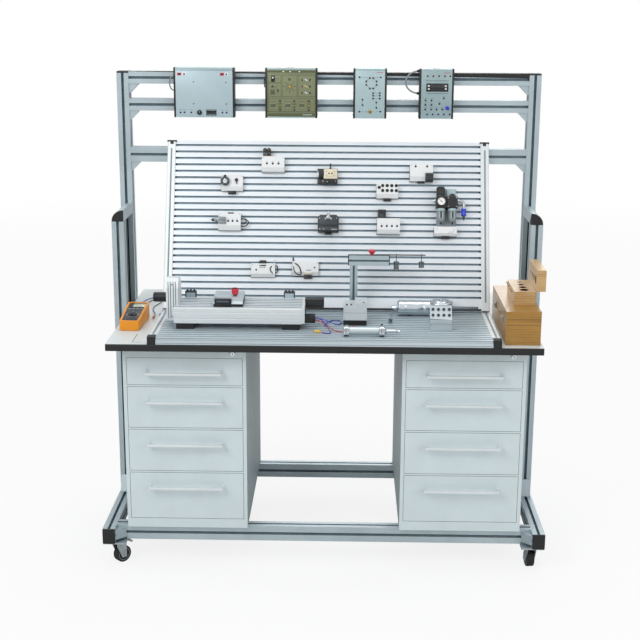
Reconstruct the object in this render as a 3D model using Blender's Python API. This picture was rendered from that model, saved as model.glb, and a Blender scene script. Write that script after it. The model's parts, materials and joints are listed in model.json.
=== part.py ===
"""Sensor training bench: a wheeled aluminium-profile workbench with two drawer cabinets,
a flat and a leaning slotted plate, four hung instruments, eleven clip-on sensor and air modules,
a linear axis with carriage, a bending-beam stand with weights, an air cylinder, a meter and wooden cases.

The frame is metres, +Z up, +X right, +Y away from the person who stands at the bench.
The origin is on the floor, under the middle of the worktop.
"""
import math
import bpy
import bmesh
from mathutils import Matrix, Vector

mm = 0.001

# Driving sizes of the bench

worktop_width = 1500 * mm
worktop_depth = 850 * mm
worktop_height = 854 * mm
worktop_thickness = 25 * mm
edge_band = 3 * mm
frame_height = 1737 * mm
touch_gap = 0.3 * mm
skin = 0.4 * mm
joint_overlap = 1 * mm
half_share = 1 / 2
third_share = 1 / 3
two_thirds_share = 2 / 3
quarter_share = 1 / 4
three_quarter_share = 3 / 4
fifth_share = 1 / 5
half_more_share = 3 / 2
shade_angle = math.radians(35)

# Sides of the round shapes, from the smallest to the largest

socket_sides = 6
wire_sides = 8
pin_sides = 10
knob_sides = 12
round_sides = 14
gauge_sides = 16
motor_sides = 18
wheel_sides = 20
dial_sides = 24
flutes = 12

# Aluminium profile: square section, and the deeper section of the foot, cross and wide beams

profile = 45 * mm
beam_height = 56 * mm
tall_post_depth = 62 * mm
slot_mouth = 10 * mm
slot_lip = 4 * mm
slot_cavity = 17 * mm
slot_floor = 9 * mm
slot_depth = 12 * mm
foot_inset = 48 * mm
foot_back_inset = 29 * mm
cross_beam_inset = 49 * mm
short_post_inset = 440 * mm
short_post_height = 1203 * mm
tall_post_inset = 645 * mm
lower_rail_drop = 100 * mm
wide_rail_rise = 601 * mm
arm_radius = 40 * mm
arm_lift = 2 * mm
arm_steps = 5
cap_thickness = 6 * mm
cap_round = 2 * mm
panel_thickness = 5 * mm
panel_bottom = 800 * mm
gusset_leg = 34 * mm
gusset_width = 36 * mm
gusset_toe = 5 * mm
post_bracket_height = 60 * mm

# Casters

caster_height = 93 * mm
caster_plate = 5 * mm
caster_plate_width = 82 * mm
caster_plate_length = 74 * mm
wheel_radius = 31 * mm
wheel_width = 26 * mm
wheel_bore = 5.4 * mm
tread_round = 7 * mm
axle_radius = 5 * mm
axle_overhang = 6 * mm
caster_trail = 24 * mm
caster_inset = 8 * mm
fork_wall = 2.5 * mm
fork_clearance = 2 * mm
fork_length = 40 * mm
fork_crown = 4 * mm
fork_shoulder = 8 * mm
bearing_radius = 21 * mm
pedal_length = 26 * mm
pedal_width = 30 * mm
pedal_thickness = 5 * mm
pedal_dip = 15 * mm

# Drawer cabinets

cabinet_inner_x = 273 * mm
cabinet_outer_x = 706 * mm
cabinet_inset = 78 * mm
cabinet_depth = 700 * mm
cabinet_wall = 3 * mm
cabinet_stile = 12.5 * mm
cabinet_top_rail = 43 * mm
cabinet_rail = 6 * mm
drawer_heights = (100 * mm, 152 * mm, 156 * mm, 176 * mm)
drawer_gap = 1.2 * mm
drawer_front = 16 * mm
drawer_wall = 1.6 * mm
drawer_side_room = 12 * mm
drawer_base_lift = 5 * mm
drawer_top_room = 18 * mm
drawer_back_room = 30 * mm
slide_height = 36 * mm
slide_lift = 18 * mm
handle_length = 262 * mm
handle_radius = 4.5 * mm
handle_reach = 30 * mm
handle_bend = 12 * mm
handle_drop = 50 * mm
lock_radius = 10 * mm
lock_reach = 5 * mm
lock_depth = 2.5 * mm
lock_from_edge = 47 * mm
lock_slot = 2 * mm

# Slotted plates: the flat one on the worktop and the leaning one behind it

plate_thickness = 25 * mm
plate_depth = 428 * mm
plate_half = 576 * mm
plate_setback = 2 * mm
slot_pitch = 25 * mm
plate_slot_mouth = 8 * mm
plate_slot_lip = 3 * mm
plate_slot_cavity = 14 * mm
plate_slot_depth = 9 * mm
plate_slot_first = 20 * mm
side_strip = 30 * mm
board_lean = math.radians(22)
board_length = 642 * mm
board_thickness = 15 * mm
board_slot_first = 50 * mm
board_slots = 24
strip_proud = 4 * mm
corner_cap = 30 * mm

# Hung instruments: height and depth, then each one's middle and width

instrument_height = 183 * mm
instrument_front = 45 * mm
instrument_rise = 18 * mm
instrument_side = 4 * mm
instrument_hook = 6 * mm
instrument_hook_drop = 26 * mm
instrument_round = 3 * mm
socket_radius = 3.4 * mm
socket_reach = 3 * mm
held_cable = 2 * mm
loop_steps = 7
rocker_x = -435.5 * mm
rocker_z = 18 * mm
rocker_width = 31 * mm
rocker_height = 16 * mm
rocker_front = 3 * mm
rocker_back = 4 * mm
rocker_play = 1.2 * mm


def sizes(rows):
    """The rows of a table that is written in millimetres, in metres."""
    return [tuple(value * mm for value in row) for row in rows]


# Each instrument: its middle and width, then its sockets (across, up from its lower edge), its knobs
# (across, up, radius, reach), its raised plates (across, up, width, height, reach) and the cable loop
# held at its left side (across, lower end, upper end, how far it bows out)

instruments = {
    "power_unit": {
        "middle": -461.5 * mm,
        "width": 227 * mm,
        "sockets": sizes([(-554, 165), (-539, 165), (-396, 165), (-380, 165), (-551, 18), (-535, 18),
                          (-512, 18), (-394, 18), (-379, 18)]),
        "knobs": sizes([(-480, 18, 8, 8)]),
        "plates": [],
        "loop": (-575 * mm, 97 * mm, 151 * mm, 18 * mm),
    },
    "process_unit": {
        "middle": -137 * mm,
        "width": 194 * mm,
        "sockets": sizes([(-95.8, 140), (-67.7, 140), (-95.8, 116), (-67.7, 116), (-95.8, 92.4),
                          (-67.7, 92.4), (-178.5, 63), (-178.5, 29.5), (-125.6, 63), (-125.6, 29.5),
                          (-71.1, 63), (-71.1, 29.5)]),
        "knobs": [],
        "plates": sizes([(-204.5, 142, 15, 23, 3)]),
        "loop": None,
    },
    "bridge_unit": {
        "middle": 155.5 * mm,
        "width": 124 * mm,
        "sockets": sizes([(116, 151), (195, 151), (154, 148.4), (166.7, 148.4), (141.5, 136.2),
                          (179.7, 136.2), (141.5, 123.3), (179.7, 123.3), (154, 110.4),
                          (166.7, 110.4), (167, 94), (192, 94), (167, 84), (192, 84), (167, 73),
                          (192, 73), (180, 59), (180, 39), (128, 69), (128, 49), (116, 25), (195, 25)]),
        "knobs": sizes([(156, 24, 7, 4)]),
        "plates": [],
        "loop": None,
    },
    "display_unit": {
        "middle": 402 * mm,
        "width": 128 * mm,
        "sockets": sizes([(368, 157), (389, 157), (410, 157), (431, 157), (452, 157), (362, 68), (384, 68),
                          (384, 52), (384, 35), (404, 35), (424, 35), (414, 55), (429, 76), (368, 16),
                          (389, 16), (410, 16), (431, 16), (452, 16)]),
        "knobs": sizes([(444, 40, 9, 11)]),
        "plates": sizes([(404.5, 116, 79, 28, 2)]),
        "loop": (338 * mm, 92 * mm, 174 * mm, 50 * mm),
    },
}

# Clip-on modules of the leaning board: middle across, middle up the board, width, height, depth.
# Then, measured from the box's lower left corner: its sockets (across, up), what is built on it
# (kind, across, up, width, height, depth), its round eyes (across, up, radius, depth behind them) and
# its held cables (across, up, how far it bows out, how far down it comes back)

modules = {
    "optical_module": {
        "x": -204.5 * mm, "s": 548 * mm, "w": 85 * mm, "h": 58 * mm, "d": 30 * mm,
        "sockets": sizes([(19.5, 29), (41.5, 29), (63, 29)]),
        "blocks": [("box", 3 * mm, 50 * mm, 31 * mm, 40 * mm, 27 * mm)],
        "eyes": sizes([(11, 81, 6, 27), (26, 81, 6, 27)]),
        "cables": [],
    },
    "limit_module": {
        "x": -357.5 * mm, "s": 476 * mm, "w": 81 * mm, "h": 60 * mm, "d": 22 * mm,
        "sockets": sizes([(57, 39)]),
        "blocks": [("box", -2 * mm, 14 * mm, 34 * mm, 38 * mm, 36 * mm),
                   ("box", 25 * mm, -11 * mm, 30 * mm, 14 * mm, 14 * mm)],
        "eyes": sizes([(24, 32, 8, 36)]),
        "cables": [],
    },
    "probe_module": {
        "x": -363.5 * mm, "s": 328 * mm, "w": 83 * mm, "h": 66 * mm, "d": 26 * mm,
        "sockets": sizes([(37, 33), (53, 33), (70, 33)]),
        "blocks": [("box", 30 * mm, 62 * mm, 32 * mm, 6 * mm, 20 * mm),
                   ("box", 2 * mm, 22 * mm, 26 * mm, 26 * mm, 36 * mm),
                   ("rod", 3 * mm, 38 * mm, -27 * mm, 17 * mm, 20 * mm)],
        "eyes": [],
        "cables": sizes([(83, 42, 29, 26)]),
    },
    "relay_module": {
        "x": 352 * mm, "s": 520 * mm, "w": 86 * mm, "h": 64 * mm, "d": 26 * mm,
        "sockets": sizes([(21, 54), (64, 54)]),
        "blocks": [("box", 57 * mm, -1 * mm, 30 * mm, 29 * mm, 34 * mm),
                   ("box", 28 * mm, -6 * mm, 28 * mm, 10 * mm, 14 * mm)],
        "eyes": [],
        "cables": [],
    },
    "port_module": {
        "x": 224.5 * mm, "s": 450 * mm, "w": 81 * mm, "h": 57 * mm, "d": 26 * mm,
        "sockets": sizes([(10, 39), (23, 46), (40, 46), (57, 46), (74, 46), (23, 27), (40, 27), (57, 27),
                          (74, 27)]),
        "blocks": [("box", 26 * mm, -9 * mm, 29 * mm, 12 * mm, 14 * mm)],
        "eyes": [],
        "cables": [],
    },
    "colour_module": {
        "x": 229.5 * mm, "s": 314 * mm, "w": 85 * mm, "h": 57 * mm, "d": 30 * mm,
        "sockets": sizes([(17, 27), (36, 27), (55, 27), (74, 27)]),
        "blocks": [("box", 2 * mm, 50 * mm, 31 * mm, 42 * mm, 27 * mm)],
        "eyes": sizes([(10, 84, 5, 27), (25, 82, 5, 27)]),
        "cables": [],
    },
    "reed_module": {
        "x": -235.5 * mm, "s": 145 * mm, "w": 89 * mm, "h": 52 * mm, "d": 14 * mm,
        "sockets": sizes([(19, 27)]),
        "blocks": [("box", 27 * mm, 46 * mm, 32 * mm, 17 * mm, 11 * mm)],
        "eyes": [],
        "cables": sizes([(89, 44, 9, 30)]),
    },
    "strip_module": {
        "x": -78 * mm, "s": 153 * mm, "w": 98 * mm, "h": 53 * mm, "d": 14 * mm,
        "sockets": sizes([(83, 30)]),
        "blocks": [("box", 43 * mm, -11 * mm, 30 * mm, 14 * mm, 11 * mm),
                   ("box", 1 * mm, 48 * mm, 5 * mm, 21 * mm, 8 * mm)],
        "eyes": [],
        "cables": [],
    },
    "air_foot": {
        "x": 441.5 * mm, "s": 296 * mm, "w": 83 * mm, "h": 34 * mm, "d": 30 * mm,
    },
}
module_socket = 4.2 * mm
module_skirt_share = 0.24
module_skirt_cut = 8 * mm
rib_play = 0.6 * mm
rib_depth = 2.4 * mm
eye_reach = 3 * mm
valve_pale_x = 0 * mm
valve_pale_s = 505 * mm
valve_pale_width = 76 * mm
valve_pale_height = 62 * mm
valve_pale_depth = 34 * mm
valve_coil_width = 18 * mm
valve_coil_height = 44 * mm
valve_base_height = 16 * mm
valve_black_x = 5 * mm
valve_black_s = 323 * mm
valve_black_width = 78 * mm
valve_black_height = 66 * mm
valve_black_depth = 34 * mm
stud_radius = 3.5 * mm
stud_length = 16 * mm

# Air preparation unit: filter-regulator with gauge, lubricator, bowls, elbow and slide valve

air_body_bottom = 380 * mm
air_body_height = 45 * mm
air_body_depth = 42 * mm
air_left_x = 424 * mm
air_right_x = 467 * mm
air_half_width = 19 * mm
bowl_radius = 17 * mm
bowl_length = 50 * mm
regulator_radius = 16 * mm
regulator_height = 38 * mm
knob_flute = 1 * mm
gauge_radius = 17 * mm
gauge_depth = 12 * mm
lubricator_radius = 12 * mm
lubricator_height = 14 * mm
back_plate_width = 74 * mm
back_plate_thickness = 4 * mm
elbow_radius = 6 * mm
elbow_drop = 18 * mm
sleeve_radius = 10 * mm
sleeve_from = 12 * mm
sleeve_length = 25 * mm
slide_valve_x = 509 * mm
slide_valve_radius = 5 * mm
slide_valve_length = 54 * mm

# Linear axis on the flat plate

axis_left = -529 * mm
axis_right = -80 * mm
axis_inset = 122 * mm
axis_width = 170 * mm
axis_body = 55 * mm
axis_foot_height = 20 * mm
axis_foot_width = 62 * mm
axis_foot_inset = 8 * mm
axis_slots = 6
axis_slot_depth = 5 * mm
axis_groove = 2 * mm
axis_face_shares = (0.3, 0.72)
carriage_middle = -340 * mm
carriage_length = 103 * mm
carriage_width = 112 * mm
carriage_inset = 26 * mm
carriage_base = 18 * mm
carriage_top = 14 * mm
carriage_round = 8 * mm
clamp_radius = 13 * mm
clamp_height = 26 * mm
clamp_offset = 22 * mm
upright_width = 42 * mm
upright_overlap = 12 * mm
upright_depth = 96 * mm
upright_height = 92 * mm
upright_chamfer = 30 * mm
left_motor_radius = 17 * mm
left_motor_length = 52 * mm
left_motor_tip = 9 * mm
right_bracket = 10 * mm
right_motor_length = 66 * mm
right_motor_side = 40 * mm
connector_box = 36 * mm
connector_height = 24 * mm
axis_sensor_xs = (-488 * mm, -131 * mm)
axis_sensor_width = 40 * mm
axis_sensor_height = 24 * mm
axis_sensor_depth = 14 * mm

# Bending-beam stand with two hooked weights

stand_x = 101 * mm
stand_inset = 330 * mm
stand_profile = 28 * mm
stand_height = 188 * mm
stand_arm_left = 83 * mm
stand_arm_right = 228 * mm
stand_arm_height = 37 * mm
stand_slot_mouth = 7 * mm
stand_slot_cavity = 12 * mm
stand_slot_depth = 7 * mm
stand_foot = 8 * mm
stand_foot_side = 60 * mm
beam_left = 160 * mm
beam_right = 360 * mm
beam_width = 12 * mm
beam_thickness = 3 * mm
beam_knob_x = 166 * mm
beam_knob_radius = 13 * mm
beam_knob_height = 17 * mm
weight_radius = 10.5 * mm
weight_waist = 8 * mm
hook_wire = 1.3 * mm
hook_stem = 16 * mm
hook_play = 0.5 * mm
weights = {
    "weight_long": {"x": 255 * mm, "height": 34 * mm},
    "weight_short": {"x": 346 * mm, "height": 21 * mm},
}

# Other devices that lie on the flat plate

amplifier_left = 65 * mm
amplifier_width = 83 * mm
amplifier_inset = 191 * mm
amplifier_depth = 88 * mm
amplifier_height = 62 * mm
amplifier_base = 20 * mm
amplifier_notch = 10 * mm
amplifier_socket_shares = (0.14, 0.86)
cylinder_left = 66 * mm
cylinder_inset = 52 * mm
cylinder_length = 142 * mm
cylinder_radius = 12.5 * mm
cylinder_head = 16 * mm
cylinder_head_length = 22 * mm
cylinder_port = 4.5 * mm
saddle_height = 10 * mm
piston_rod_radius = 5 * mm
rod_bore_play = 0.3 * mm
piston_rod_out = 44 * mm
piston_rod_in = 60 * mm
piston_travel = 34 * mm
bore_room = 4 * mm
rod_nut_radius = 9 * mm
rod_nut_length = 8 * mm
tube_left = 262 * mm
tube_length = 122 * mm
tube_radius = 28 * mm
tube_round = 6 * mm
tube_inset = 352 * mm
nozzle_length = 22 * mm
nozzle_radius = 5 * mm
puck_radius = 45 * mm
puck_height = 40 * mm
puck_rim = 5 * mm
puck_lid_inset = 15 * mm
puck_overlap = 8 * mm
bar_length = 92 * mm
bar_radius = 8 * mm
manifold_left = 369 * mm
manifold_width = 76 * mm
manifold_inset = 132 * mm
manifold_depth = 46 * mm
manifold_height = 82 * mm
manifold_step = 40 * mm
manifold_setback = 12 * mm
port_radius = 5 * mm
port_reach = 4 * mm
ports_per_row = 4
port_row_shares = (0.28, 0.74)

# Wooden cases at the right end

case_left = 622 * mm
case_width = 120 * mm
case_inset = 41 * mm
case_depth = 410 * mm
case_height = 118 * mm
case_lid_line = 48 * mm
case_groove = 1.5 * mm
block_left = 660 * mm
block_width = 76 * mm
block_inset = 146 * mm
block_depth = 196 * mm
block_height = 46 * mm
lid_thickness = 32 * mm
block_round = 2 * mm
weight_well_radii = (15 * mm, 12 * mm, 9 * mm, 6.5 * mm)
weight_well_depth = 26 * mm
well_spacing = 42 * mm
clasp_width = 16 * mm
clasp_height = 22 * mm
clasp_thickness = 4 * mm
clasp_reach = 12 * mm
lid_well_depth = 12 * mm
clasp_shares = (0.25, 0.72)

# Hand meter at the left end

meter_x = -697 * mm
meter_inset = 182 * mm
meter_width = 78 * mm
meter_length = 186 * mm
meter_height = 36 * mm
meter_tilt = math.radians(8)
meter_turn = math.radians(-2)
meter_taper = 8 * mm
meter_round = 7 * mm
meter_well = 3 * mm
meter_rim = 7 * mm
dial_radius = 16 * mm
dial_height = 5 * mm
dial_grip = 2 * mm
dial_share = 0.36
jack_radius = 5 * mm
jack_reach = 3 * mm

# Leads

lead_radius = 1.6 * mm
plug_radius = 4.5 * mm
plug_length = 34 * mm
pin_radius = 2 * mm
meter_lead_route = sizes([
    (-662.4, -54.8, 872.3), (-661.8, -38, 871.5), (-672, 0, 862), (-691, 60, 856.1), (-700, 130, 856.1),
    (-690, 200, 856.1), (-668, 248, 856.1), (-648, 238, 856.1), (-645, 190, 856.1), (-660, 120, 856.1),
    (-657, 60, 856.1), (-643, 10, 857), (-637, -28, 859), (-636, -45, 859.1),
])
meter_plug_tip = Vector((-638, -79, 859.1)) * mm
axis_lead_route = sizes([(-33.7, -280, 916.6), (-20, -280, 916), (5, -277, 908), (30, -262, 893),
                         (48, -235, 882.6), (58, -205, 881.4), (52, -176, 881.4), (35, -166, 881.4),
                         (19, -178, 881.6), (9, -203, 883.6), (5, -221, 884.4)])
axis_plug_tip = Vector((-2, -254, 884.4)) * mm

# Places worked out from the driving sizes

front_y = -worktop_depth / 2
back_y = worktop_depth / 2
side_x = worktop_width / 2
beam_bottom = caster_height
beam_top = beam_bottom + beam_height
foot_front = front_y + foot_inset
foot_back = back_y - foot_back_inset
post_inner_x = side_x + touch_gap
post_outer_x = post_inner_x + profile
post_middle_x = (post_inner_x + post_outer_x) / 2
short_post_y = front_y + short_post_inset
tall_post_y = front_y + tall_post_inset
rail_top = frame_height
lower_rail_top = frame_height - lower_rail_drop
wide_rail_top = worktop_height + wide_rail_rise
worktop_bottom = worktop_height - worktop_thickness
plate_bottom = worktop_height + touch_gap
plate_top = plate_bottom + plate_thickness
plate_front = front_y + plate_setback
bench_floor = plate_top + touch_gap
cabinet_front = front_y + cabinet_inset
cabinet_bottom = beam_top + touch_gap
cabinet_top = worktop_bottom - touch_gap
cabinet_width = cabinet_outer_x - cabinet_inner_x

# The leaning board rests on the flat plate by its rear lower edge and on the wide rail's front edge
board_back_foot_y = tall_post_y - touch_gap - (wide_rail_top - bench_floor) * math.tan(board_lean)
board_foot = Vector((
    0,
    board_back_foot_y - board_thickness * math.cos(board_lean),
    bench_floor + board_thickness * math.sin(board_lean),
))
board_frame = Matrix.Translation(board_foot) @ Matrix.Rotation(-board_lean, 4, "X")


def clear_scene():
    for old in list(bpy.data.objects):
        bpy.data.objects.remove(old, do_unlink=True)


def finish_material(name, colour, roughness, metallic):
    """A Principled material with one colour, roughness and metallic value."""
    made = bpy.data.materials.new(name)
    made.use_nodes = True
    shader = made.node_tree.nodes["Principled BSDF"]
    shader.inputs["Base Color"].default_value = (*colour, 1)
    shader.inputs["Roughness"].default_value = roughness
    shader.inputs["Metallic"].default_value = metallic
    return made


def link_node(name, bm, material, frame=None):
    """Closes a bmesh into an object whose origin is the given frame, in which its points are written."""
    bmesh.ops.recalc_face_normals(bm, faces=bm.faces)
    mesh = bpy.data.meshes.new(name)
    bm.to_mesh(mesh)
    bm.free()
    mesh.shade_smooth()
    mesh.set_sharp_from_angle(angle=shade_angle)
    mesh.materials.append(material)
    made = bpy.data.objects.new(name, mesh)
    bpy.context.scene.collection.objects.link(made)
    made.matrix_world = frame if frame is not None else Matrix.Identity(4)
    return made


def carve(target, name, bm):
    """Cuts the bmesh's solids out of an object; the cutter stays as a hidden wire object."""
    cutter = link_node(name, bm, target.data.materials[0], target.matrix_world.copy())
    cutter.hide_render = True
    cutter.display_type = "WIRE"
    cut = target.modifiers.new(name, "BOOLEAN")
    cut.operation = "DIFFERENCE"
    cut.solver = "EXACT"
    cut.object = cutter


def weld(target, name, bm):
    """Joins the bmesh's solids to an object, so that they become one body."""
    adder = link_node(name, bm, target.data.materials[0], target.matrix_world.copy())
    adder.hide_render = True
    adder.display_type = "WIRE"
    join = target.modifiers.new(name, "BOOLEAN")
    join.operation = "UNION"
    join.solver = "EXACT"
    join.object = adder


def prism(bm, outline, axis, start, end):
    """Extrudes an outline along an axis. Its points are the other two axes, in X, Y, Z order."""
    def point(pair, along):
        first, second = pair
        if axis == "X":
            return (along, first, second)
        if axis == "Y":
            return (first, along, second)
        return (first, second, along)
    near = [bm.verts.new(point(pair, start)) for pair in outline]
    far = [bm.verts.new(point(pair, end)) for pair in outline]
    count = len(outline)
    bm.faces.new(near)
    bm.faces.new(list(reversed(far)))
    for index in range(count):
        after = (index + 1) % count
        bm.faces.new((near[index], far[index], far[after], near[after]))
    return near + far


def block(bm, low, high):
    """A plain block between two corners."""
    corners = [(low[0], low[1]), (high[0], low[1]), (high[0], high[1]), (low[0], high[1])]
    return prism(bm, corners, "Z", low[2], high[2])


def soft_block(bm, low, high, radius, axis):
    """A block whose four edges along one axis are cut back, as on a moulded or milled case."""
    first, second = {"X": (1, 2), "Y": (0, 2), "Z": (0, 1)}[axis]
    along = {"X": 0, "Y": 1, "Z": 2}[axis]
    outline = rounded_rectangle(low[first], low[second], high[first], high[second], radius, 1)
    return prism(bm, outline, axis, low[along], high[along])


def rounded_rectangle(left, bottom, right, top, radius, steps):
    """Corner points of a rectangle whose corners are arcs of the given number of steps."""
    points = []
    centres = (
        (right - radius, bottom + radius, -math.pi / 2),
        (right - radius, top - radius, 0),
        (left + radius, top - radius, math.pi / 2),
        (left + radius, bottom + radius, math.pi),
    )
    for centre_x, centre_y, begin in centres:
        for step in range(steps + 1):
            angle = begin + step * math.pi / (2 * steps)
            points.append((centre_x + radius * math.cos(angle), centre_y + radius * math.sin(angle)))
    return points


def turned(bm, profile_points, centre, axis, sides):
    """Turns a closed profile of (radius, height) pairs about an axis through a centre."""
    centre = Vector(centre)
    axis = Vector(axis).normalized()
    across = axis.orthogonal().normalized()
    third = axis.cross(across)
    rings = []
    for radius, height in profile_points:
        if radius == 0:
            rings.append([bm.verts.new(centre + axis * height)])
            continue
        ring = []
        for side in range(sides):
            angle = 2 * math.pi * side / sides
            spoke = across * math.cos(angle) + third * math.sin(angle)
            ring.append(bm.verts.new(centre + axis * height + spoke * radius))
        rings.append(ring)
    closed = profile_points[0][0] > 0
    last = len(rings) if closed else len(rings) - 1
    for index in range(last):
        lower = rings[index]
        upper = rings[(index + 1) % len(rings)]
        for side in range(sides):
            after = (side + 1) % sides
            if len(lower) == 1:
                bm.faces.new((lower[0], upper[side], upper[after]))
            elif len(upper) == 1:
                bm.faces.new((lower[side], upper[0], lower[after]))
            else:
                bm.faces.new((lower[side], upper[side], upper[after], lower[after]))


def rod(bm, start, end, radius, sides):
    """A round bar between two points."""
    start = Vector(start)
    along = Vector(end) - start
    turned(bm, [(0, 0), (radius, 0), (radius, along.length), (0, along.length)], start, along, sides)


def bent_rod(bm, path, radius, sides):
    """A round wire along a path, with flat ends; each ring stands square to the path."""
    path = [Vector(point) for point in path]
    rings = []
    across = None
    for index, point in enumerate(path):
        before = path[max(index - 1, 0)]
        after = path[min(index + 1, len(path) - 1)]
        along = (after - before).normalized()
        if across is None:
            across = along.orthogonal().normalized()
        across = (across - along * across.dot(along)).normalized()
        third = along.cross(across)
        ring = []
        for side in range(sides):
            angle = 2 * math.pi * side / sides
            ring.append(bm.verts.new(point + (across * math.cos(angle) + third * math.sin(angle)) * radius))
        rings.append(ring)
    for lower, upper in zip(rings, rings[1:]):
        for side in range(sides):
            following = (side + 1) % sides
            bm.faces.new((lower[side], upper[side], upper[following], lower[following]))
    bm.faces.new(rings[0])
    bm.faces.new(list(reversed(rings[-1])))


def slot_points(mouth, lip, cavity, floor, depth):
    """One T-slot seen from outside, from left to right: (along the face, into the profile)."""
    return [
        (-mouth / 2, 0), (-mouth / 2, lip), (-cavity / 2, lip), (-floor / 2, depth),
        (floor / 2, depth), (cavity / 2, lip), (mouth / 2, lip), (mouth / 2, 0),
    ]


def slotted_outline(width, height, mouth=slot_mouth, lip=slot_lip, cavity=slot_cavity,
                    floor=slot_floor, depth=slot_depth):
    """Section of a T-slot profile, centred on zero, with one slot in the middle of each face."""
    slot = slot_points(mouth, lip, cavity, floor, depth)
    half_w = width / 2
    half_h = height / 2
    points = [(-half_w, -half_h)]
    points += [(along, -half_h + into) for along, into in slot]
    points.append((half_w, -half_h))
    points += [(half_w - into, along) for along, into in slot]
    points.append((half_w, half_h))
    points += [(-along, half_h - into) for along, into in slot]
    points.append((-half_w, half_h))
    points += [(-half_w + into, -along) for along, into in slot]
    return points


def slotted_plate_outline(length, thickness, first, count):
    """Side view of a slotted plate: (along the plate, up from its back), slots in its upper face."""
    points = [(length, 0), (0, 0), (0, thickness)]
    slot = slot_points(plate_slot_mouth, plate_slot_lip, plate_slot_cavity, plate_slot_mouth,
                       plate_slot_depth)
    for index in range(count):
        middle = first + index * slot_pitch
        points += [(middle + along, thickness - into) for along, into in slot]
    points.append((length, thickness))
    return points


def shifted(outline, first, second):
    return [(a + first, b + second) for a, b in outline]


clear_scene()
aluminium = finish_material("anodised_aluminium", (0.52, 0.62, 0.66), 0.38, 0.75)
bright = finish_material("bright_aluminium", (0.78, 0.84, 0.88), 0.35, 0.6)
black_plastic = finish_material("black_plastic", (0.012, 0.014, 0.016), 0.45, 0)
laminate = finish_material("pale_laminate", (0.74, 0.79, 0.78), 0.4, 0)
sheet_steel = finish_material("powder_coated_steel", (0.6, 0.7, 0.72), 0.42, 0)
chrome = finish_material("chromed_steel", (0.75, 0.77, 0.78), 0.15, 1)
rubber = finish_material("black_rubber", (0.02, 0.021, 0.022), 0.7, 0)
white_plastic = finish_material("white_module_plastic", (0.8, 0.84, 0.86), 0.4, 0)
panel_blue = finish_material("instrument_panel", (0.42, 0.55, 0.6), 0.45, 0)
smoked = finish_material("smoked_panel", (0.06, 0.09, 0.1), 0.15, 0)
red_plastic = finish_material("red_plastic", (0.55, 0.02, 0.05), 0.35, 0)
blue_plastic = finish_material("blue_plastic", (0.03, 0.06, 0.6), 0.35, 0)
cream = finish_material("cream_plastic", (0.72, 0.7, 0.52), 0.45, 0)
dark_wood = finish_material("case_timber", (0.48, 0.27, 0.09), 0.5, 0)
violet_plastic = finish_material("violet_insulation", (0.14, 0.04, 0.45), 0.45, 0)
olive = finish_material("olive_panel", (0.27, 0.29, 0.17), 0.45, 0)
orange = finish_material("orange_holster", (0.85, 0.33, 0.01), 0.5, 0)

instrument_finish = {
    "power_unit": panel_blue, "process_unit": olive, "bridge_unit": panel_blue, "display_unit": panel_blue,
}


# Frame of T-slot profile

cross_front_y = foot_front + cross_beam_inset + profile / 2
cross_back_y = foot_back - cross_beam_inset - profile / 2
beam_middle_z = (beam_bottom + beam_top) / 2
rail_middle_y = tall_post_y + profile / 2
rails = ((rail_top, profile), (lower_rail_top, profile), (wide_rail_top, beam_height))


def profile_bar(bm, axis, width, height, first, second, start, end):
    """A T-slot bar along an axis; first and second place its middle on the other two axes."""
    prism(bm, shifted(slotted_outline(width, height), first, second), axis, start, end)


def corner_bracket(bm, corner, run, rise, across, leg, height):
    """Cast bracket let into both of the members that meet at a corner, its long side along rise."""
    run = Vector(run)
    rise = Vector(rise)
    across = Vector(across) * gusset_width / 2
    corner = Vector(corner) - (run + rise) * joint_overlap
    leg = leg + joint_overlap
    height = height + joint_overlap
    outline = [(0, 0), (leg, 0), (leg, gusset_toe), (gusset_toe, height), (0, height)]
    near = [bm.verts.new(corner + run * a + rise * b - across) for a, b in outline]
    far = [bm.verts.new(corner + run * a + rise * b + across) for a, b in outline]
    bm.faces.new(near)
    bm.faces.new(list(reversed(far)))
    for index in range(len(outline)):
        after = (index + 1) % len(outline)
        bm.faces.new((near[index], far[index], far[after], near[after]))


def arm_section(side):
    """Section of the arm rail: upright on the bench side, an arc on the outer side."""
    inner = post_inner_x + skin
    width = profile - skin * 2
    bottom = short_post_height - joint_overlap
    points = [(side * inner, bottom), (side * (inner + width), bottom)]
    for step in range(arm_steps + 1):
        angle = math.pi / 2 * step / arm_steps
        points.append((side * (inner + width * math.cos(angle)),
                       short_post_height + arm_lift + arm_radius * math.sin(angle)))
    return points


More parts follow.
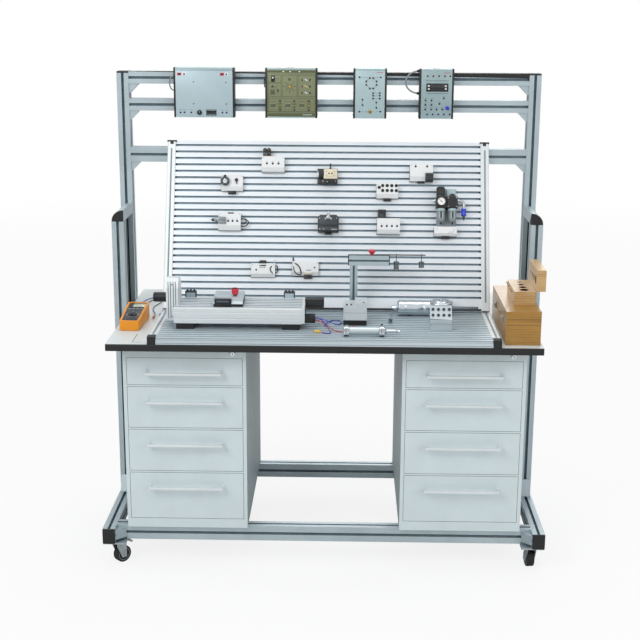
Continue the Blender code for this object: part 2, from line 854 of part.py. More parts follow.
def build_lower_frame():
    """Foot beams, cross beams, short posts and arm rails, with brackets, end caps and caster plates."""
    bm = bmesh.new()
    for side in (-1, 1):
        profile_bar(bm, "Y", profile, beam_height, side * post_middle_x, beam_middle_z,
                    foot_front + cap_thickness, foot_back - cap_thickness)
        profile_bar(bm, "Z", profile, profile, side * post_middle_x, short_post_y + profile / 2,
                    beam_top + touch_gap, short_post_height)
    for y in (cross_front_y, cross_back_y):
        profile_bar(bm, "X", profile, beam_height, y, beam_middle_z, -side_x, side_x)
    frame = link_node("lower_frame", bm, aluminium)
    joined = bmesh.new()
    for side in (-1, 1):
        x = side * post_middle_x
        half = profile / 2 - skin
        for start, end in ((foot_front, foot_front + cap_thickness + joint_overlap),
                           (foot_back - cap_thickness - joint_overlap, foot_back)):
            soft_block(joined, (x - half, start, beam_bottom + skin), (x + half, end, beam_top - skin),
                       cap_round, "Y")
        prism(joined, arm_section(side), "Y", short_post_y, tall_post_y - touch_gap)
        corner_bracket(joined, (x, short_post_y, beam_top), (0, -1, 0), (0, 0, 1), (1, 0, 0),
                       gusset_leg, post_bracket_height)
        corner_bracket(joined, (side * side_x, cross_front_y - profile / 2, beam_middle_z), (-side, 0, 0),
                       (0, -1, 0), (0, 0, 1), gusset_leg, gusset_leg)
        corner_bracket(joined, (side * side_x, cross_back_y + profile / 2, beam_middle_z), (-side, 0, 0),
                       (0, 1, 0), (0, 0, 1), gusset_leg, gusset_leg)
    for place in caster_places.values():
        plate_x = place["x"] * caster_x
        block(joined, (plate_x - caster_plate_width / 2, place["y"] - caster_plate_length / 2, plate_under),
              (plate_x + caster_plate_width / 2, place["y"] + caster_plate_length / 2,
               beam_bottom + joint_overlap))
    weld(frame, "lower_frame_brackets", joined)


def build_rear_frame():
    """Two tall posts and three rails, with a cast bracket under each rail's ends and caps on the posts."""
    bm = bmesh.new()
    for side in (-1, 1):
        profile_bar(bm, "Z", profile, tall_post_depth, side * post_middle_x,
                    tall_post_y + tall_post_depth / 2, beam_top + touch_gap, frame_height - cap_thickness)
    for top, height in rails:
        profile_bar(bm, "X", profile, height, rail_middle_y, top - height / 2, -side_x, side_x)
    frame = link_node("rear_frame", bm, aluminium)
    joined = bmesh.new()
    for side in (-1, 1):
        x = side * post_middle_x
        for top, height in rails:
            corner_bracket(joined, (side * side_x, rail_middle_y, top - height), (-side, 0, 0), (0, 0, -1),
                           (0, 1, 0), gusset_leg, gusset_leg)
        soft_block(joined,
                   (x - profile / 2 + skin, tall_post_y + skin, frame_height - cap_thickness - joint_overlap),
                   (x + profile / 2 - skin, tall_post_y + tall_post_depth - skin, frame_height),
                   cap_round, "Z")
    weld(frame, "rear_frame_brackets", joined)


def build_side_panel(name, side):
    """Dark panel whose upright edges stand in the slots of the short and the tall post."""
    bm = bmesh.new()
    x = side * post_middle_x
    let_in = slot_depth - touch_gap
    block(bm, (x - panel_thickness / 2, short_post_y + profile - let_in, panel_bottom),
          (x + panel_thickness / 2, tall_post_y + let_in, short_post_height - touch_gap - joint_overlap))
    link_node(name, bm, smoked)


def build_worktop():
    """Laminated board with a band round its edge, cut back a little along the upper and lower edges."""
    bm = bmesh.new()
    outline = rounded_rectangle(front_y, worktop_bottom, back_y, worktop_height, edge_band, 2)
    prism(bm, outline, "X", -side_x, side_x)
    link_node("worktop", bm, laminate)


# Casters

caster_x = post_outer_x - skin - caster_plate_width / 2
caster_places = {
    "front_left": {"x": -1, "y": foot_front + caster_inset + caster_plate_length / 2,
                   "turn": math.radians(45)},
    "front_right": {"x": 1, "y": foot_front + caster_inset + caster_plate_length / 2,
                    "turn": math.radians(98)},
    "rear_left": {"x": -1, "y": foot_back - caster_inset - caster_plate_length / 2, "turn": math.radians(70)},
    "rear_right": {"x": 1, "y": foot_back - caster_inset - caster_plate_length / 2,
                   "turn": math.radians(110)},
}
plate_under = beam_bottom - caster_plate
swivel_top = plate_under - touch_gap
crown_top = swivel_top - fork_crown


def caster_frame(place):
    """Frame of one swivel: its X axis points the way the wheel trails."""
    spot = Matrix.Translation((place["x"] * caster_x, place["y"], 0))
    return spot @ Matrix.Rotation(place["turn"], 4, "Z")


def build_fork(name, place, braked):
    """Pressed fork: a folded channel with tapered cheeks, a bearing cup, an axle and, in front, a pedal."""
    half = wheel_width / 2 + fork_clearance
    front = (caster_trail - fork_length) / 2
    back = (caster_trail + fork_length) / 2
    low = wheel_radius - axle_radius * 2
    shoulder = crown_top - fork_shoulder
    bm = bmesh.new()
    channel = [
        (-half - fork_wall, low), (-half - fork_wall, crown_top), (half + fork_wall, crown_top),
        (half + fork_wall, low), (half, low), (half, crown_top - fork_wall), (-half, crown_top - fork_wall),
        (-half, low),
    ]
    prism(bm, channel, "X", front, back)
    fork = link_node(name, bm, chrome, caster_frame(place))
    trim = bmesh.new()
    reach = half + fork_shoulder
    axle_room = axle_radius * 2
    for outline in (
        [(front - fork_wall, low - fork_wall), (caster_trail - axle_room, low - fork_wall),
         (front - fork_wall, shoulder)],
        [(back + fork_wall, low - fork_wall), (back + fork_wall, shoulder),
         (caster_trail + axle_room, low - fork_wall)],
    ):
        prism(trim, outline, "Y", -reach, reach)
    carve(fork, name + "_trim", trim)
    parts = bmesh.new()
    rod(parts, (0, 0, crown_top - fork_wall / 2), (0, 0, swivel_top), bearing_radius, round_sides)
    rod(parts, (caster_trail, -half - axle_overhang, wheel_radius),
        (caster_trail, half + axle_overhang, wheel_radius),
        axle_radius, pin_sides)
    if braked:
        top = crown_top - fork_wall * third_share
        tip = back + pedal_length
        outline = [(back - fork_wall, top), (back - fork_wall, top - pedal_thickness * third_share),
                   (tip, top - pedal_dip), (tip + pedal_thickness, top - pedal_thickness * 2),
                   (back + pedal_thickness, top)]
        prism(parts, outline, "Y", -pedal_width / 2, pedal_width / 2)
    weld(fork, name + "_hardware", parts)


def build_wheel(name, place):
    """Tyre and hub turned in one, with a rounded tread and a recessed disc."""
    bm = bmesh.new()
    half = wheel_width / 2
    hub = wheel_bore * 2
    disc = half - fork_clearance
    shoulder = wheel_radius - tread_round
    outer = [(hub, half), (hub, disc), (shoulder, disc), (shoulder, half), (wheel_radius, half - tread_round)]
    section = [(wheel_bore, -half)] + [(radius, -height) for radius, height in outer]
    section += list(reversed(outer)) + [(wheel_bore, half)]
    turned(bm, section, (0, 0, 0), (0, 1, 0), wheel_sides)
    axle = caster_frame(place) @ Matrix.Translation((caster_trail, 0, wheel_radius))
    link_node(name, bm, rubber, axle)


# Drawer cabinets

def drawer_levels():
    """Bottom and top of each drawer's opening, from the top drawer down."""
    top = cabinet_top - cabinet_top_rail
    levels = []
    for height in drawer_heights:
        levels.append((top - height, top))
        top -= height + cabinet_rail
    return levels


def build_cabinet(name, side):
    """Steel carcass with four openings, a closed back and a round key lock in its top rail."""
    middle = side * (cabinet_inner_x + cabinet_outer_x) / 2
    low_x = middle - cabinet_width / 2
    high_x = middle + cabinet_width / 2
    bm = bmesh.new()
    block(bm, (low_x, cabinet_front, cabinet_bottom), (high_x, cabinet_front + cabinet_depth, cabinet_top))
    cabinet = link_node(name, bm, sheet_steel)
    pockets = bmesh.new()
    for bottom, top in drawer_levels():
        block(pockets, (low_x + cabinet_stile, cabinet_front - cabinet_wall, bottom),
              (high_x - cabinet_stile, cabinet_front + cabinet_depth - cabinet_wall, top))
    carve(cabinet, name + "_openings", pockets)
    lock = bmesh.new()
    lock_z = cabinet_top - cabinet_top_rail / 2 - lock_radius / 2
    turned(lock, [(0, -lock_reach + lock_slot), (lock_radius / 2, -lock_reach + lock_slot),
                  (lock_radius / 2, -lock_reach), (lock_radius - cap_round, -lock_reach),
                  (lock_radius, -lock_reach + lock_slot), (lock_radius, lock_depth), (0, lock_depth)],
           (high_x - lock_from_edge, cabinet_front, lock_z), (0, 1, 0), round_sides)
    weld(cabinet, name + "_lock", lock)


def build_drawer(name, side, bottom, top):
    """Front panel with an open steel tray and its two slides behind it, and a bow handle on its face."""
    middle = side * (cabinet_inner_x + cabinet_outer_x) / 2
    half = cabinet_width / 2 - cabinet_stile - drawer_gap
    low_z = bottom + drawer_gap
    high_z = top - drawer_gap
    tray_half = half - drawer_side_room
    tray_back = cabinet_depth - cabinet_wall - drawer_back_room
    bm = bmesh.new()
    block(bm, (-half, 0, low_z), (half, drawer_front, high_z))
    drawer = link_node(name, bm, sheet_steel, Matrix.Translation((middle, cabinet_front, 0)))
    tray = bmesh.new()
    block(tray, (-tray_half, drawer_front / 2, low_z + drawer_base_lift),
          (tray_half, tray_back, high_z - drawer_top_room))
    weld(drawer, name + "_tray", tray)
    room = bmesh.new()
    block(room,
          (-tray_half + drawer_wall, drawer_front + drawer_wall, low_z + drawer_base_lift + drawer_wall),
          (tray_half - drawer_wall, tray_back - drawer_wall, high_z))
    carve(drawer, name + "_room", room)
    handle = bmesh.new()
    for hand in (-1, 1):
        low_x, high_x = sorted((hand * (tray_half - drawer_wall / 2), hand * (half + drawer_gap - touch_gap)))
        block(handle, (low_x, drawer_front - drawer_wall, low_z + slide_lift),
              (high_x, tray_back - drawer_wall, low_z + slide_lift + slide_height))
    z = high_z - handle_drop
    reach = -handle_reach + handle_radius
    end = handle_length / 2
    bow = [(-end, handle_radius, z), (-end, reach + handle_bend, z)]
    for step in (1, 2):
        angle = math.pi / 2 * step * third_share
        bow.append((-end + handle_bend * (1 - math.cos(angle)),
                    reach + handle_bend * (1 - math.sin(angle)), z))
    bow.append((-end + handle_bend, reach, z))
    bow += [(-x, y, z) for x, y, z in reversed(bow)]
    bent_rod(handle, bow, handle_radius, wire_sides)
    weld(drawer, name + "_handle_and_slides", handle)


# Slotted plates

def strip_ends():
    """Left and right limits of the two side strips of a slotted plate, let into the plate's ends."""
    for side in (-1, 1):
        yield sorted((side * (plate_half - joint_overlap), side * (plate_half + side_strip)))


def build_base_plate():
    """Flat plate with a T-slot every pitch, a strip along both sides and a cap on both front corners."""
    bm = bmesh.new()
    slots = int((plate_depth - plate_slot_first * half_more_share) / slot_pitch) + 1
    outline = slotted_plate_outline(plate_depth, plate_thickness, plate_slot_first, slots)
    prism(bm, shifted(outline, plate_front, plate_bottom), "X", -plate_half, plate_half)
    plate = link_node("base_plate", bm, bright)
    strips = bmesh.new()
    for low_x, high_x in strip_ends():
        soft_block(strips, (low_x, plate_front + corner_cap, plate_bottom + skin),
                   (high_x, plate_front + plate_depth - skin, plate_top + skin), cap_round, "Y")
    weld(plate, "base_plate_strips", strips)
    caps = bmesh.new()
    for low_x, high_x in strip_ends():
        soft_block(caps, (low_x, front_y, plate_bottom + skin / 2),
                   (high_x, plate_front + corner_cap + joint_overlap, plate_top + cap_round), cap_round, "Z")
    weld(plate, "base_plate_caps", caps)


def build_slot_board():
    """The leaning board, upright in its own frame: its slotted face looks to -Y and +Z runs up it."""
    bm = bmesh.new()
    outline = slotted_plate_outline(board_length, board_thickness, board_slot_first, board_slots)
    upright = [(board_thickness - height, along) for along, height in outline]
    prism(bm, upright, "X", -plate_half, plate_half)
    board = link_node("slot_board", bm, bright, board_frame)
    strips = bmesh.new()
    for low_x, high_x in strip_ends():
        soft_block(strips, (low_x, -strip_proud, skin), (high_x, board_thickness - skin, board_length - skin),
                   cap_round, "Z")
    weld(board, "slot_board_strips", strips)


# Instruments hung over the top rail

instrument_face = tall_post_y - instrument_front
instrument_top = rail_top + instrument_rise
instrument_bottom = instrument_top - instrument_height


def instrument_outline():
    """Side view of a hung housing, with the hook that goes over the rail and down behind it."""
    back = tall_post_y - touch_gap
    rest = rail_top + touch_gap
    hook_inner = tall_post_y + profile + touch_gap
    return [
        (instrument_face, instrument_bottom), (instrument_face, instrument_top - instrument_round),
        (instrument_face + instrument_round, instrument_top), (back, instrument_top),
        (back, rest + instrument_hook), (hook_inner + instrument_hook, rest + instrument_hook),
        (hook_inner + instrument_hook, rail_top - instrument_hook_drop),
        (hook_inner, rail_top - instrument_hook_drop), (hook_inner, rest), (back, rest),
        (back, instrument_bottom),
    ]


def socket(bm, place, axis, radius, reach, sides):
    """The collar of a plug socket, let into the face behind it."""
    turned(bm, [(0, -joint_overlap), (radius, -joint_overlap), (radius, reach), (0, reach)], place, axis,
           sides)


def build_instrument(name, table):
    """Housing with two dark side plates, its sockets, knobs and raised fittings, and a held cable loop."""
    middle = table["middle"]
    half = table["width"] / 2
    bm = bmesh.new()
    prism(bm, instrument_outline(), "X", middle - half + instrument_side, middle + half - instrument_side)
    unit = link_node(name, bm, instrument_finish[name])
    sides = bmesh.new()
    for side in (-1, 1):
        low_x, high_x = sorted((middle + side * half,
                                middle + side * (half - instrument_side - joint_overlap)))
        soft_block(sides, (low_x, instrument_face - skin * 2, instrument_bottom - skin * 2),
                   (high_x, tall_post_y - touch_gap * 2, instrument_top + skin * 2), cap_round, "X")
    weld(unit, name + "_sides", sides)
    fittings = bmesh.new()
    for x, z in table["sockets"]:
        socket(fittings, (x, instrument_face, instrument_bottom + z), (0, -1, 0), socket_radius,
               socket_reach, socket_sides)
    for x, z, radius, reach in table["knobs"]:
        turned(fittings, [(0, -joint_overlap), (radius, -joint_overlap), (radius, reach * two_thirds_share),
                          (radius - skin * 2, reach), (0, reach)],
               (x, instrument_face, instrument_bottom + z), (0, -1, 0), round_sides)
    for x, z, width, height, reach in table["plates"]:
        block(fittings, (x - width / 2, instrument_face - reach, instrument_bottom + z - height / 2),
              (x + width / 2, instrument_face + joint_overlap, instrument_bottom + z + height / 2))
    if table["loop"]:
        x, low, high, bow = table["loop"]
        toward = math.copysign(joint_overlap * 2, middle - x)
        path = [(x + toward, instrument_face + instrument_front / 2, instrument_bottom + low)]
        for step in range(loop_steps + 1):
            angle = math.pi * step / loop_steps
            path.append((x - math.copysign(bow, toward) * math.sin(angle),
                         instrument_face + instrument_front / 2,
                         instrument_bottom + (low + high) / 2 - (high - low) / 2 * math.cos(angle)))
        path.append((x + toward, instrument_face + instrument_front / 2, instrument_bottom + high))
        bent_rod(fittings, path, held_cable, socket_sides)
    weld(unit, name + "_fittings", fittings)
    return unit


# Devices clipped to the leaning board; their solids are written in the board's own frame

def slot_near(height):
    """The board's slot that lies nearest to a height."""
    return board_slot_first + round((height - board_slot_first) / slot_pitch) * slot_pitch


def module_solid(bm, table):
    """Module box whose lower band slopes back to the board, with a rib that stands in the nearest slot."""
    low = table["s"] - table["h"] / 2
    high = table["s"] + table["h"] / 2
    skirt = low + table["h"] * module_skirt_share
    back = -touch_gap
    rib = slot_near(table["s"])
    rib_half = plate_slot_mouth / 2 - rib_play
    section = [
        (back, low), (-table["d"] + module_skirt_cut, low), (-table["d"], skirt), (-table["d"], high),
        (back, high), (back, rib + rib_half), (rib_depth, rib + rib_half), (rib_depth, rib - rib_half),
        (back, rib - rib_half),
    ]
    prism(bm, section, "X", table["x"] - table["w"] / 2, table["x"] + table["w"] / 2)


def build_module(name, table):
    """One clip-on module with its sockets, its black foot and what stands on or beside it."""
    bm = bmesh.new()
    module_solid(bm, table)
    unit = link_node(name, bm, white_plastic, board_frame)
    add = bmesh.new()
    low = table["s"] - table["h"] / 2
    high = table["s"] + table["h"] / 2
    left = table["x"] - table["w"] / 2
    for x, s in table["sockets"]:
        socket(add, (left + x, -table["d"], low + s), (0, -1, 0), module_socket,
               socket_reach * two_thirds_share, socket_sides)
    for number, (kind, x, s, width, height, depth) in enumerate(table["blocks"]):
        at_x = left + x
        at_s = low + s
        built = bmesh.new()
        if kind == "box":
            soft_block(built, (at_x, -depth, at_s), (at_x + width, -touch_gap - skin, at_s + height),
                       cap_round, "Y")
        if kind == "rod":
            rod(built, (at_x, -depth, at_s), (at_x + width, -depth, at_s), height / 2, round_sides)
        weld(unit, f"{name}_block_{number}", built)
    for x, s, out, drop in table["cables"]:
        path = []
        for step in range(loop_steps + 1):
            angle = math.pi * step / loop_steps
            path.append((left + x + out * math.sin(angle), -table["d"] / 2,
                         low + s - drop / 2 + drop / 2 * math.cos(angle)))
        inward = math.copysign(joint_overlap * 2, out)
        path.insert(0, (left + x - inward, -table["d"] / 2, low + s))
        path.append((left + x - inward, -table["d"] / 2, low + s - drop))
        bent_rod(add, path, held_cable, socket_sides)
    weld(unit, name + "_fittings", add)
    if table["eyes"]:
        eyes = bmesh.new()
        for x, s, radius, depth in table["eyes"]:
            turned(eyes, [(0, -joint_overlap), (radius, -joint_overlap), (radius, eye_reach),
                          (radius * two_thirds_share, eye_reach),
                          (radius / 2, eye_reach * third_share), (0, eye_reach * third_share)],
                   (left + x, -depth, low + s), (0, -1, 0), knob_sides)
        weld(unit, name + "_eyes", eyes)


def build_pale_valve():
    """Cream solenoid valve: flat base, body, round coil at its left end and two ports on its face."""
    bm = bmesh.new()
    low = valve_pale_s - valve_pale_height / 2
    high = low + valve_pale_height
    left = valve_pale_x - valve_pale_width / 2
    rib = slot_near(valve_pale_s)
    rib_half = plate_slot_mouth / 2 - rib_play
    section = [(-touch_gap, low), (-valve_pale_depth, low + valve_base_height / 2), (-valve_pale_depth, high),
               (-touch_gap, high), (-touch_gap, rib + rib_half), (rib_depth, rib + rib_half),
               (rib_depth, rib - rib_half), (-touch_gap, rib - rib_half)]
    prism(bm, section, "X", left, left + valve_pale_width)
    valve = link_node("pale_valve", bm, cream, board_frame)
    add = bmesh.new()
    middle_s = (low + high) / 2 + valve_base_height * quarter_share
    coil = valve_coil_height / 2
    depth = -valve_pale_depth / 2
    turned(add, [(0, -joint_overlap), (coil - cap_round * 2, -joint_overlap),
                 (coil - cap_round * 2, valve_coil_width),
                 (stud_radius * 2, valve_coil_width), (stud_radius * 2, valve_coil_width + stud_length / 2),
                 (0, valve_coil_width + stud_length / 2)],
           (left, depth - cap_round, middle_s), (-1, 0, 0), round_sides)
    rod(add, (valve_pale_x, depth, high - joint_overlap), (valve_pale_x, depth, high + stud_length / 2),
        stud_radius, pin_sides)
    for x in (-valve_pale_width * fifth_share, valve_pale_width * fifth_share):
        socket(add, (valve_pale_x + x, -valve_pale_depth, middle_s), (0, -1, 0), stud_radius * 2,
               socket_reach, wire_sides)
    weld(valve, "pale_valve_fittings", add)


def build_black_valve():
    """Black hand valve: stepped body, two silver screws in its face and a fork-ended stud on top."""
    bm = bmesh.new()
    low = valve_black_s - valve_black_height / 2
    high = low + valve_black_height
    left = valve_black_x - valve_black_width / 2
    right = left + valve_black_width
    step = valve_black_height * quarter_share
    rib = slot_near(valve_black_s)
    rib_half = plate_slot_mouth / 2 - rib_play
    section = [(-touch_gap, low), (-valve_black_depth, low + step), (-valve_black_depth, high - step),
               (-valve_black_depth + step / 2, high), (-touch_gap, high), (-touch_gap, rib + rib_half),
               (rib_depth, rib + rib_half), (rib_depth, rib - rib_half), (-touch_gap, rib - rib_half)]
    prism(bm, section, "X", left, right)
    valve = link_node("black_valve", bm, black_plastic, board_frame)
    add = bmesh.new()
    depth = -valve_black_depth / 2
    for x in (left + step, right - step):
        turned(add, [(0, -joint_overlap), (stud_radius * 2, -joint_overlap), (stud_radius * 2, cap_round),
                     (0, cap_round)],
               (x, -valve_black_depth, valve_black_s), (0, -1, 0), pin_sides)
    rod(add, (valve_black_x, depth, high - joint_overlap), (valve_black_x, depth, high + stud_length),
        stud_radius, pin_sides)
    rod(add, (left + joint_overlap, depth, valve_black_s), (left - stud_length / 2, depth, valve_black_s),
        stud_radius * half_more_share, pin_sides)
    weld(valve, "black_valve_fittings", add)


# Air preparation unit on the leaning board

air_bodies = {"left": air_left_x, "right": air_right_x}
air_back = -touch_gap - back_plate_thickness / 2
air_front = air_back - air_body_depth
air_depth = (air_front + air_back) / 2
air_body_top = air_body_bottom + air_body_height


def build_air_unit():
    """Foot box, back plate, filter and lubricator heads with their bowls, gauge, elbows and slide valve."""
    bm = bmesh.new()
    module_solid(bm, modules["air_foot"])
    unit = link_node("air_unit", bm, black_plastic, board_frame)
    foot = modules["air_foot"]
    foot_high = foot["s"] + foot["h"] / 2
    back_left = (air_left_x + air_right_x) / 2 - back_plate_width / 2
    plates = bmesh.new()
    block(plates, (back_left, -touch_gap - back_plate_thickness, foot_high - joint_overlap),
          (back_left + back_plate_width, -touch_gap - skin, air_body_top + regulator_height - cap_round))
    weld(unit, "air_unit_back", plates)
    heads = bmesh.new()
    soft_block(heads, (air_left_x - air_half_width, air_front, air_body_bottom),
               (air_right_x + air_half_width, air_back, air_body_top), cap_round, "Y")
    weld(unit, "air_unit_heads", heads)
    bowls = bmesh.new()
    for x in air_bodies.values():
        turned(bowls, [(0, joint_overlap), (bowl_radius, joint_overlap),
                       (bowl_radius, -bowl_length * two_thirds_share),
                       (bowl_radius * two_thirds_share, -bowl_length), (0, -bowl_length)],
               (x, air_depth, air_body_bottom), (0, 0, 1), knob_sides)
    turned(bowls, [(0, -joint_overlap), (lubricator_radius, -joint_overlap),
                   (lubricator_radius, lubricator_height * two_thirds_share),
                   (lubricator_radius * two_thirds_share, lubricator_height), (0, lubricator_height)],
           (air_right_x, air_depth, air_body_top), (0, 0, 1), knob_sides)
    turned(bowls, [(0, -joint_overlap), (gauge_radius, -joint_overlap), (gauge_radius, gauge_depth),
                   (gauge_radius - cap_round, gauge_depth),
                   (gauge_radius - cap_round, gauge_depth - cap_round), (0, gauge_depth - cap_round)],
           (air_left_x, air_front, air_body_bottom + air_body_height / 2), (0, -1, 0), gauge_sides)
    middle = air_body_bottom + air_body_height * two_thirds_share
    right = air_right_x + air_half_width
    bent_rod(bowls, [(right - joint_overlap, air_depth, middle),
                     (slide_valve_x - elbow_radius, air_depth, middle),
                     (slide_valve_x, air_depth, middle - elbow_radius),
                     (slide_valve_x, air_depth, middle - elbow_drop)], elbow_radius, pin_sides)
    left = air_left_x - air_half_width
    rod(bowls, (left + joint_overlap, air_depth, middle), (left - elbow_radius * 2, air_depth, middle),
        elbow_radius, pin_sides)
    weld(unit, "air_unit_bowls", bowls)
    sleeve = bmesh.new()
    top = middle - elbow_drop
    turned(sleeve, [(0, joint_overlap), (slide_valve_radius, joint_overlap),
                    (slide_valve_radius, -sleeve_from), (sleeve_radius, -sleeve_from - cap_round),
                    (sleeve_radius, -sleeve_from - sleeve_length),
                    (slide_valve_radius, -sleeve_from - sleeve_length - cap_round),
                    (slide_valve_radius - cap_round, -slide_valve_length), (0, -slide_valve_length)],
           (slide_valve_x, air_depth, top), (0, 0, 1), knob_sides)
    weld(unit, "air_unit_sleeve", sleeve)


def build_regulator_knob():
    """Pressure knob on the filter head, its grip cut by a ring of flutes."""
    bm = bmesh.new()
    outline = []
    for step in range(flutes * 2):
        angle = math.pi * step / flutes
        radius = regulator_radius if step % 2 else regulator_radius - knob_flute
        outline.append((radius * math.cos(angle), radius * math.sin(angle)))
    prism(bm, outline, "Z", 0, regulator_height)
    seat = board_frame @ Matrix.Translation((air_left_x, air_depth, air_body_top + touch_gap))
    link_node("regulator_knob", bm, black_plastic, seat)


# Linear axis

axis_front = front_y + axis_inset
axis_back = axis_front + axis_width
axis_bottom = bench_floor + axis_foot_height
axis_top = axis_bottom + axis_body
carriage_front = axis_front + carriage_inset
axis_slot_ys = [axis_front + axis_width * (index + 1) / (axis_slots + 1) for index in range(axis_slots)]


def build_axis_bed():
    """Grooved bed on two feet, end plate and motor on the left, motor on the right, two sensors behind."""
    bm = bmesh.new()
    outline = [(axis_back, axis_bottom), (axis_front, axis_bottom)]
    for share in axis_face_shares:
        z = axis_bottom + axis_body * share
        outline += [(axis_front, z - axis_groove), (axis_front + axis_groove, z),
                    (axis_front, z + axis_groove)]
    outline.append((axis_front, axis_top - cap_round))
    outline.append((axis_front + cap_round, axis_top))
    half = plate_slot_mouth / 2
    for y in axis_slot_ys:
        outline += [(y - half, axis_top), (y - half, axis_top - axis_slot_depth),
                    (y + half, axis_top - axis_slot_depth), (y + half, axis_top)]
    outline.append((axis_back, axis_top))
    prism(bm, outline, "X", axis_left, axis_right)
    bed = link_node("axis_bed", bm, bright)
    feet = bmesh.new()
    for left in (axis_left + axis_foot_inset, axis_right - axis_foot_inset - axis_foot_width):
        block(feet, (left, axis_front + cap_round, bench_floor),
              (left + axis_foot_width, axis_back - cap_round, axis_bottom + joint_overlap))
    weld(bed, "axis_bed_feet", feet)
    ends = bmesh.new()
    upright_left = axis_left - upright_width + upright_overlap
    upright_front = (axis_front + axis_back - upright_depth) / 2
    upright_low = axis_bottom + cap_round
    top = axis_top + upright_height
    side_view = [(upright_front, upright_low), (upright_front, top - upright_chamfer),
                 (upright_front + upright_chamfer, top),
                 (upright_front + upright_depth - upright_chamfer, top),
                 (upright_front + upright_depth, top - upright_chamfer),
                 (upright_front + upright_depth, upright_low)]
    prism(ends, side_view, "X", upright_left, axis_left + upright_overlap)
    block(ends, (axis_right - joint_overlap, axis_front + cap_round, axis_bottom + cap_round),
          (axis_right + right_bracket, axis_back - cap_round, axis_top + cap_round))
    for x in axis_sensor_xs:
        block(ends, (x - axis_sensor_width / 2, axis_back - cap_round, axis_top - axis_sensor_depth),
              (x + axis_sensor_width / 2, axis_back + axis_sensor_depth,
               axis_top + axis_sensor_height - cap_round))
    weld(bed, "axis_bed_ends", ends)
    motors = bmesh.new()
    motor_y = (axis_front + axis_back) / 2
    motor_z = axis_top + left_motor_radius + cap_round
    turned(motors, [(0, -joint_overlap), (left_motor_radius, -joint_overlap),
                    (left_motor_radius, left_motor_length - left_motor_tip),
                    (left_motor_radius * two_thirds_share, left_motor_length), (0, left_motor_length)],
           (upright_left, motor_y, motor_z), (-1, 0, 0), motor_sides)
    start = axis_right + right_bracket
    side = right_motor_side / 2
    soft_block(motors, (start - joint_overlap, motor_y - side, axis_top - side / 2),
               (start + right_motor_length, motor_y + side, axis_top + side), cap_round, "X")
    block(motors, (start - joint_overlap, axis_front + axis_slot_depth, axis_bottom + axis_slot_depth),
          (start + connector_box, axis_front + axis_slot_depth + connector_box,
           axis_bottom + axis_slot_depth + connector_height))
    weld(bed, "axis_bed_motors", motors)


def build_axis_carriage():
    """Carriage with two shoes in the bed's slots, a waisted base, a top plate and its red clamp screw."""
    bm = bmesh.new()
    low = axis_top + touch_gap
    front = 0
    back = carriage_width
    outline = [(back, low), (front, low)]
    outline += [(front, low + carriage_base / 2), (front + carriage_round, low + carriage_base),
                (front + carriage_round, low + carriage_base + carriage_top),
                (back - carriage_round, low + carriage_base + carriage_top),
                (back - carriage_round, low + carriage_base), (back, low + carriage_base / 2)]
    half = carriage_length / 2
    prism(bm, outline, "X", -half, half)
    place = Matrix.Translation((carriage_middle, carriage_front, 0))
    carriage = link_node("axis_carriage", bm, aluminium, place)
    add = bmesh.new()
    shoe = plate_slot_mouth / 2 - rib_play
    inside = [y - carriage_front for y in axis_slot_ys
              if carriage_front + shoe * 2 < y < carriage_front + carriage_width - shoe * 2]
    for y in (inside[0], inside[-1]):
        block(add, (-half + cap_round, y - shoe, axis_top - axis_slot_depth + touch_gap),
              (half - cap_round, y + shoe, low + joint_overlap))
    top = low + carriage_base + carriage_top
    turned(add, [(0, -joint_overlap), (clamp_radius / 2, -joint_overlap),
                 (clamp_radius / 2, clamp_height * third_share), (clamp_radius, clamp_height / 2),
                 (clamp_radius, clamp_height - cap_round), (clamp_radius - cap_round, clamp_height),
                 (0, clamp_height)], (clamp_offset, carriage_width * third_share, top), (0, 0, 1),
           gauge_sides)
    weld(carriage, "axis_carriage_clamp", add)


# Bending-beam stand

stand_y = front_y + stand_inset + stand_profile / 2
stand_top = bench_floor + stand_height
arm_top = stand_top + stand_arm_height


def build_beam_stand():
    """Foot plate, T-slot post and arm, and the flat spring clamped on the arm under a red star knob."""
    bm = bmesh.new()
    section = slotted_outline(stand_profile, stand_profile, stand_slot_mouth, slot_lip / 2, stand_slot_cavity,
                              stand_slot_mouth, stand_slot_depth)
    prism(bm, shifted(section, stand_x, stand_y), "Z", bench_floor + joint_overlap, stand_top + joint_overlap)
    stand = link_node("beam_stand", bm, aluminium)
    arm = bmesh.new()
    section = slotted_outline(stand_profile + skin, stand_arm_height, stand_slot_mouth, slot_lip / 2,
                              stand_slot_cavity, stand_slot_mouth, stand_slot_depth)
    prism(arm, shifted(section, stand_y, stand_top + stand_arm_height / 2), "X", stand_arm_left,
          stand_arm_right)
    half = stand_foot_side / 2
    soft_block(arm, (stand_x - half, stand_y - half, bench_floor),
               (stand_x + half, stand_y + half, bench_floor + stand_foot),
               cap_round, "Z")
    weld(stand, "beam_stand_arm", arm)
    spring = bmesh.new()
    block(spring, (beam_left, stand_y - beam_width / 2, arm_top - skin),
          (beam_right, stand_y + beam_width / 2, arm_top - skin + beam_thickness))
    half = stand_profile / 2
    for start, end in ((stand_arm_left - cap_thickness / 2, stand_arm_left + joint_overlap),
                       (stand_arm_right - joint_overlap, stand_arm_right + cap_thickness / 2)):
        soft_block(spring, (start, stand_y - half + skin, stand_top + skin * 2),
                   (end, stand_y + half - skin, arm_top - skin * 2), cap_round, "X")
    weld(stand, "beam_stand_spring", spring)
    knob = bmesh.new()
    turned(knob, [(0, 0), (beam_knob_radius / 2, 0),
                  (beam_knob_radius / 2, beam_knob_height * third_share),
                  (beam_knob_radius, beam_knob_height * two_thirds_share),
                  (beam_knob_radius, beam_knob_height), (0, beam_knob_height)],
           (beam_knob_x, stand_y, arm_top), (0, 0, 1), round_sides)
    weld(stand, "beam_stand_knob", knob)


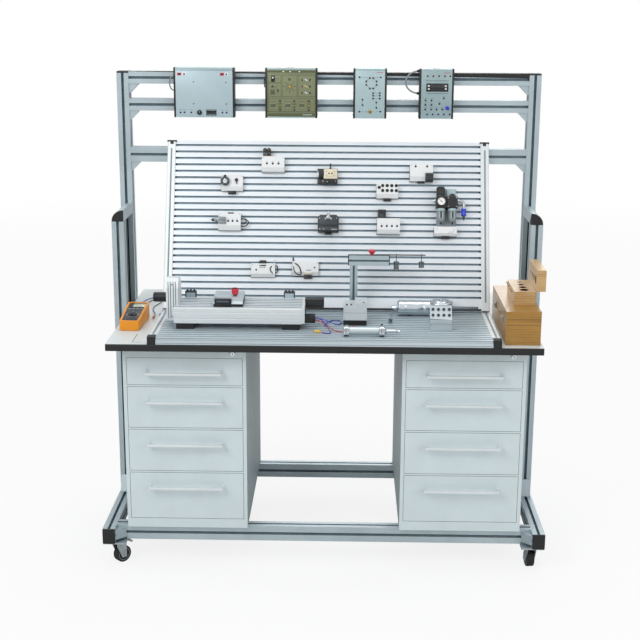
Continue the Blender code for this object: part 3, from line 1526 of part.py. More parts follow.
def build_weight(name, table):
    """Slotted weight that hangs from the flat spring by a wire hook; its origin is where the hook bears."""
    pivot = arm_top - skin + beam_thickness + hook_play + hook_wire
    bm = bmesh.new()
    path = []
    bend = beam_width / 2 + hook_play + hook_wire
    drop = beam_thickness + hook_play * 2 + hook_wire
    path.append((0, -bend, -drop))
    path.append((0, -bend, 0))
    path.append((0, bend, 0))
    path.append((0, bend, -drop))
    path.append((0, 0, -drop - bend))
    path.append((0, 0, -drop - bend - hook_stem))
    bent_rod(bm, path, hook_wire, socket_sides)
    weight = link_node(name, bm, chrome, Matrix.Translation((table["x"], stand_y, pivot)))
    body = bmesh.new()
    top = -drop - bend - hook_stem + joint_overlap
    height = table["height"]
    turned(body, [(0, top), (weight_waist, top), (weight_radius, top - cap_round),
                  (weight_radius, top - height * third_share),
                  (weight_waist, top - height * third_share - cap_round),
                  (weight_waist, top - height * two_thirds_share),
                  (weight_radius, top - height * two_thirds_share - cap_round),
                  (weight_radius, top - height), (0, top - height)], (0, 0, 0), (0, 0, 1), knob_sides)
    weld(weight, name + "_body", body)


# Other devices on the flat plate

def build_amplifier():
    """Silver amplifier box with a stepped top and a black foot, two sockets and a raised terminal edge."""
    front = front_y + amplifier_inset
    top = bench_floor + amplifier_base + amplifier_height
    bm = bmesh.new()
    outline = [(amplifier_left, bench_floor + amplifier_base - joint_overlap),
               (amplifier_left + amplifier_width, bench_floor + amplifier_base - joint_overlap),
               (amplifier_left + amplifier_width, top), (amplifier_left + amplifier_width / 2, top),
               (amplifier_left + amplifier_width / 2, top - amplifier_notch),
               (amplifier_left, top - amplifier_notch)]
    prism(bm, outline, "Y", front, front + amplifier_depth)
    box = link_node("amplifier_box", bm, bright)
    add = bmesh.new()
    block(add, (amplifier_left + skin, front + skin, bench_floor),
          (amplifier_left + amplifier_width - skin, front + amplifier_depth - skin,
           bench_floor + amplifier_base))
    for share in amplifier_socket_shares:
        socket(add, (amplifier_left + amplifier_width * share, front + socket_radius * 2,
                     top - amplifier_notch * (share < half_share)),
               (0, 0, 1), socket_radius, socket_reach, socket_sides)
    weld(box, "amplifier_box_foot", add)


cylinder_y = front_y + cylinder_inset
cylinder_z = bench_floor + cylinder_head / 2 + saddle_height


def build_cylinder_barrel():
    """Air cylinder: barrel between two square heads, a port on each, a stepped foot and the rod's bore."""
    bm = bmesh.new()
    rod(bm, (cylinder_left, cylinder_y, cylinder_z),
        (cylinder_left + cylinder_length, cylinder_y, cylinder_z),
        cylinder_radius, wheel_sides)
    barrel = link_node("cylinder_barrel", bm, bright)
    add = bmesh.new()
    half = cylinder_head
    for left in (cylinder_left - joint_overlap,
                 cylinder_left + cylinder_length - cylinder_head_length + joint_overlap):
        soft_block(add, (left, cylinder_y - half, cylinder_z - half + cap_round),
                   (left + cylinder_head_length, cylinder_y + half, cylinder_z + half),
                   cap_round, "X")
    weld(barrel, "cylinder_barrel_heads", add)
    fit = bmesh.new()
    for left in (cylinder_left, cylinder_left + cylinder_length - cylinder_head_length):
        middle = left + cylinder_head_length / 2
        rod(fit, (middle, cylinder_y, cylinder_z + half - joint_overlap),
            (middle, cylinder_y, cylinder_z + half + cylinder_port * 2),
            cylinder_port, pin_sides)
        block(fit, (left + cap_round, cylinder_y - half + cap_round, bench_floor),
              (left + cylinder_head_length - cap_round, cylinder_y + half - cap_round, cylinder_z))
    weld(barrel, "cylinder_barrel_feet", fit)
    bore = bmesh.new()
    end = cylinder_left + cylinder_length
    rod(bore, (end - piston_rod_in - piston_travel - bore_room, cylinder_y, cylinder_z),
        (end + bore_room, cylinder_y, cylinder_z), piston_rod_radius + rod_bore_play, gauge_sides)
    carve(barrel, "cylinder_barrel_bore", bore)


def build_cylinder_rod():
    """Piston rod with the lock nut and the tip that the photograph shows at its right end."""
    bm = bmesh.new()
    end = piston_rod_out + joint_overlap
    turned(bm, [(0, -piston_rod_in), (piston_rod_radius, -piston_rod_in),
                (piston_rod_radius, end - rod_nut_length), (rod_nut_radius, end - rod_nut_length),
                (rod_nut_radius, end), (piston_rod_radius - cap_round, end),
                (piston_rod_radius - cap_round, end + rod_nut_length), (0, end + rod_nut_length)],
           (0, 0, 0), (1, 0, 0), round_sides)
    mouth = Matrix.Translation((cylinder_left + cylinder_length, cylinder_y, cylinder_z))
    link_node("cylinder_rod", bm, chrome, mouth)


def build_tube_sensor():
    """Silver tube with a nozzle at its left, a round head with a stepped lid, and a rod at its right."""
    y = front_y + tube_inset
    z = bench_floor + tube_radius
    bm = bmesh.new()
    turned(bm, [(0, -nozzle_length), (nozzle_radius, -nozzle_length),
                (nozzle_radius, -nozzle_length * third_share),
                (nozzle_radius * 2, -nozzle_length * third_share), (nozzle_radius * 2, -cap_round),
                (tube_radius - tube_round, 0), (tube_radius, tube_round),
                (tube_radius, tube_length), (0, tube_length)], (tube_left, y, z), (1, 0, 0), motor_sides)
    tube = link_node("tube_sensor", bm, bright)
    head = bmesh.new()
    puck_x = tube_left + tube_length + puck_radius - puck_overlap
    turned(head, [(0, 0), (puck_radius - puck_rim, 0),
                  (puck_radius - puck_rim, puck_height * third_share),
                  (puck_radius, puck_height * third_share), (puck_radius, puck_height - cap_round),
                  (puck_radius - cap_round, puck_height), (puck_radius - puck_rim * 2, puck_height),
                  (puck_radius - puck_lid_inset, puck_height + puck_rim), (0, puck_height + puck_rim)],
           (puck_x, y, z + puck_rim - puck_height / 2), (0, 0, 1), wheel_sides)
    weld(tube, "tube_sensor_head", head)
    bar = bmesh.new()
    rod(bar, (puck_x + puck_radius - puck_overlap, y, z - cap_round),
        (puck_x + puck_radius + bar_length, y, z - cap_round), bar_radius, pin_sides)
    weld(tube, "tube_sensor_bar", bar)


def build_manifold():
    """Valve manifold: stepped block with two rows of push-in ports on its sloping upper front."""
    front = front_y + manifold_inset
    bm = bmesh.new()
    outline = [(front, bench_floor), (front + manifold_depth, bench_floor),
               (front + manifold_depth, bench_floor + manifold_height),
               (front + manifold_setback * 2, bench_floor + manifold_height),
               (front + cap_round, bench_floor + manifold_step + cap_round),
               (front, bench_floor + manifold_step)]
    prism(bm, outline, "X", manifold_left, manifold_left + manifold_width)
    manifold = link_node("valve_manifold", bm, aluminium)
    ports = bmesh.new()
    low = Vector((0, front + cap_round, bench_floor + manifold_step + cap_round))
    high = Vector((0, front + manifold_setback * 2, bench_floor + manifold_height))
    slope = (high - low).normalized()
    facing = Vector((0, -slope.z, slope.y))
    for row in port_row_shares:
        for column in range(ports_per_row):
            spot = low + (high - low) * row
            spot.x = manifold_left + manifold_width * (column + half_share) / ports_per_row
            socket(ports, spot, facing, port_radius, port_reach, wire_sides)
    weld(manifold, "valve_manifold_ports", ports)


# Wooden cases

case_front = front_y + case_inset
case_top = worktop_height + touch_gap + case_height
block_front = front_y + block_inset
block_base = case_top - joint_overlap
block_top = case_top + block_height
lid_axis = Vector((block_left + block_width, block_front + block_depth / 2, block_top))


def build_wood_cases():
    """Large closed case with a grooved lid line, the smaller block on it with its wells, and the clasps."""
    bottom = worktop_height + touch_gap
    right = case_left + case_width
    lid_line = case_top - case_lid_line
    bm = bmesh.new()
    outline = [(case_left, bottom), (right, bottom), (right, lid_line - case_groove),
               (right - case_groove, lid_line), (right, lid_line + case_groove), (right, case_top),
               (case_left, case_top), (case_left, lid_line + case_groove),
               (case_left + case_groove, lid_line), (case_left, lid_line - case_groove)]
    prism(bm, outline, "Y", case_front, case_front + case_depth)
    cases = link_node("wood_cases", bm, dark_wood)
    small = bmesh.new()
    soft_block(small, (block_left, block_front, block_base),
               (block_left + block_width, block_front + block_depth, block_top),
               block_round, "Z")
    for y in (case_front + case_depth * quarter_share, case_front + case_depth * three_quarter_share):
        soft_block(small, (case_left - clasp_thickness, y - clasp_width / 2, lid_line - clasp_height / 2),
                   (case_left + joint_overlap, y + clasp_width / 2,
                    lid_line + clasp_height / 2), cap_round, "X")
    weld(cases, "wood_cases_block", small)
    clasps = bmesh.new()
    for share in clasp_shares:
        y = block_front + block_depth * share
        bent_rod(clasps, [(block_left + joint_overlap, y, block_top - clasp_height / 2),
                          (block_left - clasp_thickness, y, block_top - clasp_height / 2),
                          (block_left - clasp_thickness * 2, y, block_top),
                          (block_left - clasp_reach, y,
                           block_top + clasp_thickness)], clasp_thickness / 2, socket_sides)
    weld(cases, "wood_cases_clasps", clasps)
    wells = bmesh.new()
    for index, radius in enumerate(weight_well_radii):
        y = block_front + well_spacing * (index + three_quarter_share)
        rod(wells, (block_left + block_width / 2, y, block_top - weight_well_depth),
            (block_left + block_width / 2, y, block_top + cap_round),
            radius, knob_sides)
    carve(cases, "wood_cases_wells", wells)


def build_case_lid():
    """Lid of the small case, standing open on its hinge, with a shallow well for each of the base's."""
    bm = bmesh.new()
    half = block_depth / 2
    soft_block(bm, (touch_gap, -half, touch_gap), (touch_gap + lid_thickness, half, touch_gap + block_width),
               block_round, "X")
    lid = link_node("case_lid", bm, dark_wood, Matrix.Translation(lid_axis))
    wells = bmesh.new()
    for index, radius in enumerate(weight_well_radii):
        y = well_spacing * (index + three_quarter_share) - half
        rod(wells, (-cap_round, y, block_width / 2), (lid_well_depth, y, block_width / 2), radius, knob_sides)
    carve(lid, "case_lid_wells", wells)


# Hand meter

meter_frame = (
    Matrix.Translation((meter_x, front_y + meter_inset, worktop_height + touch_gap))
    @ Matrix.Rotation(meter_turn, 4, "Z")
)


def build_meter_body():
    """Meter in its holster: wider and higher at the far end, a sunk face, a display and a row of jacks."""
    bm = bmesh.new()
    near = meter_width / 2 - meter_taper / 2
    far = meter_width / 2
    high_near = meter_height
    high_far = meter_height + meter_length * math.tan(meter_tilt)
    outline_near = rounded_rectangle(-near, 0, near, high_near, meter_round, 3)
    outline_far = rounded_rectangle(-far, 0, far, high_far, meter_round, 3)
    front = [bm.verts.new((x, 0, z)) for x, z in outline_near]
    back = [bm.verts.new((x, meter_length, z)) for x, z in outline_far]
    bm.faces.new(front)
    bm.faces.new(list(reversed(back)))
    for index in range(len(front)):
        after = (index + 1) % len(front)
        bm.faces.new((front[index], back[index], back[after], front[after]))
    meter = link_node("meter_body", bm, orange, meter_frame)
    well = bmesh.new()
    for vert in soft_block(well, (-near + meter_rim, meter_rim, -meter_well),
                           (near - meter_rim, meter_length - meter_rim, meter_well),
                           meter_round, "Z"):
        vert.co.z += meter_height + vert.co.y * math.tan(meter_tilt)
    carve(meter, "meter_body_well", well)
    jacks = bmesh.new()
    turned(jacks, [(0, -joint_overlap), (jack_radius, -joint_overlap), (jack_radius, jack_reach),
                   (0, jack_reach)],
           (near - meter_rim, meter_length, meter_height / 2), (0, 1, 0), pin_sides)
    weld(meter, "meter_body_jack", jacks)


def build_meter_dial():
    """Range selector: a flat disc with a raised grip bar across it."""
    slope = Matrix.Rotation(meter_tilt, 4, "X")
    y = meter_length * dial_share
    face = meter_height + y * math.tan(meter_tilt) - meter_well + touch_gap
    seat = meter_frame @ Matrix.Translation((0, y, face)) @ slope
    bm = bmesh.new()
    turned(bm, [(0, 0), (dial_radius, 0), (dial_radius - cap_round / 2, dial_height), (0, dial_height)],
           (0, 0, 0), (0, 0, 1), dial_sides)
    dial = link_node("meter_dial", bm, black_plastic, seat)
    grip = bmesh.new()
    soft_block(grip, (-dial_grip, -dial_radius + dial_grip * 2, dial_height / 2),
               (dial_grip, dial_radius - dial_grip * 2, dial_height + dial_grip),
               dial_grip / 2, "Z")
    weld(dial, "meter_dial_grip", grip)


def cut_rocker_seat(unit):
    """The opening in the power unit's face in which the mains rocker tips."""
    bm = bmesh.new()
    half = rocker_width / 2 + touch_gap
    height = rocker_height / 2 + rocker_play
    block(bm, (rocker_x - half, instrument_face - rocker_front, instrument_bottom + rocker_z - height),
          (rocker_x + half, instrument_face + rocker_back + rocker_play * 2,
           instrument_bottom + rocker_z + height))
    carve(unit, "power_unit_rocker_seat", bm)


def build_power_rocker():
    """Rocker of the mains switch; it tips about the axle across its back."""
    bm = bmesh.new()
    half = rocker_width / 2
    height = rocker_height / 2
    outline = [(rocker_back, -height), (0, -height), (-rocker_front, -height + cap_round), (-cap_round, 0),
               (-rocker_front, height - cap_round), (0, height), (rocker_back, height)]
    prism(bm, outline, "X", -half, half)
    seat = Matrix.Translation((rocker_x, instrument_face, instrument_bottom + rocker_z))
    link_node("power_rocker", bm, black_plastic, seat)


# Leads that lie free

def smooth_route(points, steps):
    """Points along a smooth curve through the route's own points."""
    route = [Vector(point) for point in points]
    route = [route[0] * 2 - route[1]] + route + [route[-1] * 2 - route[-2]]
    found = []
    for index in range(1, len(route) - 2):
        p0, p1, p2, p3 = route[index - 1:index + 3]
        for step in range(steps):
            t = step / steps
            found.append(0.5 * (p1 * 2 + (p2 - p0) * t + (p0 * 2 - p1 * 5 + p2 * 4 - p3) * t * t
                                + (p1 * 3 - p0 - p2 * 3 + p3) * t ** 3))
    found.append(route[-2])
    return found


def build_lead(name, points, material):
    """A free lead: a round tube along its route, with flat ends."""
    data = bpy.data.curves.new(name, "CURVE")
    data.dimensions = "3D"
    data.bevel_depth = lead_radius
    data.bevel_resolution = 2
    data.use_fill_caps = True
    spline = data.splines.new("POLY")
    route = smooth_route(points, 3)
    spline.points.add(len(route) - 1)
    for point, place in zip(spline.points, route):
        point.co = (*place, 1)
    data.materials.append(material)
    lead = bpy.data.objects.new(name, data)
    bpy.context.scene.collection.objects.link(lead)


def build_plug(name, tip, end, material):
    """Banana plug: a moulded grip and a bare pin, from the lead's end to the tip."""
    end = Vector(end)
    along = (Vector(tip) - end).normalized()
    bm = bmesh.new()
    start = touch_gap
    turned(bm, [(0, start), (plug_radius * two_thirds_share, start),
                (plug_radius, start + plug_length * quarter_share),
                (plug_radius, start + plug_length * two_thirds_share),
                (pin_radius, start + plug_length * two_thirds_share), (pin_radius, start + plug_length),
                (0, start + plug_length)], end, along, knob_sides)
    link_node(name, bm, material)


build_lower_frame()
build_rear_frame()
for hand, side in (("left", -1), ("right", 1)):
    build_side_panel("side_panel_" + hand, side)
    build_cabinet("cabinet_" + hand, side)
    for number, (bottom, top) in enumerate(drawer_levels(), 1):
        build_drawer(f"drawer_{hand}_{number}", side, bottom, top)
build_worktop()
for corner, place in caster_places.items():
    build_fork("fork_" + corner, place, corner.startswith("front"))
    build_wheel("wheel_" + corner, place)
build_base_plate()
build_slot_board()
for name, table in instruments.items():
    unit = build_instrument(name, table)
    if name == "power_unit":
        cut_rocker_seat(unit)
build_power_rocker()
for name, table in modules.items():
    if name != "air_foot":
        build_module(name, table)
build_pale_valve()
build_black_valve()
build_air_unit()
build_regulator_knob()
build_axis_bed()
build_axis_carriage()
build_beam_stand()
for name, table in weights.items():
    build_weight(name, table)
build_amplifier()
build_cylinder_barrel()
build_cylinder_rod()
build_tube_sensor()
build_manifold()
build_wood_cases()
build_case_lid()
build_meter_body()
build_meter_dial()
build_lead("meter_lead", meter_lead_route, violet_plastic)
build_plug("meter_plug", meter_plug_tip, meter_lead_route[-1], red_plastic)
build_lead("axis_lead", axis_lead_route, blue_plastic)
build_plug("axis_plug", axis_plug_tip, axis_lead_route[-1], blue_plastic)
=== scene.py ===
import json
import math

import bmesh
import bpy
import numpy as np
from mathutils import Matrix, Vector
from mathutils.bvhtree import BVHTree


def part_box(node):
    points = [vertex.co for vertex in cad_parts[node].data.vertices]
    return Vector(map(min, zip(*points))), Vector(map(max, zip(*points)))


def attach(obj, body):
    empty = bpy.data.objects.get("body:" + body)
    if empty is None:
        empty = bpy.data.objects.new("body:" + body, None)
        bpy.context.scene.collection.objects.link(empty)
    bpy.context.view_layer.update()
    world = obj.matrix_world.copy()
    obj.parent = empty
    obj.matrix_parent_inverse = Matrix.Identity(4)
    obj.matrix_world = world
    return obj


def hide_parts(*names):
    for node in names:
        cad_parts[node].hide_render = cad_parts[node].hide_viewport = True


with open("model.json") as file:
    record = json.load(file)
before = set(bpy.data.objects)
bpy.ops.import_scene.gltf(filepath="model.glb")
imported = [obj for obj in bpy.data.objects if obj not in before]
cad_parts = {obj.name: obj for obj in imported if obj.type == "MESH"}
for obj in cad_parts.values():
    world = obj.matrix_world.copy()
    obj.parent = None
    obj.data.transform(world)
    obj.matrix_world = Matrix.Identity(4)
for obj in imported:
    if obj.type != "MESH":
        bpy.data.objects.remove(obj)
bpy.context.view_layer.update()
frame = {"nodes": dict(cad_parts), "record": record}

nodes = frame["nodes"]
mm = 0.001

# Camera: solved from the photograph's frame corners, worktop edges and post feet

camera = {"place": (0.0687, -4.5535, 1.9986), "pitch": 0.2493, "yaw": 0.02, "roll": 0.005, "lens": 70.65}


def makeCamera(look):
    sinP, cosP = math.sin(look["pitch"]), math.cos(look["pitch"])
    sinY, cosY = math.sin(look["yaw"]), math.cos(look["yaw"])
    forward = Vector((-cosP * sinY, cosP * cosY, -sinP))
    right = Vector((cosY, sinY, 0))
    up = Vector((-sinP * sinY, sinP * cosY, cosP))
    across = right * math.cos(look["roll"]) + up * math.sin(look["roll"])
    above = up * math.cos(look["roll"]) - right * math.sin(look["roll"])
    turn = Matrix((across, above, -forward)).transposed()
    data = bpy.data.cameras.new("photoCamera")
    data.lens = look["lens"]
    data.clip_start = 0.1
    data.clip_end = 60
    camera = bpy.data.objects.new("photoCamera", data)
    camera.matrix_world = Matrix.Translation(look["place"]) @ turn.to_4x4()
    bpy.context.scene.collection.objects.link(camera)
    bpy.context.scene.camera = camera


makeCamera(camera)
print("camera placed")


# Shapes, in millimetres: each is its points and its faces

def gridFaces(rows, columns):
    # quads from each ring of points to the next, the last column joined to the first
    row, column = np.meshgrid(np.arange(rows - 1), np.arange(columns), indexing="ij")
    after = (column + 1) % columns
    corners = [row * columns + column, row * columns + after, (row + 1) * columns + after,
               (row + 1) * columns + column]
    return np.stack(corners, -1).reshape(-1, 4).tolist()


def skinned(rings):
    # a skin over the rings, with a flat cap on the first and on the last
    rings = np.asarray(rings, float)
    count, around = rings.shape[:2]
    faces = gridFaces(count, around)
    faces.append(list(range(around))[::-1])
    faces.append(list(range((count - 1) * around, count * around)))
    return rings.reshape(-1, 3), faces


def roundedRing(low, high, radius, steps):
    # rectangle whose corners are arcs: corner centre + radius * (cos a, sin a), a over a quarter turn
    turn = np.linspace(0, math.pi / 2, steps + 1)
    centres = [(high[0] - radius, high[1] - radius), (low[0] + radius, high[1] - radius),
               (low[0] + radius, low[1] + radius), (high[0] - radius, low[1] + radius)]
    arcs = []
    for quarter, (x, y) in enumerate(centres):
        a = turn + quarter * math.pi / 2
        arcs.append(np.stack([x + radius * np.cos(a), y + radius * np.sin(a)], 1))
    return np.concatenate(arcs)


def roundedBlock(low, high, radius=0.5, steps=2, axis=2):
    # rounded rectangles stacked along the axis; near each end they shrink by radius * (1 - sin a)
    order = [i for i in range(3) if i != axis] + [axis]
    low = np.asarray(low, float)[order]
    high = np.asarray(high, float)[order]
    radius = min(radius, (high - low).min() * 0.45)
    rings = []
    turn = np.linspace(0, math.pi / 2, steps + 1)
    for end, way, angles in ((low[2], 1, turn), (high[2], -1, turn[::-1])):
        for a in angles:
            inset = radius * (1 - math.sin(a))
            flat = roundedRing(low[:2] + inset, high[:2] - inset, max(radius - inset, radius * 0.05), steps)
            level = end + way * radius * (1 - math.cos(a))
            rings.append(np.column_stack([flat, np.full(len(flat), level)]))
    points, faces = skinned(rings)
    back = np.empty_like(points)
    back[:, order] = points
    return back, faces


def axisTurn(axis):
    return Vector(axis).to_track_quat("Z", "Y").to_matrix()


def turnedProfile(profile, centre=(0, 0, 0), axis=(0, 0, 1), sides=28):
    # lathe: radius * (cos a, sin a) across the axis and height along it; a radius of 0 is a pole
    profile = [(float(r), float(h)) for r, h in profile]
    a = np.arange(sides) * 2 * math.pi / sides
    rings = [np.column_stack([r * np.cos(a), r * np.sin(a), np.full(sides, h)]) for r, h in profile if r > 0]
    points = np.concatenate(rings)
    faces = gridFaces(len(rings), sides)
    for end, first in ((profile[0], 0), (profile[-1], (len(rings) - 1) * sides)):
        if end[0] > 0:
            faces.append(list(range(first, first + sides)))
            continue
        pole = len(points)
        points = np.vstack([points, [0, 0, end[1]]])
        faces += [[first + i, first + (i + 1) % sides, pole] for i in range(sides)]
    points = points @ np.array(axisTurn(axis)).T + np.asarray(centre, float)
    return points, faces


def softened(profile, radius, steps=3):
    # each corner c becomes (1-t)(1-t) a + 2 t (1-t) c + t t b, with a and b the radius away from it
    profile = [np.asarray(p, float) for p in profile]
    found = [profile[0]]
    for before, corner, after in zip(profile, profile[1:], profile[2:]):
        reach = [min(radius, np.linalg.norm(p - corner) * 0.45) for p in (before, after)]
        a = corner + (before - corner) / max(np.linalg.norm(before - corner), 1e-6) * reach[0]
        b = corner + (after - corner) / max(np.linalg.norm(after - corner), 1e-6) * reach[1]
        for t in np.linspace(0, 1, steps + 1):
            found.append(a * (1 - t) ** 2 + corner * 2 * t * (1 - t) + b * t ** 2)
    return found + [profile[-1]]


def smoothCurve(points, steps=6):
    # Catmull-Rom: the cubic through p1 and p2 whose slope at each is half the step between its neighbours
    p = np.asarray(points, float)
    p = np.vstack([p[0] * 2 - p[1], p, p[-1] * 2 - p[-2]])
    t = np.linspace(0, 1, steps, endpoint=False)[:, None]
    found = []
    for p0, p1, p2, p3 in zip(p, p[1:], p[2:], p[3:]):
        found.append(0.5 * (2 * p1 + (p2 - p0) * t + (2 * p0 - 5 * p1 + 4 * p2 - p3) * t ** 2
                            + (3 * p1 - p0 - 3 * p2 + p3) * t ** 3))
    return np.vstack(found + [p[-2:-1]])


def tubeAlong(points, radius, sides=12):
    # circles across the line, each turned from the last by the bend between them
    points = np.asarray(points, float)
    radii = np.broadcast_to(np.asarray(radius, float), len(points))
    slopes = np.gradient(points, axis=0)
    slopes /= np.linalg.norm(slopes, axis=1)[:, None]
    side = Vector(slopes[0]).orthogonal().normalized()
    a = np.arange(sides) * 2 * math.pi / sides
    rings = []
    for index, slope in enumerate(slopes):
        along = Vector(slope)
        side = (side - along * side.dot(along)).normalized()
        across = along.cross(side)
        rings.append(points[index] + radii[index] * (np.outer(np.cos(a), side) + np.outer(np.sin(a), across)))
    return skinned(rings)


def extruded(outline, axis, start, end):
    # the outline carried straight along the axis
    order = [i for i in range(3) if i != axis] + [axis]
    rings = []
    for level in (start, end):
        ring = np.empty((len(outline), 3))
        ring[:, order[0]] = [p[0] for p in outline]
        ring[:, order[1]] = [p[1] for p in outline]
        ring[:, order[2]] = level
        rings.append(ring)
    return skinned(rings)


def threaded(radius, depth, pitch, length, centre, axis, sides=24):
    # screw thread as a lathe whose radius rises and falls once every pitch
    count = max(int(length / pitch), 1)
    profile = [(0, 0)]
    for turn in range(count):
        profile += [(radius - depth, turn * pitch), (radius, (turn + 0.35) * pitch),
                    (radius, (turn + 0.65) * pitch)]
    profile += [(radius - depth, count * pitch), (0, count * pitch)]
    return turnedProfile(profile, centre, axis, sides)


def fluted(radius, depth, flutes, low, high, centre, axis=(0, 0, 1)):
    # knob side: radius - depth * cos(flutes * a) squared, closed at both ends with a small chamfer
    a = np.arange(flutes * 4) * 2 * math.pi / (flutes * 4)
    wave = radius - depth * np.cos(flutes * a / 2) ** 4
    edge = (high - low) * 0.08
    rings = []
    for level, shrink in ((low, 0.9), (low + edge, 1), (high - edge, 1), (high, 0.88)):
        rings.append(np.column_stack([wave * shrink * np.cos(a), wave * shrink * np.sin(a),
                                      np.full(len(a), level)]))
    points, faces = skinned(rings)
    return points @ np.array(axisTurn(axis)).T + np.asarray(centre, float), faces


def joined(*shapes):
    points, faces = [], []
    count = 0
    for shapePoints, shapeFaces in shapes:
        points.append(shapePoints)
        faces += [[index + count for index in face] for face in shapeFaces]
        count += len(shapePoints)
    return np.vstack(points), faces


def placed(shape, matrix):
    points, faces = shape
    turn = np.array(matrix.to_3x3())
    return points @ turn.T + np.array(matrix.translation), faces


# Materials: colours as hex sRGB, pattern sizes in millimetres

def linear(colour):
    channels = [int(colour[i:i + 2], 16) / 255 for i in (1, 3, 5)]
    return [c / 12.92 if c <= 0.04045 else ((c + 0.055) / 1.055) ** 2.4 for c in channels]


def addNode(tree, kind, sources=None, **settings):
    node = tree.nodes.new(kind)
    for key, value in settings.items():
        setattr(node, key, value)
    for socket, value in (sources or {}).items():
        if isinstance(value, bpy.types.NodeSocket):
            tree.links.new(value, node.inputs[socket])
        else:
            node.inputs[socket].default_value = value
    return node


def makeFinish(name, look):
    # clouds and fine grain vary the colour, the grain also the roughness and the bump
    material = bpy.data.materials.new(name)
    material.use_nodes = True
    tree = material.node_tree
    tree.nodes.clear()
    base = linear(look["colour"])
    shade = look.get("shade", 0.1)
    stretch = look.get("stretch", (1, 1, 1))
    deep = [c * (1 - shade) for c in base] + [1]
    if "second" in look:
        deep = linear(look["second"]) + [1]
    place = addNode(tree, "ShaderNodeTexCoord").outputs["Object"]
    spread = addNode(tree, "ShaderNodeMapping", {"Vector": place, "Scale": [1 / s for s in stretch]}).outputs[0]
    clouds = addNode(tree, "ShaderNodeTexNoise", {"Vector": spread, "Scale": 1000 / look.get("cloud", 90),
                                                  "Detail": 3.0, "Roughness": 0.55}).outputs["Fac"]
    grain = addNode(tree, "ShaderNodeTexNoise", {"Vector": spread, "Scale": 1000 / look.get("grain", 1.5),
                                                 "Detail": 2.0}).outputs["Fac"]
    sharp = addNode(tree, "ShaderNodeMapRange", {"Value": clouds, "From Min": 0.35, "From Max": 0.65}).outputs[0]
    if "rings" in look:
        waves = addNode(tree, "ShaderNodeTexWave", {"Vector": spread, "Scale": 1000 / look["rings"] / 3.2,
                                                    "Distortion": 4.0, "Detail": 3.0, "Detail Scale": 1.4},
                        bands_direction="Z").outputs["Fac"]
        sharp = addNode(tree, "ShaderNodeMath", {0: sharp, 1: waves}, operation="MULTIPLY").outputs[0]
    colour = addNode(tree, "ShaderNodeMixRGB", {"Fac": sharp, "Color1": base + [1], "Color2": deep}).outputs[0]
    speck = addNode(tree, "ShaderNodeMapRange", {"Value": grain, "From Min": 0.3, "From Max": 0.7,
                                                 "To Min": 1 - look.get("speckle", 0.04), "To Max": 1.0}).outputs[0]
    colour = addNode(tree, "ShaderNodeMixRGB", {"Fac": 1.0, "Color1": colour, "Color2": speck},
                     blend_type="MULTIPLY").outputs[0]
    rough = look.get("rough", 0.5)
    change = look.get("roughChange", 0.06)
    roughness = addNode(tree, "ShaderNodeMapRange", {"Value": grain, "From Min": 0.3, "From Max": 0.7,
                                                     "To Min": max(rough - change, 0.03),
                                                     "To Max": min(rough + change, 1)}).outputs[0]
    edge = addNode(tree, "ShaderNodeBevel", {"Radius": look.get("edge", 0.5) * mm}, samples=4).outputs[0]
    bump = addNode(tree, "ShaderNodeBump", {"Height": grain, "Strength": look.get("strength", 0.5),
                                            "Distance": look.get("relief", 0.02) * mm, "Normal": edge}).outputs[0]
    shader = addNode(tree, "ShaderNodeBsdfPrincipled", {
        "Base Color": colour, "Roughness": roughness, "Normal": bump, "Metallic": look.get("metal", 0.0),
        "Coat Weight": look.get("coat", 0.0), "Coat Roughness": 0.12,
        "Transmission Weight": look.get("clear", 0.0), "IOR": look.get("ior", 1.5),
    })
    if "glow" in look:
        shader.inputs["Emission Color"].default_value = base + [1]
        shader.inputs["Emission Strength"].default_value = look["glow"]
    out = addNode(tree, "ShaderNodeOutputMaterial")
    tree.links.new(shader.outputs[0], out.inputs[0])
    return material


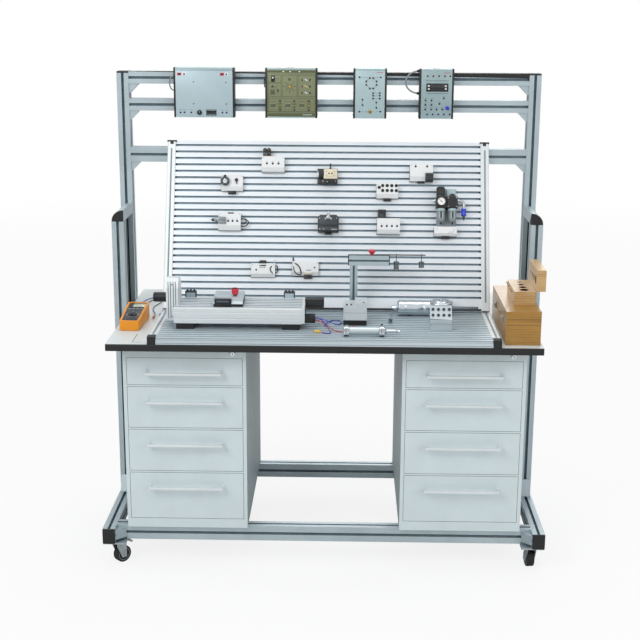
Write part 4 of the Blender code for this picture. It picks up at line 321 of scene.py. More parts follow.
finishes = {
    # extruded, bead-blasted and anodised aluminium of the frame, and a darker, duller copy of it that is painted shade
    # inside its slots
    "anodisedProfile": {"colour": "#B7C6CC", "metal": 0.55, "rough": 0.42, "shade": 0.12, "cloud": 160,
                        "grain": 0.8},
    "profileSlotShade": {"colour": "#7A8F9A", "metal": 0.3, "rough": 0.6, "shade": 0.25, "cloud": 40},
    "castBracket": {"colour": "#A9B6BB", "metal": 0.6, "rough": 0.5, "relief": 0.08, "grain": 1.8},
    # machined and anodised aluminium of plates, devices and rails
    "boardLand": {"colour": "#E6EDF2", "metal": 0.15, "rough": 0.4, "stretch": (30, 1, 1), "cloud": 30,
                  "grain": 0.9, "shade": 0.06},
    # the base plate's lands: the board's metal made darker, as painted shade for the light that grazes the flat plate
    "plateLandShaded": {"colour": "#C6D3D9", "metal": 0.4, "rough": 0.4, "stretch": (30, 1, 1), "cloud": 30,
                  "grain": 0.9, "shade": 0.08},
    # painted shade inside the slots of the plate, the board and the axis bed
    "plateSlotShade": {"colour": "#9DB2BF", "metal": 0.25, "rough": 0.6, "shade": 0.2, "cloud": 30},
    "plateStrip": {"colour": "#E3E9EB", "metal": 0.2, "rough": 0.4, "shade": 0.06},
    "brushedAluminium": {"colour": "#C9D4D8", "metal": 0.6, "rough": 0.35, "stretch": (20, 20, 1),
                         "grain": 0.7, "shade": 0.1, "cloud": 40},
    "bedAluminium": {"colour": "#E2E8EA", "metal": 0.3, "rough": 0.38, "stretch": (25, 1, 1),
                     "grain": 0.8, "shade": 0.1, "cloud": 25},
    "polishedSteel": {"colour": "#D5DADD", "metal": 1.0, "rough": 0.16, "shade": 0.1, "relief": 0.004},
    "chromePlate": {"colour": "#DCE0E3", "metal": 1.0, "rough": 0.1, "shade": 0.06, "relief": 0.003},
    "dullSteel": {"colour": "#6C757A", "metal": 0.9, "rough": 0.3, "shade": 0.15, "relief": 0.006},
    "tubeSteel": {"colour": "#CDD5DA", "metal": 1.0, "rough": 0.17, "shade": 0.12, "relief": 0.004},
    "silverPaint": {"colour": "#D3DBDD", "metal": 0.25, "rough": 0.38, "shade": 0.05},
    "zincPlate": {"colour": "#B5BCBF", "metal": 0.85, "rough": 0.34, "shade": 0.2, "cloud": 12, "grain": 2.5},
    # powder-coated sheet steel of the cabinets
    "paintPale": {"colour": "#D2DFE2", "rough": 0.48, "shade": 0.05, "grain": 1.1, "relief": 0.04},
    # the same coat, darker: painted shade for the cabinets' sides
    "sidePaintedShade": {"colour": "#9AA9AC", "rough": 0.5, "shade": 0.08, "grain": 1.1, "relief": 0.04},
    "trayZinc": {"colour": "#AEB7BA", "metal": 0.6, "rough": 0.45, "shade": 0.15, "cloud": 25},
    # melamine-faced board and its edge band
    "laminateTop": {"colour": "#DDE4E5", "rough": 0.42, "shade": 0.05, "cloud": 220, "grain": 0.6,
                    "speckle": 0.07},
    "edgeBand": {"colour": "#08090C", "rough": 0.5, "shade": 0.2},
    # moulded nylon and ABS
    "blackNylon": {"colour": "#07080B", "rough": 0.55, "shade": 0.25, "grain": 0.7, "relief": 0.04},
    "blackAbs": {"colour": "#0B0C0F", "rough": 0.42, "shade": 0.2, "grain": 0.6, "relief": 0.03},
    "pullNylon": {"colour": "#DCE3E5", "rough": 0.42, "shade": 0.05},
    # painted shade, laid on the cabinets' inner walls and the drawers' edges so the gaps read dark
    "seamShade": {"colour": "#3A4446", "rough": 0.6, "shade": 0.1},
    "darkGreyAbs": {"colour": "#33393E", "rough": 0.48, "shade": 0.15},
    "greyAbs": {"colour": "#8D979D", "rough": 0.48, "shade": 0.1},
    "whiteAbs": {"colour": "#ECEFF0", "rough": 0.4, "shade": 0.04, "grain": 0.7, "relief": 0.02},
    "greyBlueAbs": {"colour": "#A9BBC6", "rough": 0.42, "shade": 0.06},
    "creamAbs": {"colour": "#E8DFC6", "rough": 0.42, "shade": 0.06},
    "redAbs": {"colour": "#C8283C", "rough": 0.35, "shade": 0.15, "coat": 0.2},
    "blueAbs": {"colour": "#2038D0", "rough": 0.35, "shade": 0.15, "coat": 0.2},
    "yellowAbs": {"colour": "#E8C020", "rough": 0.35, "shade": 0.12, "coat": 0.2},
    "orangeAbs": {"colour": "#F09A1E", "rough": 0.45, "shade": 0.08, "grain": 0.6, "relief": 0.03},
    # lacquered instrument panels and their printing
    "panelBlue": {"colour": "#B3C8CF", "rough": 0.4, "shade": 0.05, "metal": 0.1},
    "panelOlive": {"colour": "#7F8564", "rough": 0.4, "shade": 0.06, "metal": 0.05},
    "panelPale": {"colour": "#AEC5C9", "rough": 0.4, "shade": 0.05, "metal": 0.1},
    "panelSteel": {"colour": "#98AFB2", "rough": 0.42, "shade": 0.05, "metal": 0.1},
    "oliveInk": {"colour": "#565C40", "rough": 0.5, "shade": 0.1},
    "slateInk": {"colour": "#4A5A66", "rough": 0.5, "shade": 0.1},
    "paleInk": {"colour": "#E6ECEE", "rough": 0.5, "shade": 0.05},
    # rubber, lead jackets and hoses
    "tyreRubber": {"colour": "#0E0F10", "rough": 0.75, "shade": 0.25, "grain": 0.8, "relief": 0.06},
    "wheelHub": {"colour": "#6C7378", "rough": 0.5, "shade": 0.15},
    "blackJacket": {"colour": "#0C0D10", "rough": 0.5, "shade": 0.2},
    "violetJacket": {"colour": "#5A3CA8", "rough": 0.42, "shade": 0.15, "coat": 0.2},
    "blueJacket": {"colour": "#2A48C8", "rough": 0.42, "shade": 0.15, "coat": 0.2},
    "redJacket": {"colour": "#C02834", "rough": 0.42, "shade": 0.15, "coat": 0.2},
    # smoked and clear acrylic, glass and lenses
    "smokedAcrylic": {"colour": "#2C383C", "rough": 0.16, "shade": 0.12, "clear": 0.45, "relief": 0.0},
    "greyBowl": {"colour": "#A5B0B6", "rough": 0.2, "shade": 0.1, "clear": 0.3, "relief": 0.0},
    "darkGlass": {"colour": "#14181C", "rough": 0.12, "shade": 0.2, "coat": 0.6, "relief": 0.0},
    "paleDisplay": {"colour": "#BFCAB6", "rough": 0.2, "shade": 0.08, "coat": 0.4, "relief": 0.0},
    "brightLens": {"colour": "#E8F2F6", "rough": 0.12, "shade": 0.1, "coat": 0.6, "relief": 0.0},
    "redLens": {"colour": "#B8323C", "rough": 0.18, "shade": 0.2, "coat": 0.5, "relief": 0.0},
    "amberLens": {"colour": "#D8A028", "rough": 0.2, "shade": 0.2, "coat": 0.5, "relief": 0.0},
    "dialPaper": {"colour": "#F2F2EC", "rough": 0.6, "shade": 0.04},
    # varnished beech of the two cases: grain along the depth
    "amberWood": {"colour": "#AC8036", "second": "#8C6522", "rough": 0.36, "stretch": (6, 14, 1), "cloud": 30,
                  "grain": 1.6, "rings": 9, "speckle": 0.12, "coat": 0.3},
    "paleWood": {"colour": "#CBA976", "second": "#AE8650", "rough": 0.4, "stretch": (6, 14, 1), "cloud": 26,
                 "grain": 1.5, "rings": 8, "speckle": 0.1, "coat": 0.25},
    "darkWood": {"colour": "#6E4A26", "second": "#553618", "rough": 0.45, "stretch": (1, 14, 1), "cloud": 26,
                 "grain": 1.5, "rings": 8, "speckle": 0.1},
    "brass": {"colour": "#D2AE5A", "metal": 1.0, "rough": 0.22, "shade": 0.12},
    "copperWire": {"colour": "#B8763F", "metal": 1.0, "rough": 0.35, "shade": 0.15},
}
made = {name: makeFinish(name, look) for name, look in finishes.items()}
print("materials made:", len(made))


def smoothed(mesh, angle=38):
    mesh.polygons.foreach_set("use_smooth", np.ones(len(mesh.polygons), bool))
    mesh.set_sharp_from_angle(angle=math.radians(angle))


def makePiece(name, body, parts, replaces=()):
    # parts: (shape, finish name) pairs; the shapes are written in millimetres
    mesh = bpy.data.meshes.new(name)
    used = sorted({finish for shape, finish in parts})
    owners = []
    for shape, finish in parts:
        owners += [used.index(finish)] * len(shape[1])
    points, faces = joined(*[shape for shape, finish in parts])
    mesh.from_pydata(points * mm, [], faces)
    mesh.polygons.foreach_set("material_index", owners)
    for finish in used:
        mesh.materials.append(made[finish])
    work = bmesh.new()
    work.from_mesh(mesh)
    bmesh.ops.recalc_face_normals(work, faces=work.faces)
    work.to_mesh(mesh)
    work.free()
    smoothed(mesh)
    piece = bpy.data.objects.new(name, mesh)
    bpy.context.scene.collection.objects.link(piece)
    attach(piece, body)
    if replaces:
        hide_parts(*replaces)
    return piece


# Carried-over CAD nodes: their faces are sorted by place and direction

def faceData(name):
    mesh = nodes[name].data
    count = len(mesh.polygons)
    centre = np.empty(count * 3)
    normal = np.empty(count * 3)
    mesh.polygons.foreach_get("center", centre)
    mesh.polygons.foreach_get("normal", normal)
    return centre.reshape(-1, 3) / mm, normal.reshape(-1, 3)


def recessed(name, reach):
    # a face is in a slot if a wall stands within reach in front of it, or on both sides of it
    mesh = nodes[name].data
    tree = BVHTree.FromPolygons([v.co for v in mesh.vertices], [p.vertices for p in mesh.polygons])
    found = []
    for face in mesh.polygons:
        start = face.center + face.normal * 0.4 * mm
        ahead = tree.ray_cast(start, face.normal, reach * mm)[0]
        inside = ahead is not None
        side = face.normal.orthogonal().normalized()
        for turn in range(4):
            if inside:
                break
            way = Matrix.Rotation(turn * math.pi / 4, 3, face.normal) @ side
            inside = all(tree.ray_cast(start, w, reach * mm)[0] is not None for w in (way, -way))
        found.append(inside)
    return np.array(found)


def paint(name, base, *rules):
    # rules: (finish name, which faces); a later rule paints over an earlier one
    mesh = nodes[name].data
    mesh.materials.clear()
    index = np.zeros(len(mesh.polygons), int)
    mesh.materials.append(made[base])
    for number, (finish, chosen) in enumerate(rules, 1):
        mesh.materials.append(made[finish])
        index[chosen] = number
    mesh.polygons.foreach_set("material_index", index)
    smoothed(mesh, 32)


# The frame: profiles with painted shade in their slots, and black end caps

slotReach = 13
footBeam = {"front": -370.6, "back": 389.6, "low": 93, "high": 149}
tallPost = {"capFrom": 1730.4}


def paintFrames():
    c, n = faceData("lower_frame")
    side = np.abs(c[:, 0]) > 749.5
    cap = side & ((c[:, 1] < footBeam["front"]) | (c[:, 1] > footBeam["back"])) & (c[:, 2] < footBeam["high"])
    cap = cap & (c[:, 2] > footBeam["low"])
    cast = ~cap & (np.abs(n).max(1) < 0.98) & (c[:, 2] < 212) & (c[:, 2] > 93)
    # faces inside the slots get profileSlotShade, painted shade
    paint("lower_frame", "anodisedProfile", ("profileSlotShade", recessed("lower_frame", slotReach)),
          ("castBracket", cast), ("blackNylon", cap | ((c[:, 1] < 66) & (c[:, 2] > 1201))),
          ("zincPlate", c[:, 2] < 93))
    c, n = faceData("rear_frame")
    # painted shade in the slots, left off the faces that look up
    paint("rear_frame", "anodisedProfile", ("profileSlotShade", recessed("rear_frame", slotReach) & (n[:, 2] < 0.5)),
          ("blackNylon", c[:, 2] > tallPost["capFrom"]))
    for side in ("left", "right"):
        paint("side_panel_" + side, "smokedAcrylic")


paintFrames()

# Casters: forks of pressed steel

casters = ("front_left", "front_right", "rear_left", "rear_right")
for corner in casters:
    paint("fork_" + corner, "zincPlate")

# Cabinets and drawers: coated sheet steel with bright bow handles; painted shade on the cabinets' sides and in the gaps
# round the drawers

cabinet = {"front": -347, "back": 353, "inner": 273, "outer": 706, "lock": (47, 802.2)}


def paintCabinets():
    for hand, side in (("left", -1), ("right", 1)):
        name = "cabinet_" + hand
        c, n = faceData(name)
        # the outer sides get a darker copy of the coat, painted shade
        outside = np.abs(np.abs(c[:, 0]) - (cabinet["inner"] + cabinet["outer"]) / 2) > 216
        # painted shade for the gaps round the drawers, on every face behind the front within the opening's width, the
        # backs included
        seam = ~outside & (c[:, 1] > cabinet["front"] + 0.5)
        paint(name, "paintPale", ("sidePaintedShade", outside & (np.abs(n[:, 0]) > 0.9)), ("seamShade", seam),
              ("chromePlate", c[:, 1] < cabinet["front"] - 0.3))
        for number in range(1, 5):
            name = f"drawer_{hand}_{number}"
            c, n = faceData(name)
            # painted shade on the edges of each drawer front
            edge = (c[:, 1] > cabinet["front"] + 0.2) & (c[:, 1] < cabinet["front"] + 16.2) & (np.abs(n[:, 1]) < 0.5)
            paint(name, "paintPale", ("trayZinc", c[:, 1] > cabinet["front"] + 16.2), ("seamShade", edge),
                  ("pullNylon", c[:, 1] < cabinet["front"] - 0.3))


paintCabinets()


def paintWorktop():
    c, n = faceData("worktop")
    paint("worktop", "laminateTop", ("edgeBand", (np.abs(c[:, 1]) > 420) | (np.abs(n[:, 0]) > 0.9)
                                    | (c[:, 2] < 853.5)))


paintWorktop()

# Slotted plates: pale lands, painted shade in the slots, pale strips along both ends

plate = {"half": 576, "front": -423, "cap": 30}


def paintPlates():
    c, n = faceData("base_plate")
    strip = np.abs(c[:, 0]) > plate["half"]
    cap = strip & (c[:, 1] < plate["front"] + plate["cap"] + 1)
    # the plate's lands are a darker copy of the board's, painted shade; its slots get painted shade
    paint("base_plate", "plateLandShaded", ("plateSlotShade", recessed("base_plate", 16)), ("plateStrip", strip),
          ("blackNylon", cap))
    c, n = faceData("slot_board")
    strip = np.abs(c[:, 0]) > plate["half"]
    low = c[:, 2] < 915
    # painted shade inside the board's slots
    paint("slot_board", "boardLand", ("plateSlotShade", recessed("slot_board", 16)), ("plateStrip", strip),
          ("blackNylon", strip & low))


paintPlates()
print("frame, cabinets and plates finished")

# Linear axis: bed, end plate, two motors, two sensors; the carriage with its clamp screw

axis = {"left": -529, "right": -80, "front": -303, "back": -133, "low": 899.6, "top": 954.6}
carriage = {"left": -391.5, "right": -288.5, "top": 987}


def paintAxis():
    c, n = faceData("axis_bed")
    foot = c[:, 2] < axis["low"] + 0.5
    leftMotor = (c[:, 0] < -559.2)
    rightMotor = (c[:, 0] > axis["right"] + 9.5)
    sensors = (c[:, 1] > axis["back"] - 2.5) & (c[:, 0] < -100) & (c[:, 2] > 940) & (c[:, 0] > -520)
    upright = (c[:, 0] > -559.2) & (c[:, 0] < -516.5) & (c[:, 2] > axis["top"] - 45)
    bed = ~(foot | leftMotor | rightMotor | sensors | upright)
    # painted shade inside the bed's slots
    paint("axis_bed", "bedAluminium", ("plateSlotShade", recessed("axis_bed", 8) & bed), ("plateStrip", upright),
          ("darkGreyAbs", sensors), ("blackAbs", leftMotor | rightMotor | foot))
    c, n = faceData("axis_carriage")
    knob = (c[:, 2] > carriage["top"])
    band = (c[:, 2] < 968.2) & (np.abs(n[:, 2]) < 0.5)
    paint("axis_carriage", "brushedAluminium", ("blackAbs", band), ("redAbs", knob))


paintAxis()


def paintDevices():
    c, n = faceData("beam_stand")
    knob = (c[:, 2] > 1104.8) & (c[:, 0] < 180) & (c[:, 0] > 152)
    beam = (c[:, 2] > 1104.3) & ~knob
    cap = ((c[:, 0] < 83.5) | (c[:, 0] > 227.5)) & (c[:, 2] > 1060) & ~beam
    # painted shade inside the stand's slots
    paint("beam_stand", "anodisedProfile", ("profileSlotShade", recessed("beam_stand", 9)), ("dullSteel", beam),
          ("blackNylon", cap), ("redAbs", knob))
    c, n = faceData("amplifier_box")
    paint("amplifier_box", "silverPaint", ("blackAbs", c[:, 2] < 899.8),
          ("darkGreyAbs", (n[:, 2] < 0.5) & (c[:, 2] > 952) & (c[:, 1] < -222) & (c[:, 1] > -233.5)))
    c, n = faceData("valve_manifold")
    stand = (c[:, 1] + 291) * -0.8762 + (c[:, 2] - 921.6) * 0.4819
    paint("valve_manifold", "brushedAluminium", ("darkGreyAbs", stand > 0.3))
    c, n = faceData("wood_cases")
    large = (c[:, 2] < 972) | ((c[:, 0] < 659) & (n[:, 2] > 0.9))
    wells = (c[:, 2] < 1017.9) & (c[:, 0] > 661) & (c[:, 0] < 735.5) & (c[:, 1] > -278) & (c[:, 1] < -84)
    wells = wells & (c[:, 2] > 975)
    clasp = c[:, 0] < 621.9
    paint("wood_cases", "paleWood", ("amberWood", large | (c[:, 2] < 972.6)), ("darkWood", wells),
          ("darkWood", (c[:, 2] > 921) & (c[:, 2] < 927) & (np.abs(n[:, 2]) > 0.1) & (np.abs(n[:, 2]) < 0.95)),
          ("zincPlate", clasp))
    c, n = faceData("case_lid")
    paint("case_lid", "paleWood", ("darkWood", (c[:, 0] > 736.6) & (c[:, 0] < 767.5) & (c[:, 2] > 1020)
                                  & (c[:, 2] < 1093) & (c[:, 1] > -278) & (c[:, 1] < -84)))


paintDevices()


paint("power_rocker", "blackAbs")
print("carried-over devices painted")


# Small parts that many devices share

def collar(centre, axis=(0, -1, 0), radius=3.4, reach=1.8, hole=0.56, finish="blackAbs"):
    # plug socket: a low coloured flange, and in it a dark rounded ring with a blind hole
    inner = radius * hole
    wall = radius * 0.84
    flange = [(0, 0.2), (wall, 0.2), (wall, 0.7), (radius - 0.3, 0.7), (radius, 0.4), (radius, -0.8), (0, -0.8)]
    ring = [(0, 0.35), (inner, 0.35), (inner, reach * 0.85), (inner + 0.3, reach), (wall - 0.3, reach),
            (wall, reach * 0.7), (wall, 0), (0, 0)]
    hollow = [(0, 0.3), (inner * 0.96, 0.3), (inner * 0.96, 0.5), (0, 0.55)]
    return [(turnedProfile(flange, centre, axis, 18), finish),
            (turnedProfile(ring, centre, axis, 18), "blackAbs"),
            (turnedProfile(hollow, centre, axis, 18), "darkGlass")]


def screwHead(centre, axis=(0, -1, 0), radius=2.2, finish="zincPlate"):
    # pan head with a dark recess
    head = [(0, radius * 0.55), (radius * 0.5, radius * 0.5), (radius * 0.9, radius * 0.25), (radius, 0),
            (radius, -0.6), (0, -0.6)]
    dot = [(0, radius * 0.62), (radius * 0.32, radius * 0.6), (radius * 0.32, radius * 0.3), (0, radius * 0.3)]
    return [(turnedProfile(head, centre, axis, 14), finish), (turnedProfile(dot, centre, axis, 6), "blackAbs")]


def stroke(points, wide, low, high):
    # printed line: one thin bar between each point and the next, in the X-Z plane
    bars = []
    for (x0, z0), (x1, z1) in zip(points, points[1:]):
        length = math.hypot(x1 - x0, z1 - z0)
        ax, az = (x1 - x0) / length * wide / 2, (z1 - z0) / length * wide / 2
        outline = [(x0 - ax - az, z0 - az + ax), (x0 - ax + az, z0 - az - ax), (x1 + ax + az, z1 + az - ax),
                   (x1 + ax - az, z1 + az + ax)]
        bars.append(extruded(outline, 1, low, high))
    return joined(*bars)


def boxLine(left, low, right, high):
    return [(left, low), (right, low), (right, high), (left, high), (left, low)]


def hexNut(radius, low, high, centre, axis):
    return turnedProfile(softened([(0, low), (radius, low), (radius, high), (0, high)], 0.6, 2), centre, axis, 6)


# Instruments hung on the top rail: folded sheet shell, coloured front panel, dark side plates

hanging = {"face": 175.0, "bottom": 1572.0, "top": 1755.0, "back": 219.7, "hookTop": 1743.3,
           "hookBack": 271.3, "hookEnd": 1711, "wall": 6, "sidePlate": 7, "print": 174.02}


def hungShell(middle, width, face, shell, lip):
    h = hanging
    left, right = middle - width / 2, middle + width / 2
    side = h["sidePlate"]
    outline = [(h["face"], h["bottom"]), (h["face"], h["top"] - 3), (h["face"] + 3, h["top"] - 0.2),
               (h["back"], h["top"] - 0.2), (h["back"], h["hookTop"]), (h["hookBack"], h["hookTop"]),
               (h["hookBack"], h["hookEnd"]), (h["hookBack"] - h["wall"], h["hookEnd"]),
               (h["hookBack"] - h["wall"], h["hookTop"] - h["wall"]), (h["back"], h["hookTop"] - h["wall"]),
               (h["back"], h["bottom"])]
    parts = [(extruded(outline, 0, left + side, right - side), shell)]
    parts.append((roundedBlock((left + side + 0.4, h["face"] - 0.9, h["bottom"] + 5),
                               (right - side - 0.4, h["face"] + 1, h["top"] - 7), 0.4), face))
    parts.append((roundedBlock((left + side, h["face"] - 1.1, h["bottom"] + 0.2),
                               (right - side, h["face"] + 1, h["bottom"] + 4.2), 0.5), lip))
    parts.append((roundedBlock((left + side, h["face"] - 1.1, h["top"] - 6.2),
                               (right - side, h["face"] + 3, h["top"] - 0.4), 0.9), lip))
    for x in (left, right - side):
        parts.append((roundedBlock((x, h["face"] - 1.3, h["bottom"] - 0.6),
                                   (x + side, h["back"] - 0.6, h["top"] + 0.3), 2.2, 3, 0), "blackAbs"))
    for x, out in ((left, -1), (right, 1)):
        for y, z in ((186, 12), (208, 12), (186, 170), (208, 170)):
            parts += screwHead((x, y, h["bottom"] + z), (out, 0, 0), 2.4)
    for row in range(6):
        z = h["bottom"] + 60 + row * 8
        parts.append((roundedBlock((middle - width * 0.3, h["back"] - 0.6, z),
                                   (middle + width * 0.3, h["back"] + 0.4, z + 3), 0.4), "darkGreyAbs"))
    return parts


def frontSockets(rows):
    parts = []
    for x, z, finish in rows:
        parts += collar((x, hanging["face"] - 0.9, hanging["bottom"] + z), finish=finish)
    return parts


def printed(points, wide, finish):
    base = hanging["bottom"]
    return (stroke([(x, base + z) for x, z in points], wide, hanging["print"] - 0.25, hanging["face"] - 0.8), finish)


def patch(left, low, right, high, finish, out=0.5):
    base = hanging["bottom"]
    return (roundedBlock((left, hanging["face"] - 0.9 - out, base + low),
                         (right, hanging["face"] - 0.6, base + high), min(out * 0.6, 0.8)), finish)


powerUnit = {
    "middle": -461.5, "width": 227,
    "sockets": [(-553, 158.7, "blackAbs"), (-535, 159, "redAbs"), (-394, 159, "blackAbs"),
                (-378, 159, "redAbs"), (-551, 18, "blueAbs"), (-536, 18, "blueAbs"), (-511, 18, "darkGreyAbs"),
                (-394, 18, "blueAbs"), (-378.6, 18, "blueAbs")],
    "halos": [(-560.5, -545.5, "redAbs"), (-541.5, -528, "paleInk"), (-401.5, -386.5, "redAbs"),
              (-385, -370.5, "paleInk")],
    "screws": [(-500.5, 130.6), (-379.6, 129.4), (-501, 50), (-379.5, 50)],
    "knob": (-480, 18, 8), "rocker": (-435.5, 18, 38, 22), "cable": (-575, 97, 151, 18, 2.4),
}


def buildPowerUnit(look):
    face, base = hanging["face"], hanging["bottom"]
    parts = hungShell(look["middle"], look["width"], "panelBlue", "panelPale", "panelPale")
    for left, right, finish in look["halos"]:
        parts.append(patch(left, 154, right, 164, finish, 0.3))
    parts += frontSockets(look["sockets"])
    for x, z in look["screws"]:
        parts += screwHead((x, face - 0.9, base + z), (0, -1, 0), 2.3, "darkGreyAbs")
    x, z, radius = look["knob"]
    centre = (x, face - 0.9, base + z)
    parts.append((fluted(radius, 0.7, 14, 0, 9, centre, (0, -1, 0)), "blackAbs"))
    parts.append((turnedProfile([(0, 0.4), (radius + 1.4, 0.4), (radius + 1.4, -0.3), (0, -0.3)], centre,
                                (0, -1, 0), 28), "darkGreyAbs"))
    parts.append((roundedBlock((x - 0.5, face - 10.3, base + z), (x + 0.5, face - 9.6, base + z + 6), 0.2),
                  "paleInk"))
    x, z, wide, high = look["rocker"]
    for low, top in (((x - wide / 2, z - high / 2), (x + wide / 2, z - 9.4)),
                     ((x - wide / 2, z + 9.4), (x + wide / 2, z + high / 2)),
                     ((x - wide / 2, z - 10), (x - 16, z + 10)), ((x + 16, z - 10), (x + wide / 2, z + 10))):
        parts.append(patch(low[0], low[1], top[0], top[1], "blackAbs", 1.4))
    parts.append(printed([(-566, 173), (-357, 173)], 0.9, "slateInk"))
    for left, right in ((-558, -544), (-542, -528), (-518, -504), (-399, -389), (-384, -372)):
        parts.append(printed([(left, 27.5), (right, 27.5)], 0.8, "slateInk"))
    x, low, high, bow, radius = look["cable"]
    a = np.linspace(0, math.pi, 15)
    line = np.column_stack([x - bow * np.sin(a), np.full(15, 197.5), base + (low + high) / 2
                            - (high - low) / 2 * np.cos(a)])
    line = np.vstack([line[0] + (5, 0, 0), line, line[-1] + (5, 0, 0)])
    parts.append((tubeAlong(line, radius, 12), "greyAbs"))
    return makePiece("powerUnit", "bench", parts, ["power_unit"])


processUnit = {
    "middle": -137, "width": 194,
    "boxes": [(-225, 22, -46, 162), (-221, 131, -175, 156), (-221, 79, -175, 127.6), (-170, 79.4, -115.5, 156),
              (-111.5, 80, -48, 156.7), (-221.6, 24, -48, 72.8)],
    "chips": [(-204.8, 46), (-150, 46), (-97.3, 46.5)],
    "lights": [(-178.5, "darkGreyAbs"), (-125.6, "redAbs"), (-71.1, "darkGreyAbs")],
    "pairs": [(-95.8, "redAbs"), (-67.7, "blackAbs")], "levels": (140, 116, 92.4),
}


def buildProcessUnit(look):
    face, base = hanging["face"], hanging["bottom"]
    parts = hungShell(look["middle"], look["width"], "panelOlive", "panelOlive", "panelPale")
    parts.append(patch(-229, 166.5, -45, 174, "oliveInk", 0.2))
    parts.append(patch(-229, 6, -45, 18, "oliveInk", 0.2))
    parts.append((roundedBlock((-156, 190, base + 180), (-128, 206, base + 183.2), 1), "blackAbs"))
    for x in (-166, -141, -107):
        parts.append(patch(x - 3, 168.5, x + 3, 172, "paleInk", 0.4))
    for box in look["boxes"]:
        parts.append(printed(boxLine(*box), 1.3, "oliveInk"))
    for x, finish in look["pairs"]:
        for z in look["levels"]:
            parts += frontSockets([(x, z, finish)])
    for z in look["levels"]:
        parts.append(printed([(-92, z), (-84, z + 5), (-80, z - 4), (-72, z)], 1.2, "paleInk"))
        parts += [(turnedProfile([(0, 1.2), (2.6, 1.2), (3, 0), (0, 0)], (-81.8, face - 0.9, base + z),
                                 (0, -1, 0), 14), "yellowAbs" if z == 116 else "paleInk")]
    # switch with its rocker
    parts.append(patch(-211.5, 133, -198.5, 155, "blackAbs", 3.2))
    parts.append((turnedProfile([(0, 1), (3, 1), (3.4, 0), (0, 0)], (-205, face - 4, base + 148), (0, -1, 0), 14),
                  "paleInk"))
    parts.append(printed([(-195, 144), (-181, 144)], 1.2, "oliveInk"))
    # coil, armature and lamp symbols
    parts.append(printed(boxLine(-214, 86, -199, 104), 1.3, "oliveInk"))
    parts.append(printed([(-214, 112), (-204, 121), (-196, 112), (-186, 121)], 1.2, "oliveInk"))
    parts.append(printed([(-199, 92), (-186, 92), (-186, 106), (-196, 106)], 1.2, "oliveInk"))
    parts.append(patch(-213, 88, -200.5, 102, "oliveInk", 0.3))
    parts += frontSockets([(-207, 115, "blackAbs"), (-186, 100, "blackAbs")])
    middle = (-143, 116)
    parts.append(printed(boxLine(middle[0] - 6, middle[1] - 6, middle[0] + 6, middle[1] + 6), 1.4, "oliveInk"))
    parts.append(patch(middle[0] - 3.5, middle[1] - 3.5, middle[0] + 3.5, middle[1] + 3.5, "amberLens", 0.9))
    for turn in range(8):
        a = math.radians(22.5 + turn * 45 - 22.5)
        if turn == 2:
            continue
        points = [(middle[0] + r * math.cos(a), middle[1] + r * math.sin(a)) for r in (10, 23)]
        parts.append(printed(points, 1.8, "oliveInk"))
    parts.append((turnedProfile([(0, 0.5), (5.5, 0.5), (5.5, 0), (0, 0)], (-143.5, face - 0.9, base + 142),
                                (0, -1, 0), 20), "oliveInk"))
    for x, z in look["chips"]:
        parts.append(patch(x - 9, z - 5.5, x + 9, z + 5.5, "oliveInk", 1.6))
        for pin in range(4):
            for row in (-7, 7):
                parts.append(patch(x - 7.5 + pin * 4.6, z + row - 1.2, x - 5.9 + pin * 4.6, z + row + 1.2,
                                   "zincPlate", 0.6))
        parts.append(printed([(x - 10, z + 13.5), (x + 10, z + 13.5)], 1.2, "oliveInk"))
        parts.append(printed([(x - 12, z - 16), (x + 14, z - 16)], 0.9, "oliveInk"))
    for x, top in look["lights"]:
        for z, finish in ((63, top), (52, "yellowAbs"), (40, "yellowAbs"), (29.5, "darkGreyAbs")):
            parts += frontSockets([(x, z, finish)])
            parts.append(printed([(x - 9, z), (x - 4, z)], 0.9, "oliveInk"))
        parts.append(printed(boxLine(x - 6, 34, x + 6, 58), 0.7, "oliveInk"))
    parts.append(printed([(-92, 12), (-60, 12)], 1.6, "paleInk"))
    handle = [(-234.5, 192, base + 112), (-237.5, 192, base + 116), (-237.5, 192, base + 138),
              (-234.5, 192, base + 142)]
    parts.append((tubeAlong(smoothCurve(handle, 4), 1.8, 10), "blackAbs"))
    return makePiece("processUnit", "bench", parts, ["process_unit"])


bridgeUnit = {
    "middle": 155.5, "width": 124,
    "black": [(116, 151.3), (154, 148.4), (166.7, 148.4), (141.4, 136.1), (179.6, 136.3), (141.6, 123.2),
              (179.8, 123.4), (154.5, 110.4), (167.3, 110.5), (167, 93.5), (191.8, 93.6), (167, 84),
              (191.9, 84.2), (167.2, 73.3), (192, 73.5), (179.6, 59.2), (179.9, 39.2), (128, 68.9),
              (128.2, 49.3)],
    "red": [(194.6, 151.7)], "blue": [(116.7, 25.2), (195, 25.7)], "knob": (155.8, 24.8, 7),
}


